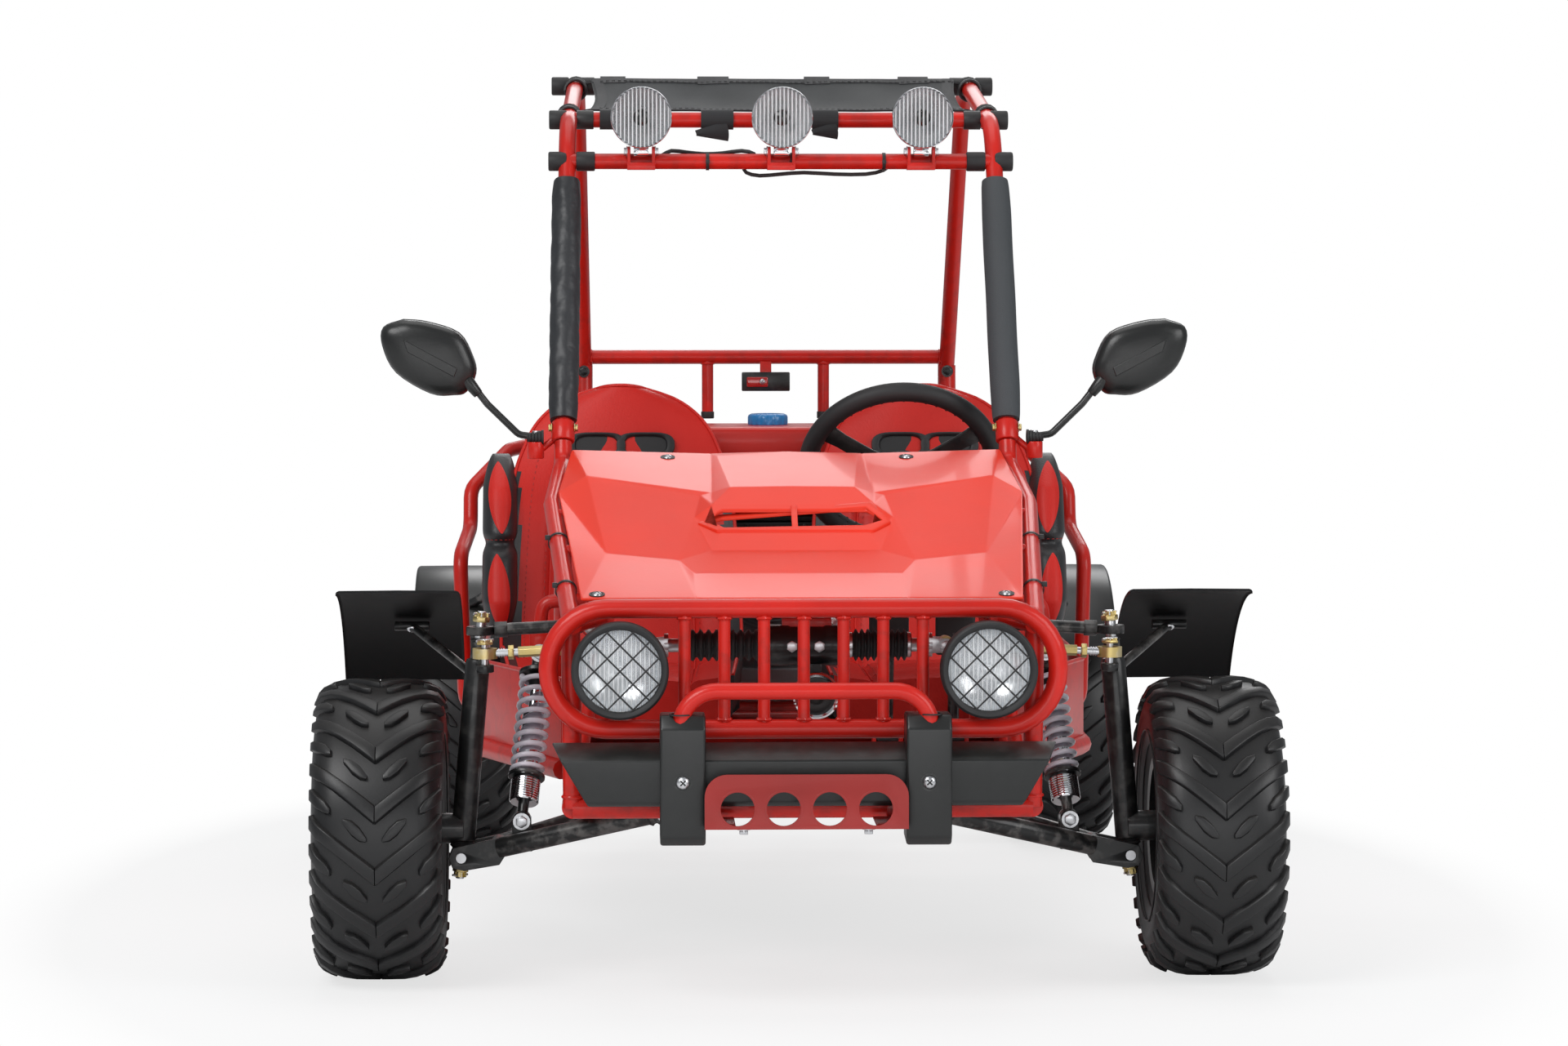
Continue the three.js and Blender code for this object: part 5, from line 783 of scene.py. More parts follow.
class KART_OT_front_frame(bpy.types.Operator):
    """Weld up the front frame: guard, side rails, towers and pivot ears"""

    bl_idname = "kart.front_frame"
    bl_label = "Front frame"

    def execute(self, context):
        parts = [guard_loop(), guard_bars(), two(front_side), two(ears), two(lamp_bracket), two(bull_foot)]
        for half, y, z, radius in ((262, -205, 225, 0.0125), (274, 345, 572, 0.011), (225, -60, 441, 0.011),
                                   (209, 150, 243, 0.0091)):
            parts.append(cross_rod(half, y, z, radius, M("tube_paint")))
        parts += [column_bracket(), pedal_ears(116), pedal_ears(196)]
        piece("front_frame_tubes", "chassis", "tube_paint", ["front_frame"], parts)
        return {"FINISHED"}


def column_line(reach):
    """A point on the steering column, this far down from the wheel's centre in millimetres."""
    tilt = math.radians(35)
    return at(152, 480 - reach * math.cos(tilt), 581 - reach * math.sin(tilt))


def column_bracket():
    centre = column_line(108)
    ring = [(11.8, -11), (20.5, -11), (20.9, 0), (20.5, 11), (11.8, 11)]
    return [
        spun(ring, centre, (column_line(0) - column_line(10)).normalized(), M("tube_paint"), 32),
        rod(at(152, 345, 572), centre + Z * 0.013, 0.0088, M("tube_paint")),
    ]


def pedal_ears(x):
    outline = (140, 243), (160, 243), (160, 274), (150, 280), (140, 274)
    return [x_plate(x + face * 16.25, outline, M("tube_paint"), bevel=0.0005) for face in (-1, 1)]


ROOF_TUBES = ((520, 971), (600, 1026), (860, 1078))


def cage_side(side):
    paint, rubber = M("tube_paint"), M("soft_rubber")
    route = side_points(side, (278, 350, 619), (273, 542, 1016), (264, 925, 1090), (257, 1150, 694))
    leg = (route[1] - route[0]).normalized()
    parts = [
        tube(route, 0.011, paint, 0.088, 24, 7),
        rod(route[0], route[0] + leg * 0.026, 0.0145, paint, sides=28, bevel=0.0015),
        rod(route[3], at(side * 257, 1150, 677.8), 0.0125, paint),
    ]
    for face in (-1, 1):
        place = route[0] + leg * 0.019 + Vector((face * 0.0138, -0.002, 0))
        parts += bolt(place, X * face, 0.0046, 0.0045, M("zinc_gold"))
    parts += bolt(at(side * 257, 1137.5, 686), FRONT, 0.0062, 0.0055, M("black_steel"))
    for y, z in ROOF_TUBES:
        parts.append(side_rod(side, (274, y, z), (297.6, y, z), 0.0124, rubber, sides=28, bevel=0.002))
    return parts + [
        side_rod(side, (238, 520, 971), (262, 520, 971), 0.0124, rubber, sides=28, bevel=0.0015),
        side_rod(side, (82, 1150, 706), (82, 1150, 619), 0.0081, paint),
        side_rod(side, (82, 1150, 629), (82, 1150, 619), 0.0092, rubber, sides=24, bevel=0.001),
        weld(at(side * 82, 1150, 697), Z, 0.0083, paint),
        weld(at(side * 246.5, 1150, 705), X, 0.0102, paint),
    ]


def lamp_ear(x):
    """The red U bracket that carries one roof lamp."""
    paint = M("tube_paint")
    parts = [block(at(x - 18, 499, 960), at(x + 18, 520, 969.5), paint, 0.0006)]
    for face in (-1, 1):
        out = x + face * 15.6
        parts.append(x_plate(out, ((499, 966), (511, 966), (514, 986), (505, 990), (496, 986)), paint, 4, 0.0005))
        parts += bolt(at(out + face * 2, 505, 983), X * face, 0.0055, 0.0045, M("bright_steel"))
    return parts


class KART_OT_roll_cage(bpy.types.Operator):
    """Bend and weld the roll cage with its roof tubes, collars and brackets"""

    bl_idname = "kart.roll_cage"
    bl_label = "Roll cage"

    def execute(self, context):
        paint = M("tube_paint")
        parts = two(cage_side) + two(mirror_ear) + [lamp_ear(x) for x in (-179, 0, 179)]
        parts += [cross_rod(275, y, z, 0.010, paint, sides=24) for y, z in ROOF_TUBES]
        parts.append(cross_rod(257, 1150, 706, 0.010, paint, sides=24))
        parts.append(block(at(-8, 1139, 663), at(8, 1142.4, 700), paint, 0.0006))
        for x in (-94, 14, 132):
            parts.append(strap_ring(at(x, 520, 971), X, 0.0102, 0.0042, M("nylon")))
            parts.append(block(at(x - 2.5, 506, 968), at(x + 2.5, 510.5, 973), M("nylon"), 0.0006))
        piece("roll_cage_tubes", "chassis", "tube_paint", ["roll_cage"], parts)
        return {"FINISHED"}


def floor_side(side):
    rail = (278, 195, 225), (385, 470, 225), (385, 900, 225), (257, 1080, 225), (257, 1150, 677.5)
    hoop = ((257, 1139, 600), (361, 1020, 580), (411, 950, 530), (411, 935, 478), (422, 829, 445), (415.75, 816.5, 250),
            (385, 816.5, 225))
    return [tube(side_points(side, *rail), 0.0125, M("tube_paint"), 0.040),
            tube(side_points(side, *hoop), 0.0099, M("tube_paint"), 0.030)]


def mirror_ear(side):
    """Bracket from the cage's collar to the mirror's hinge."""
    paint = M("tube_paint")
    hinge = at(side * 312, 352, 616)
    return [
        rod(at(side * 278, 356, 632), hinge - Z * 0.0126, 0.0042, paint),
        rod(hinge - Z * 0.018, hinge + Z * 0.0028, 0.0104, paint, sides=24, bevel=0.001),
        rod(hinge, hinge + Z * 0.0166, 0.0042, M("bright_steel")),
    ]


class KART_OT_floor(bpy.types.Operator):
    """Lay the floor frame: side rails, hoops, cross tubes, pan and side sheets"""

    bl_idname = "kart.floor"
    bl_label = "Floor frame"

    def execute(self, context):
        paint = M("tube_paint")
        parts = two(floor_side) + two(tank_side) + two(side_sheets) + two(swing_ears)
        for y, half, z in ((207.5, 278, 225), (560, 385, 225), (800, 385, 225), (900, 385, 225), (940, 376, 225),
                           (1080, 257, 225), (1150, 257, 484)):
            parts.append(cross_rod(half, y, z, 0.011, paint))
        pan = (278, 195), (385, 470), (385, 900), (-385, 900), (-385, 470), (-278, 195)
        parts.append(plate([at(x, y, 213.3) for x, y in pan], Z * 0.0029, M("black_steel")))
        ear = (1150, 470), (1150, 495), (1172, 493), (1197, 478), (1197, 466), (1184, 463)
        parts += [x_plate(x, ear, paint) for x in (-14.5, 14.5)]
        parts += bolt(at(17, 1186, 474), X, 0.008, 0.007, M("bright_steel"))
        piece("floor_frame_tubes", "chassis", "tube_paint", ["floor_frame"], parts)
        return {"FINISHED"}


def tank_side(side):
    paint = M("tube_paint")
    return [
        side_rod(side, (67, 1150, 484), (67, 955, 484), 0.0088, paint),
        tube(side_points(side, (67, 955, 484), (247.5, 956, 484), (247.5, 900, 225)), 0.0088, paint, 0.033),
    ]


def side_sheets(side):
    """The sheets between floor rail and hoop, with a rolled top edge."""
    paint = M("tube_paint")
    marks = side_points(side, (278, 195, 225), (385, 470, 225), (385, 887, 225))
    parts = []
    for start, end in zip(marks, marks[1:]):
        out = (end - start).normalized().cross(Z) * 0.0015
        parts.append(plate([start - out, end - out, end + out, start + out], Z * 0.113, paint, 0.0007))
        parts.append(rod(start + Z * 0.110, end + Z * 0.110, 0.0030, paint, sides=12))
    return parts


def swing_ears(side):
    outline = (1080, 209), (1110, 209), (1122, 215), (1126, 225), (1122, 235), (1110, 241), (1080, 241)
    return [x_plate(side * 142.9, outline, M("tube_paint")),
            *bolt(at(side * 145.4, 1110, 225), X * side, 0.009, 0.008, M("bright_steel"))]


def bull_bar():
    route = ((-141, -220.9, 262), (-141, -290, 262), (-141, -290, 365.5), (141, -290, 365.5), (141, -290, 262),
             (141, -220.9, 262))
    return tube([at(*p) for p in route], 0.0095, M("tube_paint"), 0.0418, 24, 9)


def pan_screw(place, axis, radius, material):
    """A domed screw head with a cross cut into it."""
    axis = Vector(axis).normalized()
    dome = [(r * radius, h * radius) for r, h in ((0, 0.55), (0.35, 0.52), (0.7, 0.38), (0.92, 0.18), (1, 0))]
    head = turned(dome, place, axis, material, 24)
    across = axis.orthogonal().normalized()
    other = axis.cross(across)
    for a, b in ((across, other), (other, across)):
        carve(head, box_between(place + axis * radius * 0.3, a, b, axis, radius * 0.55, radius * 0.11, radius * 0.4))
    return head


def box_between(centre, a, b, c, la, lb, lc):
    """A box about a centre, given three directions and its half length along each."""
    points = [centre + a * la * i + b * lb * j + c * lc * k for i in (-1, 1) for j in (-1, 1) for k in (-1, 1)]
    faces = [(0, 1, 3, 2), (4, 6, 7, 5), (0, 4, 5, 1), (2, 3, 7, 6), (0, 2, 6, 4), (1, 5, 7, 3)]
    return finish_mesh(mesh_object("box", points, faces=faces), None, smooth=False)


def bumper_beam():
    """The wide beam, slanted at its ends, with a chamfer along its front."""
    section = [(-246, 235), (-283, 235), (-288, 240), (-288, 287), (-256, 304), (-246, 304)]
    rings = [[at(s * (285 - 41 * (304 - z) / 69), y, z) for y, z in section] for s in (-1, 1)]
    return lofted(rings, M("black_plastic"), 35, 0.0022, 3)


def bumper_block(side):
    plastic = M("black_plastic")
    section = (-246, 197), (-294, 192), (-304, 202), (-304, 324), (-294, 339), (-251, 339), (-246, 304)
    outline = [at(side * 138 - 25.5, y, z) for y, z in section]
    body = plate(outline, X * 0.051, plastic, 0.003, 3)
    leg = side_points(side, (141, -216, 262), (141, -290, 262), (141, -290, 360))
    return [
        finish_mesh(carve(body, tube(leg, 0.0102, None, 0.0228, 20, 9)), plastic),
        pan_screw(at(side * 138, -304.2, 264), FRONT, 0.0075, M("bright_steel")),
        strap_ring(at(side * 138, -304, 264), FRONT, 0.0085, 0.0012, plastic, 0.0016),
        strap_ring(at(side * 141, -290, 339.4), Z, 0.0103, 0.0016, M("soft_rubber"), 0.0022),
    ]


def skid_outline(half, low, high, corner, y, steps=8):
    """The plate's outline: square below, its upper corners rounded."""
    points = [at(-half, y, low), at(half, y, low)]
    for s, start in ((1, 0), (-1, 90)):
        for i in range(steps + 1):
            a = math.radians(start + 90 * i / steps)
            points.append(at(s * (half - corner) + corner * math.cos(a), y, high - corner + corner * math.sin(a)))
    return points


def skid_plate():
    """The perforated plate under the bumper, each hole with a pressed rim."""
    paint = M("plate_paint")
    sheet = plate(skid_outline(114, 213, 274.5, 25, -318), Y * 0.003, None)
    centres = [at((i - 1.5) * 51.5, -316.5, 235.8) for i in range(4)]
    carve(sheet, *[pin(c, Y, 0.01, 0.019, None, 40) for c in centres])
    lip = [(19, -1.4), (21.2, -1.6), (22.6, -0.6), (22.6, 1.4), (19, 1.4), (19, -1.4)]
    parts = [finish_mesh(bevelled(sheet, 0.0006, 2), paint), [spun(lip, c, Y, paint, 40) for c in centres]]
    for side in (-1, 1):
        parts.append(side_block(side, (79, -316.5, 213.2), (111, -221, 216), paint, 0.0006))
        parts += bolt(at(side * 70, -300, 212.6), -Z, 0.0055, 0.007, M("bright_steel"))
    return parts


def horn():
    """The small horn behind the guard: a bright ring round a black face, hung from the rack housing."""
    front = at(20, -92, 341)
    ring = [(21.4, 4), (22.4, 0.8), (25, 0), (27, 1.4), (27.5, 4), (27.5, 9), (24, 11.4), (21.4, 11.4), (21.4, 4)]
    face = [(0, 4.6), (4, 4.8), (6, 6.4), (12, 6.8), (18, 5.6), (21.6, 6.4), (21.6, 12), (0, 12)]
    back = [(0, 11), (24.4, 11), (24.4, 20), (19, 27), (12, 31), (11, 40), (0, 40)]
    parts = [spun(line, front, Y, M(finish), 56, 40)
             for line, finish in ((ring, "chrome"), (face, "black_plastic"), (back, "black_steel"))]
    strap = [at(20, -56, 341), at(20, -54, 352), at(20, -54, 378)]
    parts.append(ribbon(strap, X, 0.008, 0.0025, M("black_steel")))
    parts += bolt(at(20, -53, 341), Y, 0.0055, 0.006, M("bright_steel"))
    piece("horn_assembled", "chassis", "black_steel", [], parts)


class KART_OT_nose(bpy.types.Operator):
    """Mould the bumper and press the bull bar and skid plate"""

    bl_idname = "kart.nose"
    bl_label = "Nose"

    def execute(self, context):
        piece("bull_bar_tube", "chassis", "tube_paint", ["bull_bar"], bull_bar())
        piece("bumper_moulding", "chassis", "bumper_plastic", ["front_bumper"], bumper_beam(), two(bumper_block))
        piece("skid_plate_pressed", "chassis", "tube_paint", ["skid_plate"], skid_plate())
        horn()
        return {"FINISHED"}


# The hood's facets: a share of its half width, a share of its length, and a lift from its base plane.
HOOD_SHARES = (
    (0, 0, 0), (0.43, 0, 0), (0.894, 0, 0), (0, 0.212, -0.45), (0.43, 0.212, -0.45),
    (0.492, 0.291, -0.4), (0.793, 0.331, -0.35), (1, 0.696, 0), (0.878, 0.734, 0.55), (0.947, 1, 0),
    (0.393, 0.611, 0.45), (0.349, 0.614, 0.55), (0.421, 0.499, 0.15), (0.314, 0.418, 0), (0, 0.418, 0),
    (0.345, 0.519, 0.66), (0, 0.519, 0.66), (0.265, 0.592, 1), (0, 0.597, 1), (0.307, 0.947, 0.05),
    (0, 1, -0.1), (0.335, 1, -0.2), (0.351, 0.354, -0.4), (0, 0.354, -0.4),
)
HOOD_FACETS = (
    (0, 1, 4, 3), (1, 2, 6, 5), (1, 5, 4), (2, 7, 6), (6, 7, 8), (7, 9, 8),
    (6, 8, 10), (6, 10, 12), (6, 12, 5), (4, 5, 22), (5, 12, 22), (3, 4, 22, 23),
    (23, 22, 13, 14), (22, 12, 13), (14, 13, 15, 16), (13, 12, 15), (12, 10, 15), (10, 11, 15),
    (16, 15, 17, 18), (15, 11, 17), (8, 9, 21), (8, 21, 11), (8, 11, 10), (11, 21, 19),
    (11, 19, 17), (21, 20, 19), (17, 19, 20), (17, 20, 18),
)
HOOD_HALF, HOOD_START, HOOD_LONG, HOOD_LIFT = 282, -190, 520, 24


def hood_sheet():
    """The folded hood: one half of facets, mirrored, thickened and cut through for its two slots."""
    points = []
    for x, y, lift in HOOD_SHARES:
        place = HOOD_START + HOOD_LONG * y
        points.append(at(HOOD_HALF * x, place, hood_z(place) + HOOD_LIFT * lift))
    sheet = mesh_object("hood", points, faces=HOOD_FACETS)
    modify(sheet, "MIRROR", use_axis=(True, False, False), use_clip=True, merge_threshold=1e-5)
    finish_mesh(sheet, None, smooth=False)
    modify(sheet, "SOLIDIFY", thickness=0.004, offset=-1)
    slot = (3.5, 37), (83, 37), (105, 53.5), (86, 70), (3.5, 70)
    carve(sheet, *[plate([at(side * x, y, 440) for x, y in slot], Z * 0.2, None) for side in (-1, 1)])
    return finish_mesh(bevelled(sheet, 0.0016, 2, 3), M("hood_paint"), 1.5)


def hood_fixings():
    """Dome screws on rubber washers, and the red tabs under the hood's edge."""
    parts = []
    up = Vector((0, -0.27, 0.96)).normalized()
    for side in (-1, 1):
        for x, y in ((148, 300), (234, -178)):
            place = at(side * x, y, hood_top(x, y) + 0.4)
            parts.append(strap_ring(place, up, 0.0062, 0.0016, M("soft_rubber"), 0.0028))
            parts.append(pan_screw(place, up, 0.0062, M("bright_steel")))
        for y in (-3, 122):
            edge = side * HOOD_HALF * (0.894 + 0.106 * ((y - HOOD_START) / HOOD_LONG) / 0.696)
            foot, reach = at(edge, y, hood_z(y) - 8), Vector((0.003, 0.003, 0.004))
            parts.append(block(foot - reach - Z * 0.006, foot + reach, M("tube_paint")))
    return parts


def slot_frame():
    """The raised pointed frame round both slots, and the bar between them."""
    outer = (-93, 28), (93, 28), (115, 53.5), (93, 80), (-93, 80), (-115, 53.5)
    inner = (-83, 36.5), (83, 36.5), (105, 53.5), (86, 70.5), (-86, 70.5), (-105, 53.5)
    points = [at(x, y, hood_top(x, y) + level) for level in (-1.5, 3.2) for line in (outer, inner) for x, y in line]
    faces = []
    for i in range(6):
        j = (i + 1) % 6
        faces += [(12 + i, 12 + j, 18 + j, 18 + i), (i, j, 12 + j, 12 + i), (6 + j, 6 + i, 18 + i, 18 + j),
                  (j, i, 6 + i, 6 + j)]
    ring = finish_mesh(mesh_object("slot_frame", points, faces=faces), None, smooth=False)
    low, high = hood_top(0, 32) + 2.4, hood_top(0, 75) + 2.4
    bar = [at(-3.6, 32, low), at(3.6, 32, low), at(3.6, 75, high), at(-3.6, 75, high)]
    paint = M("hood_paint")
    return [finish_mesh(bevelled(ring, 0.0012, 3), paint, 30), plate(bar, Z * -0.004, paint, 0.0006)]


def hood_top(x, y):
    """Height of the hood above a point, read from its facets."""
    u, v = x / HOOD_HALF, (y - HOOD_START) / HOOD_LONG
    for facet in HOOD_FACETS:
        for k in range(1, len(facet) - 1):
            a, b, c = (HOOD_SHARES[i] for i in (facet[0], facet[k], facet[k + 1]))
            area = (b[0] - a[0]) * (c[1] - a[1]) - (c[0] - a[0]) * (b[1] - a[1])
            if abs(area) < 1e-9:
                continue
            s = ((u - a[0]) * (c[1] - a[1]) - (c[0] - a[0]) * (v - a[1])) / area
            t = ((b[0] - a[0]) * (v - a[1]) - (u - a[0]) * (b[1] - a[1])) / area
            if s >= -1e-6 and t >= -1e-6 and s + t <= 1 + 1e-6:
                return hood_z(y) + HOOD_LIFT * (a[2] + s * (b[2] - a[2]) + t * (c[2] - a[2]))
    return hood_z(y)


class KART_OT_hood(bpy.types.Operator):
    """Fold the hood sheet with its slots and screws"""

    bl_idname = "kart.hood"
    bl_label = "Hood"

    def execute(self, context):
        piece("hood_folded", "chassis", "hood_paint", ["hood_panel"], hood_sheet(), slot_frame(), hood_fixings())
        return {"FINISHED"}


# Tyres, rims and rear axle

TYRE_SECTION = ((0, 171.2), (28, 171.0), (48, 169.0), (62, 163.5), (69, 156), (73, 143), (74, 124), (70, 104), (62, 88),
                (60, 78))


def section_point(reach):
    """Place along the tyre's section, this far from the crown's middle: across, radius and outward normal."""
    left = abs(reach)
    side = 1 if reach >= 0 else -1
    for (x0, r0), (x1, r1) in zip(TYRE_SECTION, TYRE_SECTION[1:]):
        step = math.hypot(x1 - x0, r1 - r0)
        if left <= step:
            f = left / step
            return side * (x0 + (x1 - x0) * f), r0 + (r1 - r0) * f, (side * (r0 - r1) / step, (x1 - x0) / step)
        left -= step
    return side * 60, 78, (side, 0)


def lug(centre, path, high):
    """A tread block that follows the section: path gives reach, angle and half width for each station."""
    points, faces = [], []
    for reach, turn, half in path:
        across, radius, normal = section_point(reach)
        for share, level in ((-1, -1.2), (-0.72, high), (0.72, high), (1, -1.2)):
            r = radius + normal[1] * level
            a = math.radians(turn + half * share)
            points.append(centre + Vector((across + normal[0] * level, r * math.cos(a), r * math.sin(a))) * MM)
    for k in range(0, len(points) - 4, 4):
        faces += [(k + i, k + (i + 1) % 4, k + 4 + (i + 1) % 4, k + 4 + i) for i in range(4)]
    return points, faces + [(3, 2, 1, 0), tuple(range(len(points) - 4, len(points)))]


# Each kind of tread block: its turn as a share of the pitch, its height, and stations of reach and half width.
TREAD_BLOCKS = (
    (0, 6.3, ((0.2, 4.1), (14, 4.0), (28, 3.8), (42, 3.7), (54, 3.7), (66, 3.9), (80, 4.1))),
    (0.5, 6.0, ((50, 1.4), (57, 3.0), (64, 3.3), (72, 3.4), (81, 3.4))),
    (0.5, 5.8, ((9, 1.0), (17, 3.0), (26, 3.2), (36, 1.2))),
)


def tread(centre, pitch, slope, scale):
    """Arrow lugs on both halves with a shoulder knob between each pair."""
    points, faces = [], []
    for i in range(round(360 / pitch)):
        for side in (-1, 1):
            for share, high, stations in TREAD_BLOCKS:
                path = [(side * s * scale, pitch * (i + share) + slope * s, w) for s, w in stations]
                some, facets = lug(centre, path, high)
                faces += [tuple(len(points) + k for k in f) for f in facets]
                points += some
    o = finish_mesh(mesh_object("tread", points, faces=faces), None, smooth=False)
    return finish_mesh(bevelled(o, 0.0011, 2, 40), M("tyre_rubber"), 40)


def carcass(centre, half):
    """The tyre's body with beads, rim flange ribs and sidewall rings."""
    scale = half / 74
    side = [(x * scale, r) for x, r in TYRE_SECTION]
    outer = side[:6] + [(side[5][0] + 0.9, 140), (side[6][0] + 1.2, 131), (side[6][0] + 0.1, 129)] + side[6:]
    line = outer + [(46 * scale, 76.4), (20, 76.4), (20, 84)]
    closed = [(r, x) for x, r in line] + [(r, -x) for x, r in reversed(line)]
    return spun(closed[:-1] + closed[:1], centre, X, M("tyre_rubber"), 96, 40)


def tyre(name, body, node_name, x, y, half):
    centre = at(x, y, WHEEL_Z)
    parts = [carcass(centre, half), tread(centre, 24, -0.27, half / 74)]
    for radius, across, thick in ((0.113, 0.0735, 0.0012), (0.098, 0.067, 0.0010)):
        for side in (-1, 1):
            ring = round_points(centre + X * side * across * half / 74, Y * radius, Z * radius, 72)
            parts.append(wire(ring, thick, M("tyre_rubber"), closed=True, sides=8))
    return piece(name, body, "tyre", [node_name], parts)


def rim(centre, side, half, bore, axle_cap):
    """A pressed steel rim: two flanges, a dished web with holes, and a bolted hub."""
    lip = half - 14 + 0.3
    profile = [
        (76, lip), (78, lip + 0.6), (82.4, lip + 1.4), (83, lip + 2.6), (82, lip + 3.4), (79, lip + 3.0), (73, lip + 2),
        (72.6, 30), (70, 14), (60, 9), (50, 14), (38, 18), (30, 19), (30, 21), (bore, 21), (bore, -21), (30, -21),
        (30, 7.5), (50, 6), (66, 4), (71.4, 2), (71.5, -lip - 2), (79, -lip - 3.0), (82, -lip - 3.4), (83, -lip - 2.6),
        (82.4, -lip - 1.4), (78, -lip - 0.6), (76, -lip), (76, lip),
    ]
    steel = M("black_steel")
    parts = [spun([(r, side * h) for r, h in profile], centre, X, steel, 72, 30)]
    for place in round_points(centre + X * side * 0.0155, Y * 0.036, Z * 0.036, 4, 0.5):
        parts += bolt(place, X * side, 0.0085, 0.010, M("bright_steel"))
    for place in round_points(centre + X * side * 0.0115, Y * 0.060, Z * 0.060, 8):
        parts.append(strap_ring(place, X, 0.0062, 0.004, steel, 0.0016))
    valve = centre + Vector((side * 0.045, 0, 0.074)), centre + Vector((side * 0.066, 0, 0.066))
    parts.append(rod(*valve, 0.003, M("soft_rubber"), far=0.0026, bevel=0.0005))
    if axle_cap:
        parts.append(rod(centre + X * side * 0.021, centre + X * side * 0.0218, 0.018, M("zinc_gold"), sides=32))
    return parts


class KART_OT_wheels(bpy.types.Operator):
    """Mould the four tyres and press their rims"""

    bl_idname = "kart.wheels"
    bl_label = "Wheels"

    def execute(self, context):
        for word, side in SIDES:
            tyre(f"front_tyre_moulded_{word}", f"front_wheel_{word}", f"front_tyre_{word}", side * FRONT_TRACK, 0, 74)
            tyre(f"rear_tyre_moulded_{word}", "rear_axle", f"rear_tyre_{word}", side * REAR_TRACK, REAR_Y, 73)
            piece(f"front_rim_pressed_{word}", f"front_wheel_{word}", "black_steel", [f"front_rim_{word}"],
                  rim(at(side * FRONT_TRACK, 0, WHEEL_Z), side, 74, 12.6, False))
        parts = [rim(at(side * REAR_TRACK, REAR_Y, WHEEL_Z), side, 73, 7.5, True) for _, side in SIDES]
        parts.append(pin(at(0, REAR_Y, WHEEL_Z), X, 0.450, 0.015, M("black_steel"), 32, 0.001))
        disc = [(15, -10), (30, -10), (30, -2), (52, -2), (55, -2.5), (80, -2.5), (80, 2.5), (55, 2.5), (52, 2),
                (30, 2), (30, 10), (15, 10), (15, -10)]
        centre = at(-110, REAR_Y, WHEEL_Z)
        holes = [pin(place, X, 0.01, 0.0045, None, 16) for place in round_points(centre, Y * 0.068, Z * 0.068, 12)]
        sheet = carve(spun(disc, centre, X, M("bright_steel"), 64), *holes)
        parts.append(finish_mesh(sheet, M("bright_steel")))
        piece("rear_axle_turned", "rear_axle", "black_steel", ["rear_axle"], parts)
        return {"FINISHED"}


# Suspension and steering


def mix(a, b, share):
    return a + (b - a) * share


def lower_ball(side):
    return at(side * 395, 0, 144)


def upper_ball(side):
    return at(side * 372, 0, 411)


def castle_nut(place, axis, radius, height, material):
    """A hexagon nut with a slotted collar and a split pin through it."""
    axis = Vector(axis).normalized()
    across = axis.orthogonal().normalized()
    up = lambda share: place + axis * height * share
    parts = [rod(place, up(0.6), radius, material, sides=6, bevel=radius * 0.1)]
    for i in range(6):
        turn = Matrix.Rotation(math.tau * (i + 0.25) / 6, 3, axis) @ across
        tooth = box_between(up(0.78) + turn * radius * 0.62, turn, turn.cross(axis), axis, radius * 0.16, radius * 0.22,
                            height * 0.22)
        tooth.data.materials.append(material)
        parts.append(tooth)
    parts.append(pin(up(0.86), across, radius * 1.25, radius * 0.14, M("bright_steel"), 8))
    parts.append(rod(up(0.5), up(1.15), radius * 0.52, M("bright_steel"), bevel=0.0006))
    return parts


def lower_arm(word, side):
    steel = M("black_steel")
    neck = at(side * 350, 0, 156)
    parts = [pin(neck, Y, 0.0203, 0.012, steel)]
    cheek_line = (343, 147), (350, 168), (388, 160), (405, 156), (410, 144), (405, 132), (392, 129), (350, 136)
    ear_line = (313, 155), (313, 188), (324, 198), (335, 188), (335, 155)
    for end in (-1, 1):
        bush = at(side * 155, end * 85, 207)
        parts.append(rod(bush, neck + Y * end * 0.015, 0.012, steel, sides=24))
        parts.append(sleeve(bush, Y, 6.4, 15, 15, steel, 32))
        parts.append(strap_ring(bush + Y * end * 0.0135, Y, 0.0150, 0.002, M("soft_rubber"), 0.0012))
        cheek = y_plate(side, end * 17.85, cheek_line, None, bevel=0)
        carve(cheek, pin(lower_ball(side), Y, 0.04, 0.0064, None))
        parts.append(finish_mesh(bevelled(cheek, 0.0006), steel))
        parts.append(y_plate(side, 8 + end * 14.5, ear_line, steel))
        parts.append(weld(mix(bush, neck, 0.09), neck - bush, 0.0122, steel, 0.9))
    parts.append(side_block(side, (311, -22, 152), (337, 38, 160), steel))
    foot = at(side * 324, 8, 186)
    parts.append(pin(foot, Y, 0.020, 0.005, M("bright_steel")))
    for face in (-1, 1):
        parts += bolt(foot + Y * face * 0.017, Y * face, 0.0075, 0.006, M("bright_steel"))
    piece(f"lower_arm_tubes_{word}", f"lower_arm_{word}", "black_steel", [f"lower_arm_{word}"], parts)


def ball_joint(word, side):
    gold, bright = M("zinc_gold"), M("bright_steel")
    centre, top = lower_ball(side), upper_ball(side)
    axis = (top - centre).normalized()
    boot = [(11.9, 10), (15, 13), (12.8, 15.5), (13.8, 18), (10, 19.5), (8, 19.8)]
    parts = [
        pin(centre, Y, 0.01465, 0.012, gold, 32, 0.0015), pin(centre, Y, 0.0204, 0.006, bright),
        rod(centre, mix(centre, top, 0.2), 0.0078, bright), spun(boot, centre, axis, M("soft_rubber"), 32),
        castle_nut(centre - axis * 0.0095, -axis, 0.0096, 0.0145, gold),
    ]
    piece(f"ball_joint_turned_{word}", f"lower_ball_joint_{word}", "zinc", [f"lower_ball_joint_{word}"], parts)


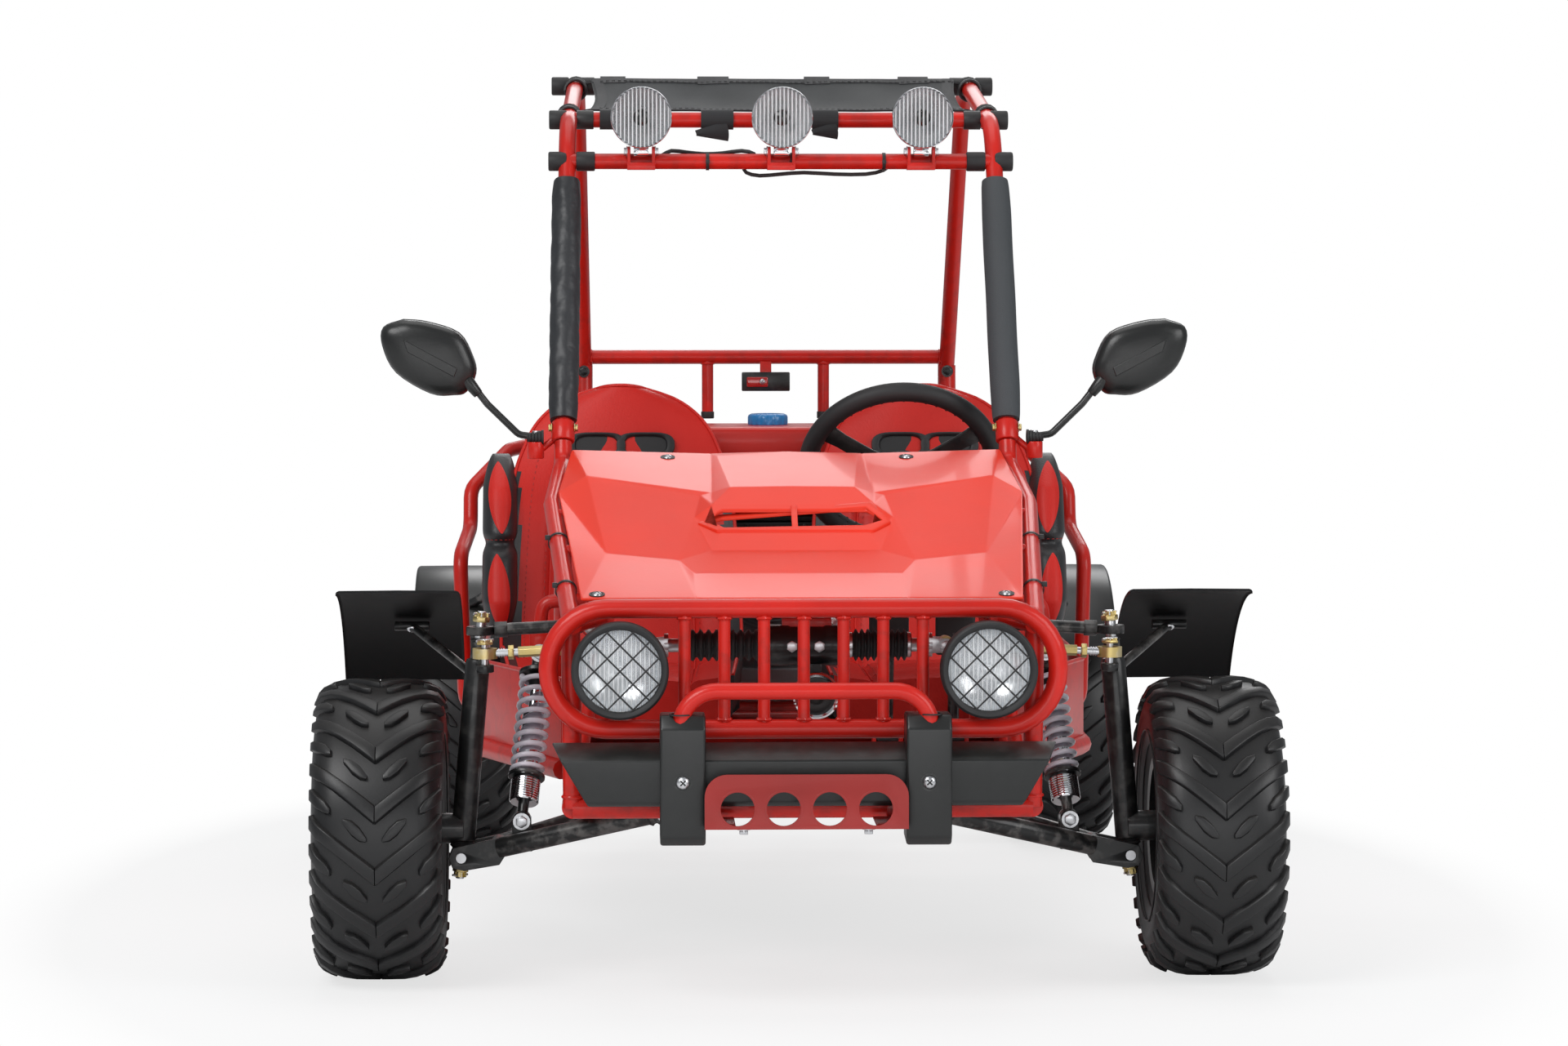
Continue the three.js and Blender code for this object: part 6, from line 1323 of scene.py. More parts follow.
def knuckle(word, side):
    steel, bright, gold = M("black_steel"), M("bright_steel"), M("zinc_gold")
    low, top = lower_ball(side), upper_ball(side)
    axis = (top - low).normalized()
    along = lambda reach: top + axis * reach * MM
    hub = mix(low, top, (WHEEL_Z - 144) / 267)
    barrel = [(8.2, 20), (13.8, 20), (14.5, 21.5), (14.5, 229), (13, 233.5), (9.7, 235)]
    cup = [(6, -13.8), (9.8, -13.6), (10.8, -11.8), (9.4, -9.8), (6.3, -9.4)]
    arm_z = 389 - 17
    eye = at(side * 365, -60, arm_z)
    angle, stay_r = math.radians(57.6), 280 - 4 - 0.72 - 5.6
    stay = at(side * (397 + 61.3), stay_r * math.cos(angle), WHEEL_Z + stay_r * math.sin(angle))
    parts = [
        spun(barrel, low, axis, steel, 40), rod(along(-43), along(-11), 0.0096, steel),
        rod(along(-17), along(20.4), 0.006, bright, bevel=0.001), castle_nut(along(10.2), axis, 0.0102, 0.011, gold),
        spun(cup, top, axis, M("soft_rubber"), 36),
        rod(hub, at(side * 467.6, 0, WHEEL_Z), 0.018, steel, sides=32, bevel=0.001),
        rod(hub, at(side * 522, 0, WHEEL_Z), 0.012, bright, sides=32, bevel=0.001),
        castle_nut(at(side * 510.6, 0, WHEEL_Z), X * side, 0.0175, 0.0105, gold),
        tube([at(side * 372, 0, arm_z), at(side * 368, -30, arm_z), eye], 0.007, steel),
        rod(eye - Z * 0.005, eye + Z * 0.004, 0.0105, steel, sides=28, bevel=0.001),
        rod(eye, at(side * 365, -60, 405), 0.004, bright),
        castle_nut(at(side * 365, -60, 399.5), Z, 0.0106, 0.0055, gold),
        tube([mix(low, top, 0.76), at(side * 386.5, 81.65, 355), stay], 0.0056, steel, 0.028),
        pin(stay, X, 0.021, 0.0056, steel, 20, 0.001),
    ]
    piece(f"knuckle_forged_{word}", f"knuckle_{word}", "black_steel", [f"knuckle_{word}"], parts)


def upper_arm(word, side):
    steel = M("black_steel")
    pivot, eye = at(side * 240, 0, 418), upper_ball(side)
    parts = [
        sleeve(eye, Z, 9.2, 16.7, 5, steel, 40, (0.9, 1)),
        rod(mix(pivot, eye, 0.06), mix(pivot, eye, 0.80), 0.0073, steel, sides=24),
        rod(mix(pivot, eye, 0.76), mix(pivot, eye, 0.875), 0.0095, steel, sides=6, bevel=0.0006),
        sleeve(pivot, Y, 6.4, 13.5, 24, steel, 36, (0.7, 0.8)),
        weld(mix(pivot, eye, 0.105), eye - pivot, 0.0075, steel, 0.9),
    ]
    piece(f"upper_arm_tube_{word}", f"upper_arm_{word}", "black_steel", [f"upper_arm_{word}"], parts)


def tie_rod(word, side):
    gold = M("zinc_gold")
    outer, inner = at(side * 365, -60, 389), at(side * 172, -60, 398)
    span = lambda first, last, radius, finish, **more: rod(mix(inner, outer, first), mix(inner, outer, last), radius,
                                                           finish, **more)
    parts = [
        sleeve(outer + Y * 0.0024, Z, 9.6, 14.5, 6, gold, 40), span(0.05, 0.94, 0.0042, M("bright_steel")),
        span(0.17, 0.80, 0.0065, gold, sides=6, bevel=0.0005), span(0.12, 0.155, 0.0085, gold, sides=6, bevel=0.0006),
        span(0.825, 0.86, 0.0085, gold, sides=6, bevel=0.0006),
    ]
    for share in (0.885, 0.90, 0.915):
        parts.append(strap_ring(mix(inner, outer, share), outer - inner, 0.0042, 0.0014, M("bright_steel"), 0.0010))
    parts.append(sleeve(inner, Y, 4.8, 10.5, 8, gold, 32))
    piece(f"tie_rod_hexagon_{word}", f"tie_rod_{word}", "zinc", [f"tie_rod_{word}"], parts)


def rack_parts():
    bright = M("bright_steel")
    reach = 172 - 10.5 - 5
    parts = [pin(at(0, -60, 398), X, reach * MM, 0.008, bright, 28, 0.001)]
    clevis = (reach - 4.5, 388.5), (reach - 4.5, 407.5), (172, 406), (178, 398), (172, 390)
    for side in (-1, 1):
        for end in (-1, 1):
            y = -60 + end * 10.85
            parts.append(y_plate(side, y, clevis, bright))
            parts += bolt(at(side * 172, y + end * 2.5, 398), Y * end, 0.0062, 0.0045, bright)
        parts.append(pin(at(side * (reach - 2.5), -60, 398), X, 0.0025, 0.0140, bright, 28))
        parts.append(pin(at(side * 172, -60, 398), Y, 0.013, 0.0042, bright))
    piece("rack_bar_ground", "rack", "zinc", ["rack_bar"], parts)


def bellows(start, end, folds=9):
    """A ribbed boot: a small end, convolutions that swell, and a clamp at each end."""
    axis = end - start
    length, unit = axis.length, axis.normalized()
    step = (length - 0.010) / folds
    profile = [(0.0118, 0), (0.0140, 0), (0.0140, 0.005)]
    for i in range(folds):
        for share, r in ((0.2, 0.0143), (0.42, 0.0180), (0.58, 0.0187), (0.74, 0.0180), (0.97, 0.0143)):
            profile.append((r, 0.005 + step * (i + share)))
    profile += [(0.0140, length - 0.005), (0.0140, length), (0.0118, length)]
    return [turned(profile, start, axis, M("soft_rubber"), 40, 60)] + [
        strap_ring(place, axis, 0.0140, 0.0035, M("bright_steel"), 0.0009)
        for place in (start + unit * 0.0028, end - unit * 0.0028)]


def rack_housing():
    steel = M("black_steel")
    parts = bellows(at(-38.2, -60, 398), at(-132, -60, 398)) + bellows(at(58.2, -60, 398), at(132, -60, 398))
    body = [(9, -38), (20, -38), (24, -34), (24, -12), (22.5, -9), (22.5, 29), (24, 32), (24, 54), (20, 58), (9, 58)]
    parts.append(spun(body, at(0, -60, 398), X, steel, 48))
    parts.append(rod(at(34, -48, 406), at(34, -36, 410), 0.0143, steel, sides=32, bevel=0.0012))
    parts.append(block(at(-19, -65, 417), at(39, -55, 429.6), M("tube_paint"), 0.0008))
    for x in (-8, 24):
        parts += bolt(at(x, -66, 398), FRONT, 0.007, 0.018, M("bright_steel"))
    piece("rack_housing_cast", "chassis", "rubber", ["rack_housing"], parts)


def spring(name, body, node_name, low, high, radius, wire_r, curls, joint, keep):
    """A coil from one seat to the other with closed, flattened ends."""
    axis = (high - low).normalized()
    start, end = low + axis * 0.058, high - axis * 0.032
    length = (end - start).length
    side = axis.orthogonal().normalized()
    total = int(bpy.context.scene.kart_sizes.coil_steps * curls)
    edge = 0.75 / curls
    points = []
    for i in range(total + 1):
        t = i / total
        if t < edge:
            rise = wire_r * (0.9 + 1.4 * t / edge)
        elif t > 1 - edge:
            rise = length - wire_r * (0.9 + 1.4 * (1 - t) / edge)
        else:
            rise = wire_r * 2.3 + (length - wire_r * 4.6) * (t - edge) / (1 - 2 * edge)
        points.append(start + axis * rise + Matrix.Rotation(t * curls * math.tau, 3, axis) @ side * radius)
    o = piece(name, body, "spring_paint", [node_name], wire(points, wire_r, M("spring_paint"), sides=16))
    tuple(end)
    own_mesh(o)


def shock(word, upper_name, lower_name, low, high, eye_axis, seat_r):
    """A shock's two halves: the rod with its seat above, and the ringed cup with its barrel below."""
    chrome, steel = M("chrome"), M("black_steel")
    up = (high - low).normalized()
    below = lambda reach: high - up * reach * MM
    length = (low - high).length
    seat = [(6, 27.2), (seat_r - 1, 27.2), (seat_r, 28.2), (seat_r, 31.8), (6, 31.8)]
    upper = [
        sleeve(high, eye_axis, 5.4, 11, 10, steel, 36, (0.6, 0.6)), rod(below(8), below(24), 0.0080, steel),
        rod(below(21.5), below(27), 0.0125, steel, sides=32, bevel=0.0008), spun(seat, high, -up, steel, 40),
        rod(high, below(length * 1000 - 140 + 16.9), 0.0064, chrome),
        rod(below(32), below(46), 0.0105, M("soft_rubber"), far=0.0085, sides=28, bevel=0.0012),
    ]
    piece(f"{word}_shock_rod", upper_name, "chrome", [upper_name], upper)
    cup = [(6, 22), (16, 22), (17, 23.2), (17, 50), (16, 52.8), (6, 53)]
    seat = [(10, 53.2), (seat_r - 1, 53.2), (seat_r, 54.2), (seat_r, 57.2), (10, 57.6)]
    barrel = [(7.3, 139), (11.8, 140), (12.5, 138.5), (12.5, 53), (8, 53)]
    lower = [
        sleeve(low, eye_axis, 6.6, 11, 10, steel, 36, (0.6, 0.6)), rod(low, low + up * 0.027, 0.0064, steel),
        spun(cup, low, up, chrome, 44), spun(seat, low, up, steel, 40),
    ]
    lower += [strap_ring(low + up * (0.0245 + 0.003 * k), up, 0.0169, 0.0013, chrome, 0.0007) for k in range(9)]
    lower.append(spun(barrel, low, up, chrome, 40))
    piece(f"{word}_shock_barrel", lower_name, "chrome", [lower_name], lower)


class KART_OT_front_suspension(bpy.types.Operator):
    """Make both front corners: arms, ball joints, knuckles, shocks and springs"""

    bl_idname = "kart.front_suspension"
    bl_label = "Front suspension"

    def execute(self, context):
        for word, side in SIDES:
            for make in (lower_arm, ball_joint, knuckle, upper_arm):
                make(word, side)
            low, high = at(side * 324, 8, 186), at(side * 304, 115, 376)
            shock(f"front_{word}", f"front_shock_upper_{word}", f"front_shock_lower_{word}", low, high, Y, 22)
            spring(f"front_spring_coil_{word}", f"front_shock_upper_{word}", f"front_spring_{word}", low, high, 0.018,
                   0.00315, 9.4, f"front_shock_press_{word}", 0.845)
        return {"FINISHED"}


class KART_OT_rear_suspension(bpy.types.Operator):
    """Weld the swing arm and make the rear shock with its spring"""

    bl_idname = "kart.rear_suspension"
    bl_label = "Rear suspension"

    def execute(self, context):
        low, high = at(0, 1250, 242), at(0, 1186, 474)
        shock("rear", "rear_shock_upper", "rear_shock_lower", low, high, X, 22 * 22 / 18)
        spring("rear_spring_coil", "rear_shock_upper", "rear_spring", low, high, 0.022, 0.004, 6.4, "rear_shock_press",
               0.870)
        swing_arm()
        return {"FINISHED"}


def swing_arm():
    paint = M("tube_paint")
    pivot, axle = at(0, 1110, 225), at(0, REAR_Y, WHEEL_Z)
    cross_z = 225 - 47.5 * (1214 - 1110) / 200
    parts = [sleeve(pivot, X, 6.5, 16, 140, paint, 36, (0.5, 1))]
    for side in (-1, 1):
        parts.append(side_rod(side, (112, 1110, 225), (190, 1286, WHEEL_Z), 0.014, paint, sides=24))
        parts.append(sleeve(at(side * 190, REAR_Y, WHEEL_Z), X, 15.6, 30, 15, paint, 40, (1, 1)))
        parts.append(weld(at(side * 116, 1119, 222.5), (side * 0.4, 0.9, -0.25), 0.0144, paint))
    parts.append(cross_rod(162, 1214, cross_z, 0.0112, paint, sides=24))
    ear = ((1212, cross_z), (1212, cross_z + 12), (1240, 252), (1254, 253), (1261, 244), (1258, 232), (1226, cross_z))
    parts += [x_plate(side * 14.5, ear, paint) for side in (-1, 1)]
    parts.append(pin(at(0, 1250, 242), X, 0.0190, 0.005, M("bright_steel")))
    parts += bolt(at(17, 1250, 242), X, 0.0075, 0.006, M("bright_steel"))
    slope = math.atan2(-47.5, 200)
    outline = []
    for y, z, radius, start, steps in ((REAR_Y, WHEEL_Z, 46, -0.5, 12), (1110, 225, 16.8, 0.5, 6)):
        for i in range(steps + 1):
            a = slope + math.pi * (start + i / steps)
            outline.append(at(72, y + radius * math.cos(a), z + radius * math.sin(a)))
    case = plate(outline, X * 0.022, None)
    carve(case, pin(axle, X, 0.2, 0.0156, None, 32), pin(pivot, X, 0.2, 0.0155, None, 32))
    parts.append(finish_mesh(bevelled(case, 0.003, 3), M("black_plastic")))
    piece("swing_arm_welded", "swing_arm", "tube_paint", ["swing_arm"], parts)


# Lamps


def mesh_guard(front, reach=0.0485):
    """Crossed wires at half a right angle, ended at the ring of the lamp."""
    sizes = bpy.context.scene.kart_sizes
    rubber = M("soft_rubber")
    parts = []
    for lean in (-1, 1):
        along = Vector((1, 0, lean)).normalized()
        across = Vector((-along.z, 0, along.x))
        for i in range(-2, 3):
            offset = i * sizes.mesh_pitch
            middle = front + across * offset - Y * 0.0007 * lean
            half = along * math.sqrt(max(0, reach * reach - offset * offset))
            points = []
            for k in range(17):
                s = k / 16
                points.append(mix(middle - half, middle + half, s) - Y * 0.0022 * math.sin(math.pi * s))
            parts.append(wire(points, sizes.mesh_wire, rubber, sides=8))
    parts.append(wire(round_points(front, X * reach, Z * reach, 48), 0.0017, rubber, closed=True, sides=12))
    return parts


def headlamp(word, side):
    front, neck_end = at(side * 208, -270, 386), at(side * 208, -205, 386)
    ring = [(46.5, 8), (46.5, 3), (48.5, 0.8), (52, 0), (54, 1.2), (55, 4), (55, 25), (53.5, 26.5), (47, 29)]
    lens = [(0, 4.2), (14, 4.6), (30, 6), (42, 8.6), (46.6, 10.5), (46.6, 12.5), (42, 10.6), (30, 8), (14, 6.6),
            (0, 6.2)]
    bowl = [(46.4, 13), (44, 19), (37, 27), (26, 33.5), (14, 37), (8, 38)]
    bulb = [(0, 17), (3.5, 18), (5, 21), (5, 31), (7.5, 33), (8, 39)]
    shell = [(47, 28.5), (43, 36), (33, 42), (20, 45), (0, 46)]
    steel = M("black_steel")
    parts = [
        spun(ring, front, Y, M("soft_rubber"), 64, 40), spun(lens, front, Y, M("lens_glass"), 64, 40),
        spun(bowl, front, Y, M("reflector"), 64, 60), spun(bulb, front, Y, M("reflector"), 32, 40),
        spun(shell, front, Y, steel, 64, 50), mesh_guard(front + Y * 0.0036),
        rod(front + Y * 0.042, neck_end, 0.0084, steel, sides=24),
        sleeve(neck_end, X, 4.6, 9, 11.6, steel, 28, (0.2, 0.6)), connector(side, front),
    ]
    piece(f"headlamp_assembled_{word}", f"headlamp_{word}", "lens", [f"headlamp_{word}"], parts)


def connector(side, front):
    """The pale plug and its short lead behind the lamp."""
    plug = front + Vector((side * 0.004, 0.030, -0.0475))
    low, high = plug - Vector((0.009, 0.008, 0.006)), plug + Vector((0.009, 0.008, 0.004))
    parts = [block(low, high, M("beige_plastic"), 0.0012)]
    for shift in (-0.004, 0.0, 0.004):
        lead = [plug + Vector((shift, 0.007, 0)), plug + Vector((shift, 0.013, 0.004)),
                front + Vector((shift, 0.040, -0.028))]
        parts.append(tube(lead, 0.0012, M("nylon"), 0.006, 8))
    return parts


def roof_lamp(word, place):
    x = place * 179
    front, pivot = at(x, 466, 1026), at(x, 505, 983)
    shell = [(37.0, 3.4), (38.2, 0.4), (39, 1.6), (39, 8), (38, 9.5), (38.4, 11), (38.4, 26), (36.5, 40), (33, 52),
             (27, 66), (19.5, 79), (11, 87), (0, 90)]
    lens = [(0, 2.6), (16, 2.8), (30, 3.3), (37.2, 4.2), (37.2, 6), (30, 5.2), (16, 4.8), (0, 4.6)]
    bowl = [(37.2, 6.5), (34, 14), (28, 22), (19, 28), (8, 31), (0, 31.5)]
    bulb = [(0, 8), (7, 9), (10.5, 12), (10.5, 15), (5, 18), (5, 25), (7, 31)]
    chrome = M("chrome")
    parts = [
        spun(shell, front, Y, chrome, 64, 40), spun(lens, front, Y, M("lens_glass"), 64, 40),
        spun(bowl, front, Y, M("reflector"), 64, 60), spun(bulb, front, Y, M("lamp_dark"), 28, 40),
        sleeve(pivot, X, 4.2, 7.8, 9.4, chrome, 28, (0.2, 0.4)),
        rod(pivot + Z * 0.006, at(x, 505, 1000), 0.006, chrome, sides=24),
        rod(at(x, 505, 990), at(x, 505, 993), 0.0095, M("bright_steel"), sides=6, bevel=0.0004),
    ]
    piece(f"roof_lamp_bullet_{word}", f"roof_lamp_{word}", "chrome", [f"roof_lamp_{word}"], parts)


LEAD_BACK = 520 + 9 + 2.6 + 0.3
LEAD_ROUTE = (
    (-152, 0, 979), (-140, 6, 985), (-120, 8, 983), (-98, 8, 981), (-74, 8, 982), (-50, 6, 985), (-34, 2, 981),
    (-33, 0, 972), (-46, 0, 965), (-44, -1, 957), (-27, -3, 953), (0, -4, 955), (30, -4, 957), (70, -4, 955),
    (109, -3, 955), (132, -1, 960), (143, 0, 969), (150, 0, 978),
)


def smooth_run(points, steps=4):
    """Points on a Catmull-Rom line through the given ones."""
    run = []
    ends = [points[0] * 2 - points[1], *points, points[-1] * 2 - points[-2]]
    for a, b, c, d in zip(ends, ends[1:], ends[2:], ends[3:]):
        for t in (k / steps for k in range(steps)):
            run.append(0.5 * ((2 * b) + (c - a) * t + (2 * a - 5 * b + 4 * c - d) * t * t
                              + (3 * b - a - 3 * c + d) * t ** 3))
    run.append(points[-1])
    return run


class KART_OT_lamp_lead(bpy.types.Operator):
    """Run the lead between the roof lamps along the light bar"""

    bl_idname = "kart.lamp_lead"
    bl_label = "Lamp lead"

    def execute(self, context):
        route = smooth_run([at(x, LEAD_BACK + back, z) for x, back, z in LEAD_ROUTE], 2)
        lead = wire(route, 0.0026, M("soft_rubber"), sides=12)
        piece("lamp_lead_cord", "chassis", "rubber", ["lamp_lead"], lead)
        long = sum((b - a).length for a, b in zip(route, route[1:]))
        tuple(route[0])
        [tuple(p) for p in route]
        return {"FINISHED"}


class KART_OT_lamps(bpy.types.Operator):
    """Make the headlamps, the roof lamps and the tail lamp"""

    bl_idname = "kart.lamps"
    bl_label = "Lamps"

    def execute(self, context):
        for word, side in SIDES:
            headlamp(word, side)
        for word, place in (("right", -1), ("centre", 0), ("left", 1)):
            roof_lamp(word, place)
        tail_lamp()
        return {"FINISHED"}


def tail_lamp():
    """The rear plate with its lamp, seen from behind, and the bolt that holds it."""
    face = 1150 - 11 - 0.3
    parts = [
        block(at(-34, face - 5, 658), at(34, face, 685), M("black_plastic"), 0.0016),
        block(at(-27, face - 7.9, 664), at(3, face - 4.6, 678), M("tail_red"), 0.002, 3),
        pan_screw(at(-5, face - 7.8, 671.5), FRONT, 0.0042, M("bright_steel")),
    ]
    piece("tail_lamp_plate", "chassis", "lens", ["tail_lamp"], parts)


# Soft pieces: seats, roof canvas and pillar pads


def pillar_at(side, z):
    """The pillar's centre line at a height."""
    f = (z - 619) / (1016 - 619)
    return at(side * (278 - 5 * f), 350 + 192 * f, z)


def pillar_pad(word, side):
    """A split foam sleeve: one smooth, the other in a wrinkled cover."""
    smooth = side > 0
    low, high = pillar_at(side, 645), pillar_at(side, 945)
    axis = high - low
    across = axis.orthogonal().normalized()
    other = axis.normalized().cross(across)
    rows, cols = 46, 40
    rings = []
    for s in (i / rows for i in range(rows + 1)):
        end = min(1, 7 * min(s, 1 - s)) ** 0.5
        ring = []
        for a in (math.tau * k / cols for k in range(cols)):
            r = 0.0168 + 0.0020 * end
            if smooth:
                r += 0.0002 * math.sin(s * 17 + a)
            else:
                r += 0.0005 * math.sin(s * 62 + 2.1 * math.sin(a * 2 + s * 5)) * end + 0.0004 * math.sin(a * 5 + s * 23)
            ring.append(low + axis * s + (across * math.cos(a) + other * math.sin(a)) * min(r, 0.0190))
        rings.append(ring)
    unit = axis.normalized()
    outer = carve(lofted(rings, None, 60), rod(low - unit * 0.02, high + unit * 0.02, 0.0116, None, sides=32))
    seam = [low + axis * (0.01 + 0.98 * i / 40) + Vector((0, 0.0172, -0.0075)) for i in range(41)]
    parts = [finish_mesh(outer, M("pad_foam" if smooth else "pad_vinyl"), 60), wire(seam, 0.0010, M("nylon"), sides=8)]
    o = piece(f"pillar_pad_sleeve_{word}", "chassis", "pad_foam", [f"pillar_pad_{word}"], parts)


FRONT_TUBE, REAR_TUBE = ROOF_TUBES[1:]
# The cloth goes round the front tube up to the first share of its length, and round the rear one from the second.
WRAP_ENDS = (0.17, 0.83)
CLOTH_HALF = 246


def canvas_point(across, share, lift=0.0):
    """A point of the roof cloth: share 0 to 1 from the front wrap to the rear wrap."""
    (y0, z0), (y1, z1) = FRONT_TUBE, REAR_TUBE
    first, last = WRAP_ENDS
    slope = math.atan2(z1 - z0, y1 - y0)
    wrap = 11.2 + lift
    if share < first:
        a = math.pi * 1.3 - (math.pi * 0.8 - slope) * share / first
        return at(across, y0 + wrap * math.cos(a), z0 + wrap * math.sin(a))
    if share > last:
        a = math.pi * 0.5 + slope - (math.pi * 0.8 + slope) * (share - last) / (1 - last)
        return at(across, y1 + wrap * math.cos(a), z1 + wrap * math.sin(a))
    s = (share - first) / (last - first)
    a = math.pi / 2 + slope
    u = across / CLOTH_HALF
    ripple = math.sin(u * 11 + s * 4) + 0.6 * math.sin(u * 23 - s * 6 + 1)
    drop = 12 * (1 - 0.5 * u * u) - 1.6 * ripple - 1.0 * math.sin(s * 9 + u * 3) * u * u
    return at(across, y0 + wrap * math.cos(a) + (y1 - y0) * s,
              z0 + wrap * math.sin(a) + (z1 - z0) * s - drop * math.sin(math.pi * s))


def grid(name, rows, cols, place):
    """A sheet of faces through place(u, v), with both shares from 0 to 1."""
    points = [place(i / cols, j / rows) for j in range(rows + 1) for i in range(cols + 1)]
    return finish_mesh(mesh_object(name, points, faces=grid_faces(rows, cols)), None, smooth=False)


def grid_faces(rows, cols):
    marks = [j * (cols + 1) + i for j in range(rows) for i in range(cols)]
    return [(a, a + 1, a + cols + 2, a + cols + 1) for a in marks]


def roof_sheet(across, shares, cols, rows, lift, thick, material, edge=None):
    """A strip of cloth over the roof, as a grid thickened both ways."""
    def place(u, v):
        s = mix(*shares, v)
        return canvas_point(mix(*across, u) * (1 - (edge(s) if edge else 0)), s, lift)

    sheet = modify(grid("sheet", rows, cols, place), "SOLIDIFY", thickness=thick, offset=0)
    return finish_mesh(sheet, material, 60)


def edge_pull(s):
    """How far the cloth's side edge is drawn in between the tubes."""
    return 0.030 * math.sin(math.pi * max(0, min(1, (s - 0.17) / 0.66)))


def roof_canvas():
    web, nylon = M("webbing"), M("nylon")
    cloth_half = (-CLOTH_HALF, CLOTH_HALF)
    main = roof_sheet(cloth_half, (0.19, 0.81), 72, 80, 0.3, 0.0016, M("roof_cloth"), edge_pull)
    o = piece("roof_canvas_cloth", "chassis", "canvas", ["roof_canvas"], main)
    parts = [roof_sheet((-243, 243), ends, 60, 6, 1.5, 0.0010, web) for ends in ((0.192, 0.235), (0.765, 0.808))]
    parts += [roof_sheet((side * 230, side * 243), (0.19, 0.81), 3, 60, 1.5, 0.0010, web, edge_pull)
              for side in (-1, 1)]
    parts += [stitches([canvas_point(-238 + 476 * i / 120, s, 2.4) for i in range(121)], nylon)
              for s in (0.239, 0.227, 0.761, 0.773)]
    hems = piece("roof_canvas_hems", "chassis", "canvas", [], parts)
    parts = [roof_sheet((x - half, x + half), ends, 6, 40, 1.7, 0.0011, web)
             for x, half in ((-215, 17), (-80, 21), (60, 17), (190, 20)) for ends in ((-0.02, 0.25), (0.75, 1.02))]
    parts += [strap_tail(-89, 16, 21), strap_tail(57, 14, 16.5), corner_cords()]
    straps = piece("roof_canvas_straps", "chassis", "canvas", [], parts)


def strap_tail(x, drop, half):
    """A free end of cloth that hangs in front of the tube."""
    points = [at(x + 3 * math.sin(s * 2.2), 587.0 - 3 * math.sin(s * 3.1), 1018 - drop * s)
              for s in (i / 16 for i in range(17))]
    return ribbon(points, X, half * MM, 0.0012, M("webbing"))


def corner_cords():
    """Black cord wound round the side tubes at the cloth's corners, and the sleeves of the cross tubes."""
    parts = []
    for side in (-1, 1):
        for y0 in (613, 826):
            run = []
            for i in range(65):
                a = math.tau * i / 16
                y = y0 + i * 0.36
                x = 273 - (y - 600) * 9 / 260
                run.append(at(side * (x + 14.2 * math.cos(a)), y, 1026 + 0.2 * (y - 600) + 14.2 * math.sin(a)))
            run.append(at(side * 243, y0 + 10, 1026 + 0.2 * (y0 - 590) + 9))
            parts.append(wire(run, 0.0022, M("nylon"), sides=8))
        parts += [pin(at(side * 251, y, z), X, 0.011, 0.0122, M("nylon"), 32, 0.0008)
                  for y, z in (FRONT_TUBE, REAR_TUBE)]
    return parts


def ribbon(points, across, half, thick, material):
    """A flat band along points, as wide as twice half."""
    rings = []
    for i, p in enumerate(points):
        run = (points[min(i + 1, len(points) - 1)] - points[max(i - 1, 0)]).normalized()
        wide = (across - run * across.dot(run)).normalized() * half
        up = run.cross(wide).normalized() * thick / 2
        rings.append([p - wide - up, p + wide - up, p + wide + up, p - wide + up])
    return lofted(rings, material, 50)


def stitches(points, material, size=0.0006):
    """Short raised stitches along a line, all in one mesh."""
    gap = bpy.context.scene.kart_sizes.stitch
    verts, faces = [], []
    travelled, last = 0.0, points[0]
    for p in points[1:]:
        travelled += (p - last).length
        if travelled >= gap:
            run = (p - last).normalized() * gap * 0.32
            side = run.cross(Vector((0.2, 0.5, 0.84))).normalized() * size
            up = side.cross(run).normalized() * size
            base = len(verts)
            for along, lift in ((-1, 0.2), (0, 1.1), (1, 0.2)):
                centre = p + run * along
                verts += [centre - side, centre + up * lift * 1.4, centre + side, centre - up * 0.6]
            for k in (base, base + 4):
                faces += [(k + i, k + (i + 1) % 4, k + 4 + (i + 1) % 4, k + 4 + i) for i in range(4)]
            faces += [tuple(base + k for k in (3, 2, 1, 0)), tuple(base + k for k in (8, 9, 10, 11))]
            travelled = 0.0
        last = p
    return finish_mesh(mesh_object("stitches", verts, faces=faces), material, 60)


SEAT_SPINE = ((470, 301.4), (605, 308.6), (685, 294.2), (752.8, 344.6), (796, 473.6), (850, 672))


def spline(points, t):
    """A point and direction on a Catmull-Rom line through two-number points."""
    ends = [tuple(2 * a - b for a, b in zip(points[0], points[1])), *points,
            tuple(2 * a - b for a, b in zip(points[-1], points[-2]))]
    spans = len(points) - 1
    k = min(int(t * spans), spans - 1)
    f = t * spans - k
    place, run = [], []
    for a, b, c, d in zip(*ends[k:k + 4]):
        square, cube = 2 * a - 5 * b + 4 * c - d, 3 * b - a - 3 * c + d
        place.append(0.5 * (2 * b + (c - a) * f + square * f * f + cube * f ** 3))
        run.append(0.5 * ((c - a) + 2 * square * f + 3 * cube * f * f))
    size = math.hypot(*run)
    return place, (run[0] / size, run[1] / size)


def even(points, count=200):
    """Shares of a spline spaced evenly by length."""
    marks, total, last = [0.0], 0.0, spline(points, 0)[0]
    for i in range(1, count + 1):
        here = spline(points, i / count)[0]
        total += math.dist(here, last)
        marks.append(total)
        last = here
    return [m / total for m in marks]


SEAT_MARKS = even(SEAT_SPINE)
SEAT_HALF = 150


def seat_place(v):
    """Place and outward direction of the seat's middle line at an even share."""
    t = 1.0
    for i, m in enumerate(SEAT_MARKS[1:]):
        if m >= v:
            t = (i + (v - SEAT_MARKS[i]) / (m - SEAT_MARKS[i])) / (len(SEAT_MARKS) - 1)
            break
    (y, z), (ry, rz) = spline(SEAT_SPINE, min(1, t))
    sign = 1 if ry + rz > 0 else -1
    return y, z, -rz * sign, ry * sign


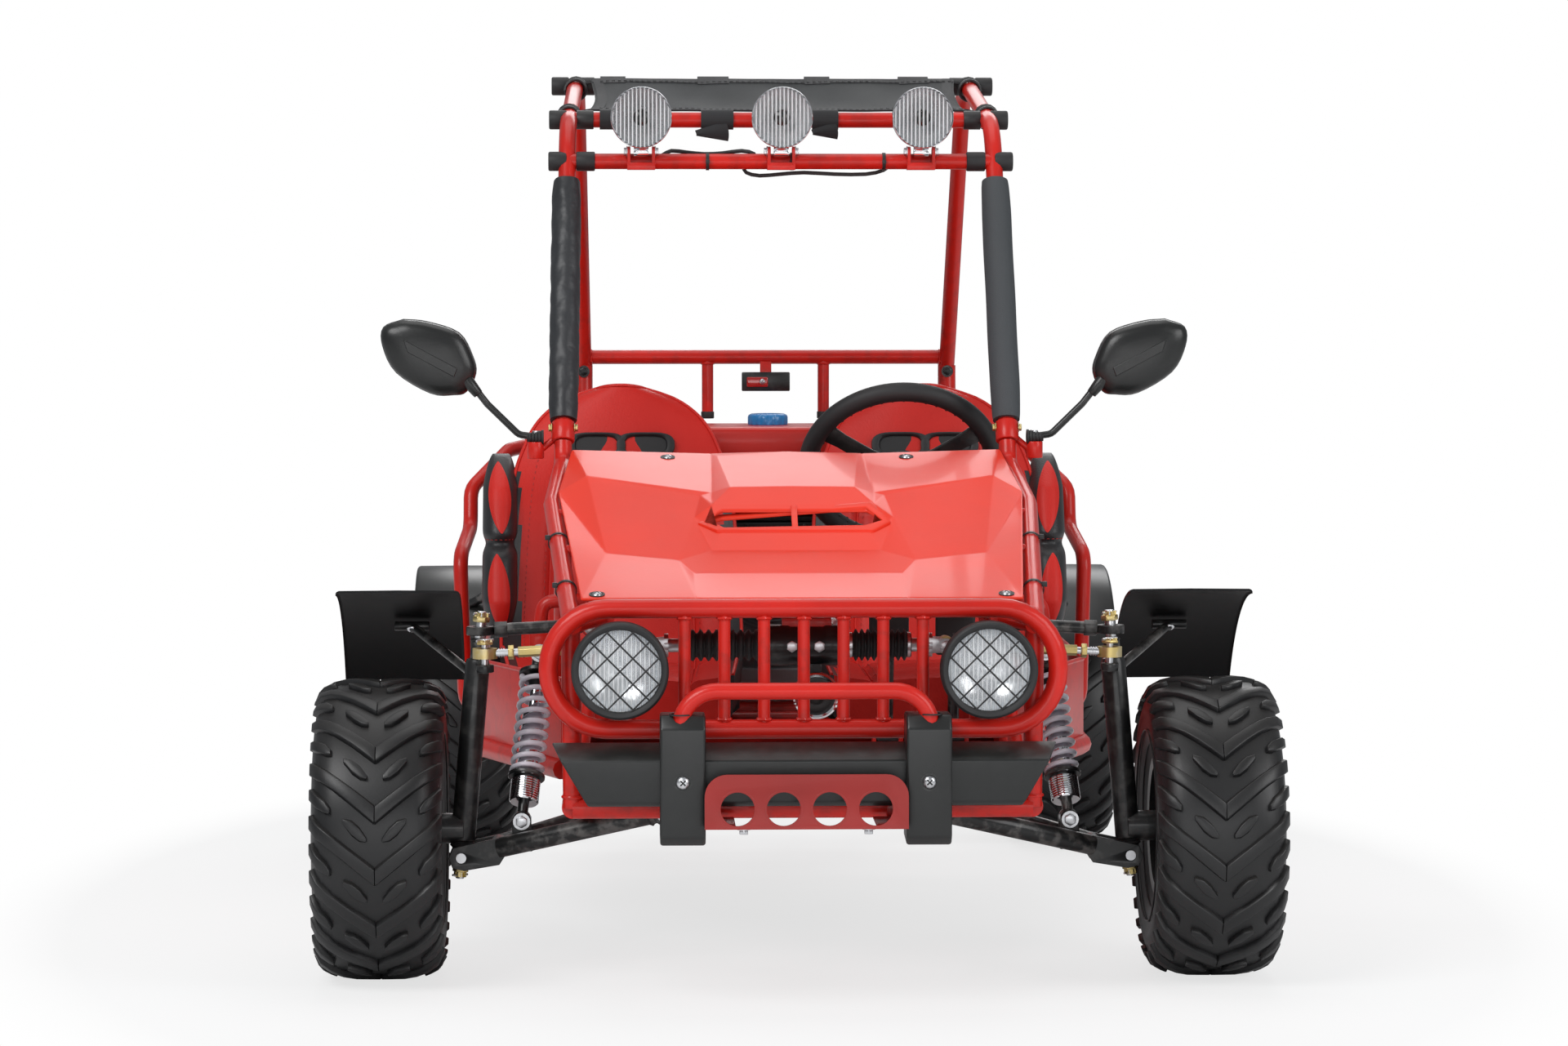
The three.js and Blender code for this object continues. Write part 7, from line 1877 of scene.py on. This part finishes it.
def seat_half(v):
    top = max(0, (v - 0.72) / 0.28)
    return SEAT_HALF * (0.96 + 0.12 * math.sin(math.pi * min(1, v * 1.15))) * max(0.03, 1 - top ** 2.8) ** 0.42


def seat_front(side, across, v, lift=0.0):
    """A point of the seat's face: quilted channels between two sewn grooves, and bolsters outside them."""
    y, z, oy, oz = seat_place(v)
    a = abs(across)
    plain = max(0.0, min(1.0, (v - 0.74) / 0.14))
    bolster_rise = 46 * max(0, (a - 0.55) / 0.45) ** 1.5 * math.sin(math.pi * min(1, v * 0.92 + 0.12)) ** 0.7
    groove = -6.5 * math.exp(-((a - 0.60) / 0.035) ** 2)
    channel = 4.2 * abs(math.sin(v * math.pi * 11)) ** 0.6 - 2.2 if a < 0.58 else 0.0
    sewn = (channel + groove) * (1 - plain) + bolster_rise * (1 - 0.6 * plain)
    crown = 12 * (1 - a * a) + sewn - 8.6 * a ** 3 + lift
    return at(side * 205 + across * seat_half(v), y + oy * crown, z + oz * crown)


def seat_back(side, across, v):
    y, z, oy, oz = seat_place(v)
    depth = 72 * (1 - 0.45 * across ** 4) * (0.7 if v > 0.45 else 1)
    p = at(side * 205 + across * seat_half(v) * 0.97, y - oy * depth, z - oz * depth)
    p.z = max(p.z, 0.2366)
    return p


def seat_shell(side):
    """The seat as one closed grid, front and back, with an upholstered edge."""
    cols, rows = 56, 110
    points = [face(side, 2 * i / cols - 1, j / rows) for face in (seat_front, seat_back)
              for j in range(rows + 1) for i in range(cols + 1)]
    layer = (cols + 1) * (rows + 1)
    faces = grid_faces(rows, cols)
    faces += [(layer + a, layer + d, layer + c, layer + b) for a, b, c, d in faces]
    row = cols + 1
    loop = [*range(cols), *(j * row + cols for j in range(rows)), *range(rows * row + cols, rows * row, -1),
            *(j * row for j in range(rows, 0, -1))]
    faces += [(a, layer + a, layer + b, b) for a, b in zip(loop, loop[1:] + loop[:1])]
    o = finish_mesh(mesh_object("seat", points, faces=faces), None, smooth=False)
    return colour_seat(o, side)


def colour_seat(o, side):
    """Red panels in the middle and on the bolsters' faces, dark vinyl round the edge and behind."""
    o.data.materials.clear()
    o.data.materials.append(M("seat_vinyl"))
    o.data.materials.append(M("seat_dark"))
    for face in o.data.polygons:
        z = face.center.z
        across = (face.center.x * 1000 - side * 205) / SEAT_HALF
        back = face.normal.y > 0.25 and z > 0.33
        edge = abs(across) > 0.90 and z < 0.56
        face.material_index = int(back or edge or face.normal.z < -0.3)
    pick(o)
    bpy.ops.object.shade_smooth_by_angle(angle=math.radians(55))
    return o


def seat_trim(side):
    """Piping, seams and stitches of the seat, and its two harness slots."""
    vinyl, thread = M("seat_vinyl"), M("thread")
    front = lambda a, v, lift: seat_front(side, a, v, lift)
    parts = []
    for a in (-0.60, 0.60):
        parts.append(wire([front(a, 0.04 + 0.72 * i / 90, 1.0) for i in range(91)], 0.0016, vinyl, sides=8))
        for shift in (-0.045, 0.045):
            parts.append(stitches([front(a + shift, 0.05 + 0.70 * i / 160, 0.3) for i in range(161)], thread, 0.0007))
    for a in (-0.80, 0.80):
        parts.append(stitches([front(a, 0.30 + 0.55 * i / 130, 0.3) for i in range(131)], thread, 0.0008))
    for k in range(1, 9):
        parts.append(stitches([front(-0.56 + 1.12 * i / 50, k / 11, -0.1) for i in range(51)], thread, 0.0006))
    piping = [front(0.985, v / 100, 0.5) for v in range(101)]
    piping += [front(0.985 - 1.97 * i / 40, 1.0, 0.5) for i in range(1, 40)]
    piping += [front(-0.985, v / 100, 0.5) for v in range(100, -1, -1)]
    parts.append(wire(piping, 0.0024, vinyl, sides=10))
    return parts + [grommet(side, a, 0.872) for a in (-0.25, 0.25)]


def oval(a, width, height, wide_power, high_power):
    """Across and up on a rounded oblong at an angle."""
    return (math.copysign(abs(math.cos(a)) ** wide_power, math.cos(a)) * width,
            math.copysign(abs(math.sin(a)) ** high_power, math.sin(a)) * height)


def grommet(side, across, v):
    """The moulded harness slot: a raised oval rim round a dark recess."""
    centre = seat_front(side, across, v, 2.5)
    out = Vector((0, *seat_place(v)[2:])).normalized()
    up = out.cross(X).normalized()
    rings = []
    for grow, lift in ((1.16, -3), (1.14, 1.5), (1.0, 3.0), (0.86, 1.5), (0.82, -2.0)):
        places = (oval(math.tau * i / 40, 34, 15, 0.55, 0.75) for i in range(40))
        rings.append([centre + (X * x * grow + up * h * grow + out * lift) * MM for x, h in places])
    return lofted(rings, M("soft_rubber"), 50)


BOLSTER_LOW, BOLSTER_HIGH = 349, 583


def bolster_ring(z):
    """The outer bolster's middle line, half width and half depth at a height, in millimetres."""
    s = (z - BOLSTER_LOW) / (BOLSTER_HIGH - BOLSTER_LOW)
    full = min(1, 5.5 * s, 5.5 * (1 - s)) ** 0.5 if 0 < s < 1 else 0
    full = max(0.12, full * (1 - 0.30 * math.exp(-(((z - 466) / 9) ** 2))))
    return 735 + 105 * max(0, s) ** 1.3, 23.5 * (0.4 + 0.6 * full), 46 * full


def bolster_front(side, x, z, lift):
    """A point on the bolster's front, x from its middle line."""
    middle, half, deep = bolster_ring(z)
    c = min(0.98, abs(x) / half) ** 1.25
    return at(side * (367 + x), middle - deep * (1 - c * c) ** 0.4 - lift, z)


def leaf(side, middle, half, wide):
    """A red insert in the shape of a leaf, raised from the bolster."""
    def place(i, j):
        u, v = 2 * i - 1, 2 * j - 1
        reach = wide * max(0.02, 1 - abs(v) ** 1.9) ** 0.75
        lift = 1.9 * (1 - u ** 4) * (1 - v ** 4) + 0.3
        return bolster_front(side, u * reach + 3.2 * v, middle + half * v, lift)

    sheet = modify(grid("leaf", 30, 12, place), "SOLIDIFY", thickness=0.0016, offset=0)
    return finish_mesh(sheet, M("seat_vinyl"), 60)


def bolster(side, rows=72, cols=44):
    """The black outer bolster in two lobes, each with a red leaf in front and a stitched seam between."""
    rings = []
    for i in range(rows + 1):
        z = mix(BOLSTER_LOW, BOLSTER_HIGH, i / rows)
        middle, half, deep = bolster_ring(z)
        places = (oval(math.tau * k / cols, half, deep, 0.8, 0.8) for k in range(cols))
        rings.append([at(side * (367 + x), middle + y, z) for x, y in places])
    seam = [bolster_front(side, -19 + 38 * i / 40, 472, 0.6) for i in range(41)]
    return [lofted(rings, M("seat_dark"), 60), leaf(side, 527, 46, 14.5), leaf(side, 404, 50, 14),
            stitches(seam, M("thread"))]


def seat(word, side):
    parts = [seat_shell(side), bolster(side), seat_trim(side)]
    o = piece(f"seat_upholstered_{word}", "chassis", "seat_vinyl", [f"seat_{word}"], parts)


class KART_OT_seats(bpy.types.Operator):
    """Upholster the two bucket seats with their outer bolsters"""

    bl_idname = "kart.seats"
    bl_label = "Seats"

    def execute(self, context):
        for word, side in SIDES:
            seat(word, side)
        return {"FINISHED"}


class KART_OT_soft(bpy.types.Operator):
    """Stretch the roof canvas and sleeve the pillars"""

    bl_idname = "kart.soft"
    bl_label = "Canvas and pads"

    def execute(self, context):
        roof_canvas()
        for word, side in SIDES:
            pillar_pad(word, side)
        return {"FINISHED"}


# Body parts: mirrors, tank, engine, controls and fenders


def mirror_outline(side, grow=1.0):
    """The head's rounded outline, drawn in towards its middle by grow."""
    marks = ((477, 772), (447, 769), (407, 755), (390, 726), (386, 704), (398, 681), (414, 677), (443, 679), (486, 705),
             (503, 738), (502, 762), (477, 772))
    run = smooth_run([Vector((x, 0, z)) for x, z in marks], 4)[:-1]
    return [(side * (446 + (p.x - 446) * grow), 724 + (p.z - 724) * grow) for p in run]


def lofted(rings, material, angle=25, bevel=0.0, segments=2):
    """A closed form through rings with the same number of points."""
    count = len(rings[0])
    points = [p for ring in rings for p in ring]
    faces = []
    for k in range(0, len(points) - count, count):
        faces += [(k + i, k + (i + 1) % count, k + count + (i + 1) % count, k + count + i) for i in range(count)]
    faces += [tuple(range(count))[::-1], tuple(range(len(points) - count, len(points)))]
    o = finish_mesh(mesh_object("loft", points, faces=faces), None, smooth=False)
    return finish_mesh(bevelled(o, bevel, segments), material, angle)


def mirror_head(side):
    """A rounded shell with a raised panel in front and the glass behind."""
    plastic = M("black_plastic")
    layers = ((1.0, 13), (1.0, 4), (0.985, -0.5), (0.94, -4.5), (0.86, -7.8), (0.72, -10.4), (0.5, -12.0), (0.2, -12.8))
    level = lambda y, grow: [at(x, 352 + y, z) for x, z in mirror_outline(side, grow)]
    inset = [at(side * x, 352 - 13.4, z) for x, z in ((476, 747), (409, 711), (413, 700), (471, 731))]
    return [
        lofted([level(y, grow * 0.985) for grow, y in layers], plastic, 60),
        plate(level(13.1, 0.90), Y * -0.0008, M("chrome")),
        wire(level(13.0, 0.985), 0.0011, plastic, closed=True, sides=8),
        finish_mesh(bevelled(plate(inset, Y * 0.007, None), 0.0009, 3), plastic, 30),
    ]


def mirror(word, side):
    plastic = M("black_plastic")
    boot = [(4.6, 0.0), (9.8, 0.0)]
    for i in range(5):
        boot += [(9.8 - 0.8 * i, 0.8 + i * 4), (9.8 - 0.8 * i, 2.6 + i * 4), (8.4 - 0.8 * i, 3.4 + i * 4)]
    route = side_points(side, (304, 352, 624), (333, 352, 628), (372, 352, 666), (390, 352, 689))
    parts = [
        mirror_head(side), spun(boot + [(5.2, 21)], at(side * 302, 352, 624), X * side, M("soft_rubber"), 36, 40),
        tube(route, 0.0045, plastic, 0.012),
        side_rod(side, (383, 352, 678), (398, 352, 696.5), 0.0062, plastic, far=0.0085, sides=24, bevel=0.001),
    ]
    piece(f"mirror_shell_{word}", f"mirror_{word}", "bumper_plastic", [f"mirror_{word}"], parts)


class KART_OT_mirrors(bpy.types.Operator):
    """Mould the two mirrors on their stalks"""

    bl_idname = "kart.mirrors"
    bl_label = "Mirrors"

    def execute(self, context):
        for word, side in SIDES:
            mirror(word, side)
        return {"FINISHED"}


def tank_outline(z, shrink=0.0, corner=22):
    points = []
    for sx, sy, start in ((1, 1, 0), (-1, 1, 90), (-1, -1, 180), (1, -1, 270)):
        for i in range(9):
            a = math.radians(start + 90 * i / 8)
            points.append(at(sx * (112 - corner) + (corner - shrink) * math.cos(a),
                             1026.5 + sy * (81.5 - corner) + (corner - shrink) * math.sin(a), z))
    return points


def fuel_tank():
    plastic = M("tank_paint")
    layers = ((496, 6), (500, 1.5), (506, 0), (549, 0), (551, 0), (553, 1.2), (557, 1.2), (559, 0), (604, 0),
              (610, 1.5), (613, 5), (614, 10))
    body = lofted([tank_outline(z, s) for z, s in layers], plastic, 40)
    parts = [body, rod(at(0, 1050, 610), at(0, 1050, 623), 0.0168, plastic, sides=40)]
    parts += [strap_ring(at(0, 1050, 616 + k * 2.4), Z, 0.0166, 0.0008, plastic, 0.0005) for k in range(3)]
    parts.append(block(at(-89.6, 967, 493.1), at(89.6, 1086, 501), M("soft_rubber"), 0.001))
    piece("fuel_tank_moulded", "chassis", "tank_paint", ["fuel_tank"], parts)


def shade_filler_box():
    """A black box hung from the tank above the engine, with its lid, screws and a short conduit: painted shade, a dark
    box that fills the gap between engine and tank.
    """
    plastic = M("black_plastic")
    parts = [block(at(-98, 962, 450), at(98, 1050, 484), plastic, 0.004, 3),
             block(at(-101, 959, 484), at(101, 1053, 491.5), plastic, 0.002, 3)]
    for x in (-80, 0, 80):
        parts.append(pan_screw(at(x, 961, 468), FRONT, 0.0035, M("bright_steel")))
        parts.append(block(at(x - 34, 960.4, 455), at(x - 30, 963, 480), plastic, 0.0008))
    parts.append(tube([at(60, 1049, 462), at(60, 1062, 462), at(74, 1072, 448)], 0.005, M("soft_rubber"), 0.008, 12))
    piece("shade_filler_box_moulded", "chassis", "bumper_plastic", [], parts)


def fuel_cap():
    blue = M("cap_blue")
    base = at(0, 1050, 614.3)
    layers = []
    for z, r in ((0, 27.4), (1.2, 28), (10.5, 28), (13.2, 26.6), (15, 23), (15, 15), (13.6, 13), (13.6, 6)):
        ring = []
        for i in range(96):
            a = math.tau * i / 96
            reach = r - (1.1 * max(0, math.cos(a * 16)) ** 2 if 1 < z < 13 else 0)
            ring.append(base + Vector((reach * math.cos(a), reach * math.sin(a), z)) * MM)
        layers.append(ring)
    lid = carve(lofted(layers, None, 40), rod(base - Z * 0.01, base + Z * 0.0107, 0.01755, None, sides=40))
    grip = block(base + Vector((-0.013, -0.0022, 0.0135)), base + Vector((0.013, 0.0022, 0.0149)), blue, 0.0006)
    piece("fuel_cap_fluted", "fuel_cap", "cap_plastic", ["fuel_cap"], finish_mesh(lid, blue, 45), grip)


def engine():
    alloy, steel, bright = M("engine_alloy"), M("black_steel"), M("bright_steel")
    centre = at(0, 1010, 318)
    case = [(0, -118), (58, -118), (66, -112), (68, -70), (72, -66), (72, 66), (68, 70), (66, 104), (60, 112),
            (42, 118), (0, 118)]
    parts = [spun(case, centre, X, alloy, 56, 30)]
    for place in round_points(centre + X * 0.108, Y * 0.060, Z * 0.060, 8):
        parts += bolt(place, X, 0.0055, 0.008, bright)
    cover = [(0, -133), (30, -133), (46, -129), (50, -122), (50, -112), (0, -112)]
    parts.append(spun(cover, centre, X, M("soft_rubber"), 56, 40))
    for out in round_points(Vector(), Y, Z, 24):
        parts.append(pin(centre - X * 0.1295 + out * 0.036, out, 0.007, 0.0014, M("nylon"), 8))
    parts.append(block(at(-59, 935, 236.4), at(59, 1085, 284), alloy, 0.004, 3))
    tilt = Vector((0, -math.cos(math.radians(48)), math.sin(math.radians(48))))
    head = centre + tilt * 0.128
    fins = [(40, 60), (40, 68)]
    for base in (68 + i * 7.8 for i in range(7)):
        fins += [(41, base), (54, base + 1.2), (56, base + 2.2), (54, base + 3.2), (41, base + 4.4)]
    outlet, start = head - tilt * 0.024, at(-195, 980, 335)
    can = [(0, 0), (22, 0), (34, 5), (36, 10), (36, 160), (34, 165), (22, 170), (8, 170), (8, 160), (0, 160)]
    parts += [
        spun(fins + [(36, 124), (30, 128), (0, 128)], centre, tilt, alloy, 44, 30),
        rod(head, head + tilt * 0.012, 0.008, bright, sides=6, bevel=0.0005),
        tube([outlet, Vector((start.x, outlet.y, outlet.z)), start], 0.0126, bright, 0.028),
        spun(can, start, Y, steel, 48, 30),
        *[strap_ring(at(-195, y, 335), Y, 0.0357, 0.010, bright, 0.0005) for y in (1000, 1130)],
        block(at(18, 930, 330), at(78, 968, 378), steel, 0.005, 3),
    ]
    piece("engine_cast", "chassis", "alloy", ["engine"], parts)


class KART_OT_engine(bpy.types.Operator):
    """Make the engine, the fuel tank with its fluted cap, and the black box of painted shade in the gap under the tank
    """

    bl_idname = "kart.engine"
    bl_label = "Engine and tank"

    def execute(self, context):
        fuel_tank()
        # A black box of painted shade fills the gap between the engine and the tank
        shade_filler_box()
        fuel_cap()
        engine()
        return {"FINISHED"}


def steering_wheel():
    rubber, steel = M("soft_rubber"), M("black_steel")
    centre = column_line(0)
    axis = (centre - column_line(10)).normalized()
    up = axis.cross(X)
    parts = [wire(round_points(centre, X * 0.1195, up * 0.1195, 96), 0.0123, rubber, closed=True, sides=24)]
    parts += [pin(place, axis, 0.0045, 0.0017, rubber, 8)
              for place in round_points(centre, X * 0.1085, up * 0.1085, 48)]
    hub_back = centre - axis * 0.025
    hub = [(0, -25), (24, -25), (29, -20), (30, -4), (24, 0), (0, 0)]
    parts.append(spun(hub, centre, axis, rubber, 44))
    for degree in (90, 210, 330):
        a = math.radians(degree)
        out = X * math.cos(a) + up * math.sin(a)
        root, rim_at = hub_back + axis * 0.010 + out * 0.02, centre + out * 0.112
        wide, thin = out.cross(axis).normalized() * 0.011, axis * 0.0022
        rings = []
        for share, grow in ((0, 1.35), (0.35, 1.0), (0.75, 0.95), (1, 1.2)):
            here, half = mix(root, rim_at, share), wide * grow
            rings.append([here - half - thin, here + half - thin, here + half + thin, here - half + thin])
        parts.append(lofted(rings, steel, 40, 0.0009))
    parts.append(rod(column_line(150), hub_back, 0.011, steel, sides=28))
    for place in round_points(centre, X * 0.019, up * 0.019, 6):
        parts.append(rod(place - axis * 0.002, place + axis * 0.0002, 0.0026, M("bright_steel"), sides=6))
    piece("steering_wheel_gripped", "steering_wheel", "rubber", ["steering_wheel"], parts)


def steering_shaft():
    bright, steel = M("bright_steel"), M("black_steel")
    end, top = column_line(150), at(34, -36, 410)
    axis = (top - end).normalized()
    start = end + axis * 0.0209
    parts = [
        rod(start, top - axis * 0.0031, 0.008, bright, sides=28),
        rod(start, start + axis * 0.022, 0.0132, steel, sides=28, bevel=0.0012),
        rod(end + axis * 0.0031, start + axis * 0.004, 0.0044, bright),
        strap_ring(start + axis * 0.030, axis, 0.008, 0.006, steel, 0.002),
    ]
    piece("steering_shaft_turned", "steering_shaft", "black_steel", ["steering_shaft"], parts)


def pedal(name, x):
    steel, rubber = M("black_steel"), M("soft_rubber")
    pivot, head = at(x, 150, 270), at(x, 111, 400)
    parts = [
        pin(pivot, X, 0.0184, 0.006, M("bright_steel"), 24), pin(pivot, X, 0.0134, 0.009, steel, 28, 0.001),
        tube([pivot, mix(pivot, head, 0.5) + Y * 0.004, head], 0.007, steel, 0.06),
        block(at(x - 24, 106, 371.2), at(x + 24, 115.8, 428.8), rubber, 0.004, 3),
    ]
    parts += [pin(at(x, 116, 377 + k * 9.2), X, 0.019, 0.0016, rubber, 8) for k in range(6)]
    piece(f"{name}_pad", name, "black_steel", [name], parts)


class KART_OT_controls(bpy.types.Operator):
    """Make the steering wheel, its shaft, the rack, the tie rods and the pedals"""

    bl_idname = "kart.controls"
    bl_label = "Steering and pedals"

    def execute(self, context):
        steering_wheel()
        steering_shaft()
        rack_parts()
        rack_housing()
        for word, side in SIDES:
            tie_rod(word, side)
        pedal("throttle_pedal", 116)
        pedal("brake_pedal", 196)
        return {"FINISHED"}


def fender_sheet(side, inner, width, centre_y, radius, first, last, material):
    """A moulded mudguard: an arc with turned-down edges."""
    steps, sheet = 28, 4
    section = [(0, -3), (1.5, -1), (4, 0), (width / 2, 0.6), (width - 4, 0), (width - 1.5, -1), (width, -3)]
    section += [(x, h - sheet + 1.2) for x, h in reversed(section)]
    rings = []
    for i in range(steps + 1):
        a = math.radians(first + (last - first) * i / steps)
        ring = [(x, (radius + h) * math.cos(a), (radius + h) * math.sin(a)) for x, h in section]
        rings.append([at(side * (inner + x), centre_y + y, WHEEL_Z + z) for x, y, z in ring])
    return lofted(rings, M(material), 35)


class KART_OT_fenders(bpy.types.Operator):
    """Mould the front and rear mudguards"""

    bl_idname = "kart.fenders"
    bl_label = "Fenders"

    def execute(self, context):
        for word, side in SIDES:
            parts = [fender_sheet(side, 397, 146, 0, 280, 34, 86, "fender_black")]
            a = math.radians(58)
            for radius, way in ((279.6, 1), (264.4, -1)):
                place = at(side * 458.3, radius * math.cos(a), WHEEL_Z + radius * math.sin(a))
                parts.append(pan_screw(place, (0, way * math.cos(a), way * math.sin(a)), 0.0060, M("bright_steel")))
            piece(f"front_fender_moulded_{word}", f"knuckle_{word}", "bumper_plastic", [f"front_fender_{word}"], parts)
        parts = [fender_sheet(side, 359, 140, REAR_Y, 222, 52, 150, "black_plastic") for _, side in SIDES]
        a = math.radians(128)
        end = (REAR_Y + 218 * math.cos(a), WHEEL_Z + 218 * math.sin(a))
        middle = (1150 - 12.5 * 0.95 - 7 - 0.3, 222 + WHEEL_Z + 28)
        route = [(-REAR_TRACK, *end), (-290, *middle), (290, *middle), (REAR_TRACK, *end)]
        parts.append(tube([at(*p) for p in route], 0.007, M("black_steel"), 0.028))
        piece("rear_fenders_moulded", "chassis", "bumper_plastic", ["rear_fenders"], parts)
        return {"FINISHED"}


# Stage, camera and the add-on's panel


def lamp(name, kind, place, energy, size, aim):
    data = bpy.data.lights.new(name, kind)
    data.energy = energy
    if kind == "AREA":
        data.shape = "RECTANGLE"
        data.size, data.size_y = size
    o = bpy.data.objects.new(name, data)
    bpy.context.scene.collection.objects.link(o)
    o.location = place
    o.rotation_euler = (Vector(aim) - Vector(place)).to_track_quat("-Z", "Y").to_euler()
    return o


def stage_material():
    material, tree, shader = blank("stage_white")
    tree.nodes.remove(shader)
    end = tree.nodes["Material Output"]
    plain = node(tree, "ShaderNodeBsdfDiffuse", Color=(0.86, 0.86, 0.86, 1))
    seen = node(tree, "ShaderNodeEmission", Color=(1, 1, 1, 1), Strength=1.0)
    rays = node(tree, "ShaderNodeLightPath")
    place = node(tree, "ShaderNodeTexCoord").outputs["Object"]
    shift = node(tree, "ShaderNodeVectorMath", {"operation": "MULTIPLY"}, i0=place, i1=(1.25, 0.75, 1.0))
    reach = node(tree, "ShaderNodeVectorMath", {"operation": "LENGTH"}, i0=shift.outputs[0]).outputs["Value"]
    far = ramp(tree, reach, 0.75, 1.35)
    most = node(tree, "ShaderNodeMath", {"operation": "MAXIMUM"}, i0=far, i1=0.72).outputs[0]
    fade = product(tree, most, rays.outputs["Is Camera Ray"])
    both = node(tree, "ShaderNodeMixShader", i0=fade)
    tree.links.new(plain.outputs[0], both.inputs[1])
    tree.links.new(seen.outputs[0], both.inputs[2])
    tree.links.new(both.outputs[0], end.inputs["Surface"])
    return material


class KART_OT_stage(bpy.types.Operator):
    """Set the floor, the studio lights and the camera"""

    bl_idname = "kart.stage"
    bl_label = "Stage and camera"

    def execute(self, context):
        clear_selection()
        bpy.ops.mesh.primitive_grid_add(x_subdivisions=8, y_subdivisions=8, size=24)
        floor = bpy.context.object
        floor.name = "stage_floor"
        floor.data.transform(Matrix.Translation((0, 0, -0.0006)))
        floor.data.materials.append(stage_material())
        floor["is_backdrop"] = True
        world = bpy.data.worlds.new("studio")
        context.scene.world = world
        world.use_nodes = True
        tree = world.node_tree
        tree.nodes.clear()
        rays = node(tree, "ShaderNodeLightPath")
        soft = node(tree, "ShaderNodeBackground", Color=(0.80, 0.82, 0.85, 1), Strength=0.34)
        white = node(tree, "ShaderNodeBackground", Color=(1, 1, 1, 1), Strength=1.0)
        both = node(tree, "ShaderNodeMixShader", i0=rays.outputs["Is Camera Ray"])
        tree.links.new(soft.outputs[0], both.inputs[1])
        tree.links.new(white.outputs[0], both.inputs[2])
        end = node(tree, "ShaderNodeOutputWorld")
        tree.links.new(both.outputs[0], end.inputs[0])
        lamp("key", "AREA", (-2.4, -3.4, 3.6), 118, (2.4, 2.0), (0, -0.2, 0.5))
        lamp("fill", "AREA", (3.2, -2.8, 2.2), 62, (2.2, 2.2), (0, -0.1, 0.5))
        lamp("top", "AREA", (0, 0.6, 4.2), 40, (3.0, 3.0), (0, 0, 0.4))
        lamp("rim", "AREA", (0.6, 4.0, 3.0), 50, (3.0, 1.6), (0, 0, 0.7))
        lamp("low", "AREA", (0, -4.4, 0.7), 22, (3.4, 0.8), (0, -0.4, 0.45))
        camera(context)
        context.scene.view_settings.view_transform = "Standard"
        return {"FINISHED"}


def camera(context):
    data = bpy.data.cameras.new("camera")
    data.sensor_width = 36
    data.lens = 109.9
    data.clip_end = 60
    data.dof.use_dof = False
    o = bpy.data.objects.new("camera", data)
    context.scene.collection.objects.link(o)
    o.location = (-0.213, -6.21075, 0.864)
    look = Vector((207 / 5862, 1, -340.5 / 5862))
    o.rotation_euler = look.to_track_quat("-Z", "Y").to_euler()
    context.scene.camera = o


OPERATORS = (
    KART_OT_materials, KART_OT_stage, KART_OT_lamp_lead, KART_OT_front_frame, KART_OT_floor, KART_OT_roll_cage,
    KART_OT_nose, KART_OT_hood, KART_OT_wheels, KART_OT_front_suspension, KART_OT_rear_suspension, KART_OT_controls,
    KART_OT_lamps, KART_OT_mirrors, KART_OT_engine, KART_OT_fenders, KART_OT_seats, KART_OT_soft,
)


class KART_PT_panel(bpy.types.Panel):
    """Every step of the build in order"""

    bl_idname = "KART_PT_panel"
    bl_label = "Kart"
    bl_space_type = "VIEW_3D"
    bl_region_type = "UI"
    bl_category = "Kart"

    def draw(self, context):
        for step in OPERATORS:
            self.layout.operator(step.bl_idname)


CLASSES = (KART_PG_colours, KART_PG_sizes, *OPERATORS, KART_PT_panel)


def register():
    for item in CLASSES:
        bpy.utils.register_class(item)
    bpy.types.Scene.kart_colours = PointerProperty(type=KART_PG_colours)
    bpy.types.Scene.kart_sizes = PointerProperty(type=KART_PG_sizes)


def unregister():
    del bpy.types.Scene.kart_sizes
    del bpy.types.Scene.kart_colours
    for item in reversed(CLASSES):
        bpy.utils.unregister_class(item)


def main():
    register()
    for step in OPERATORS:
        group, name = step.bl_idname.split(".")
        getattr(getattr(bpy.ops, group), name)()
    sizes = [[list(map(float, corner)) for corner in box] for box in (cad_box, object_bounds())]


if __name__ == "__main__":
    main()
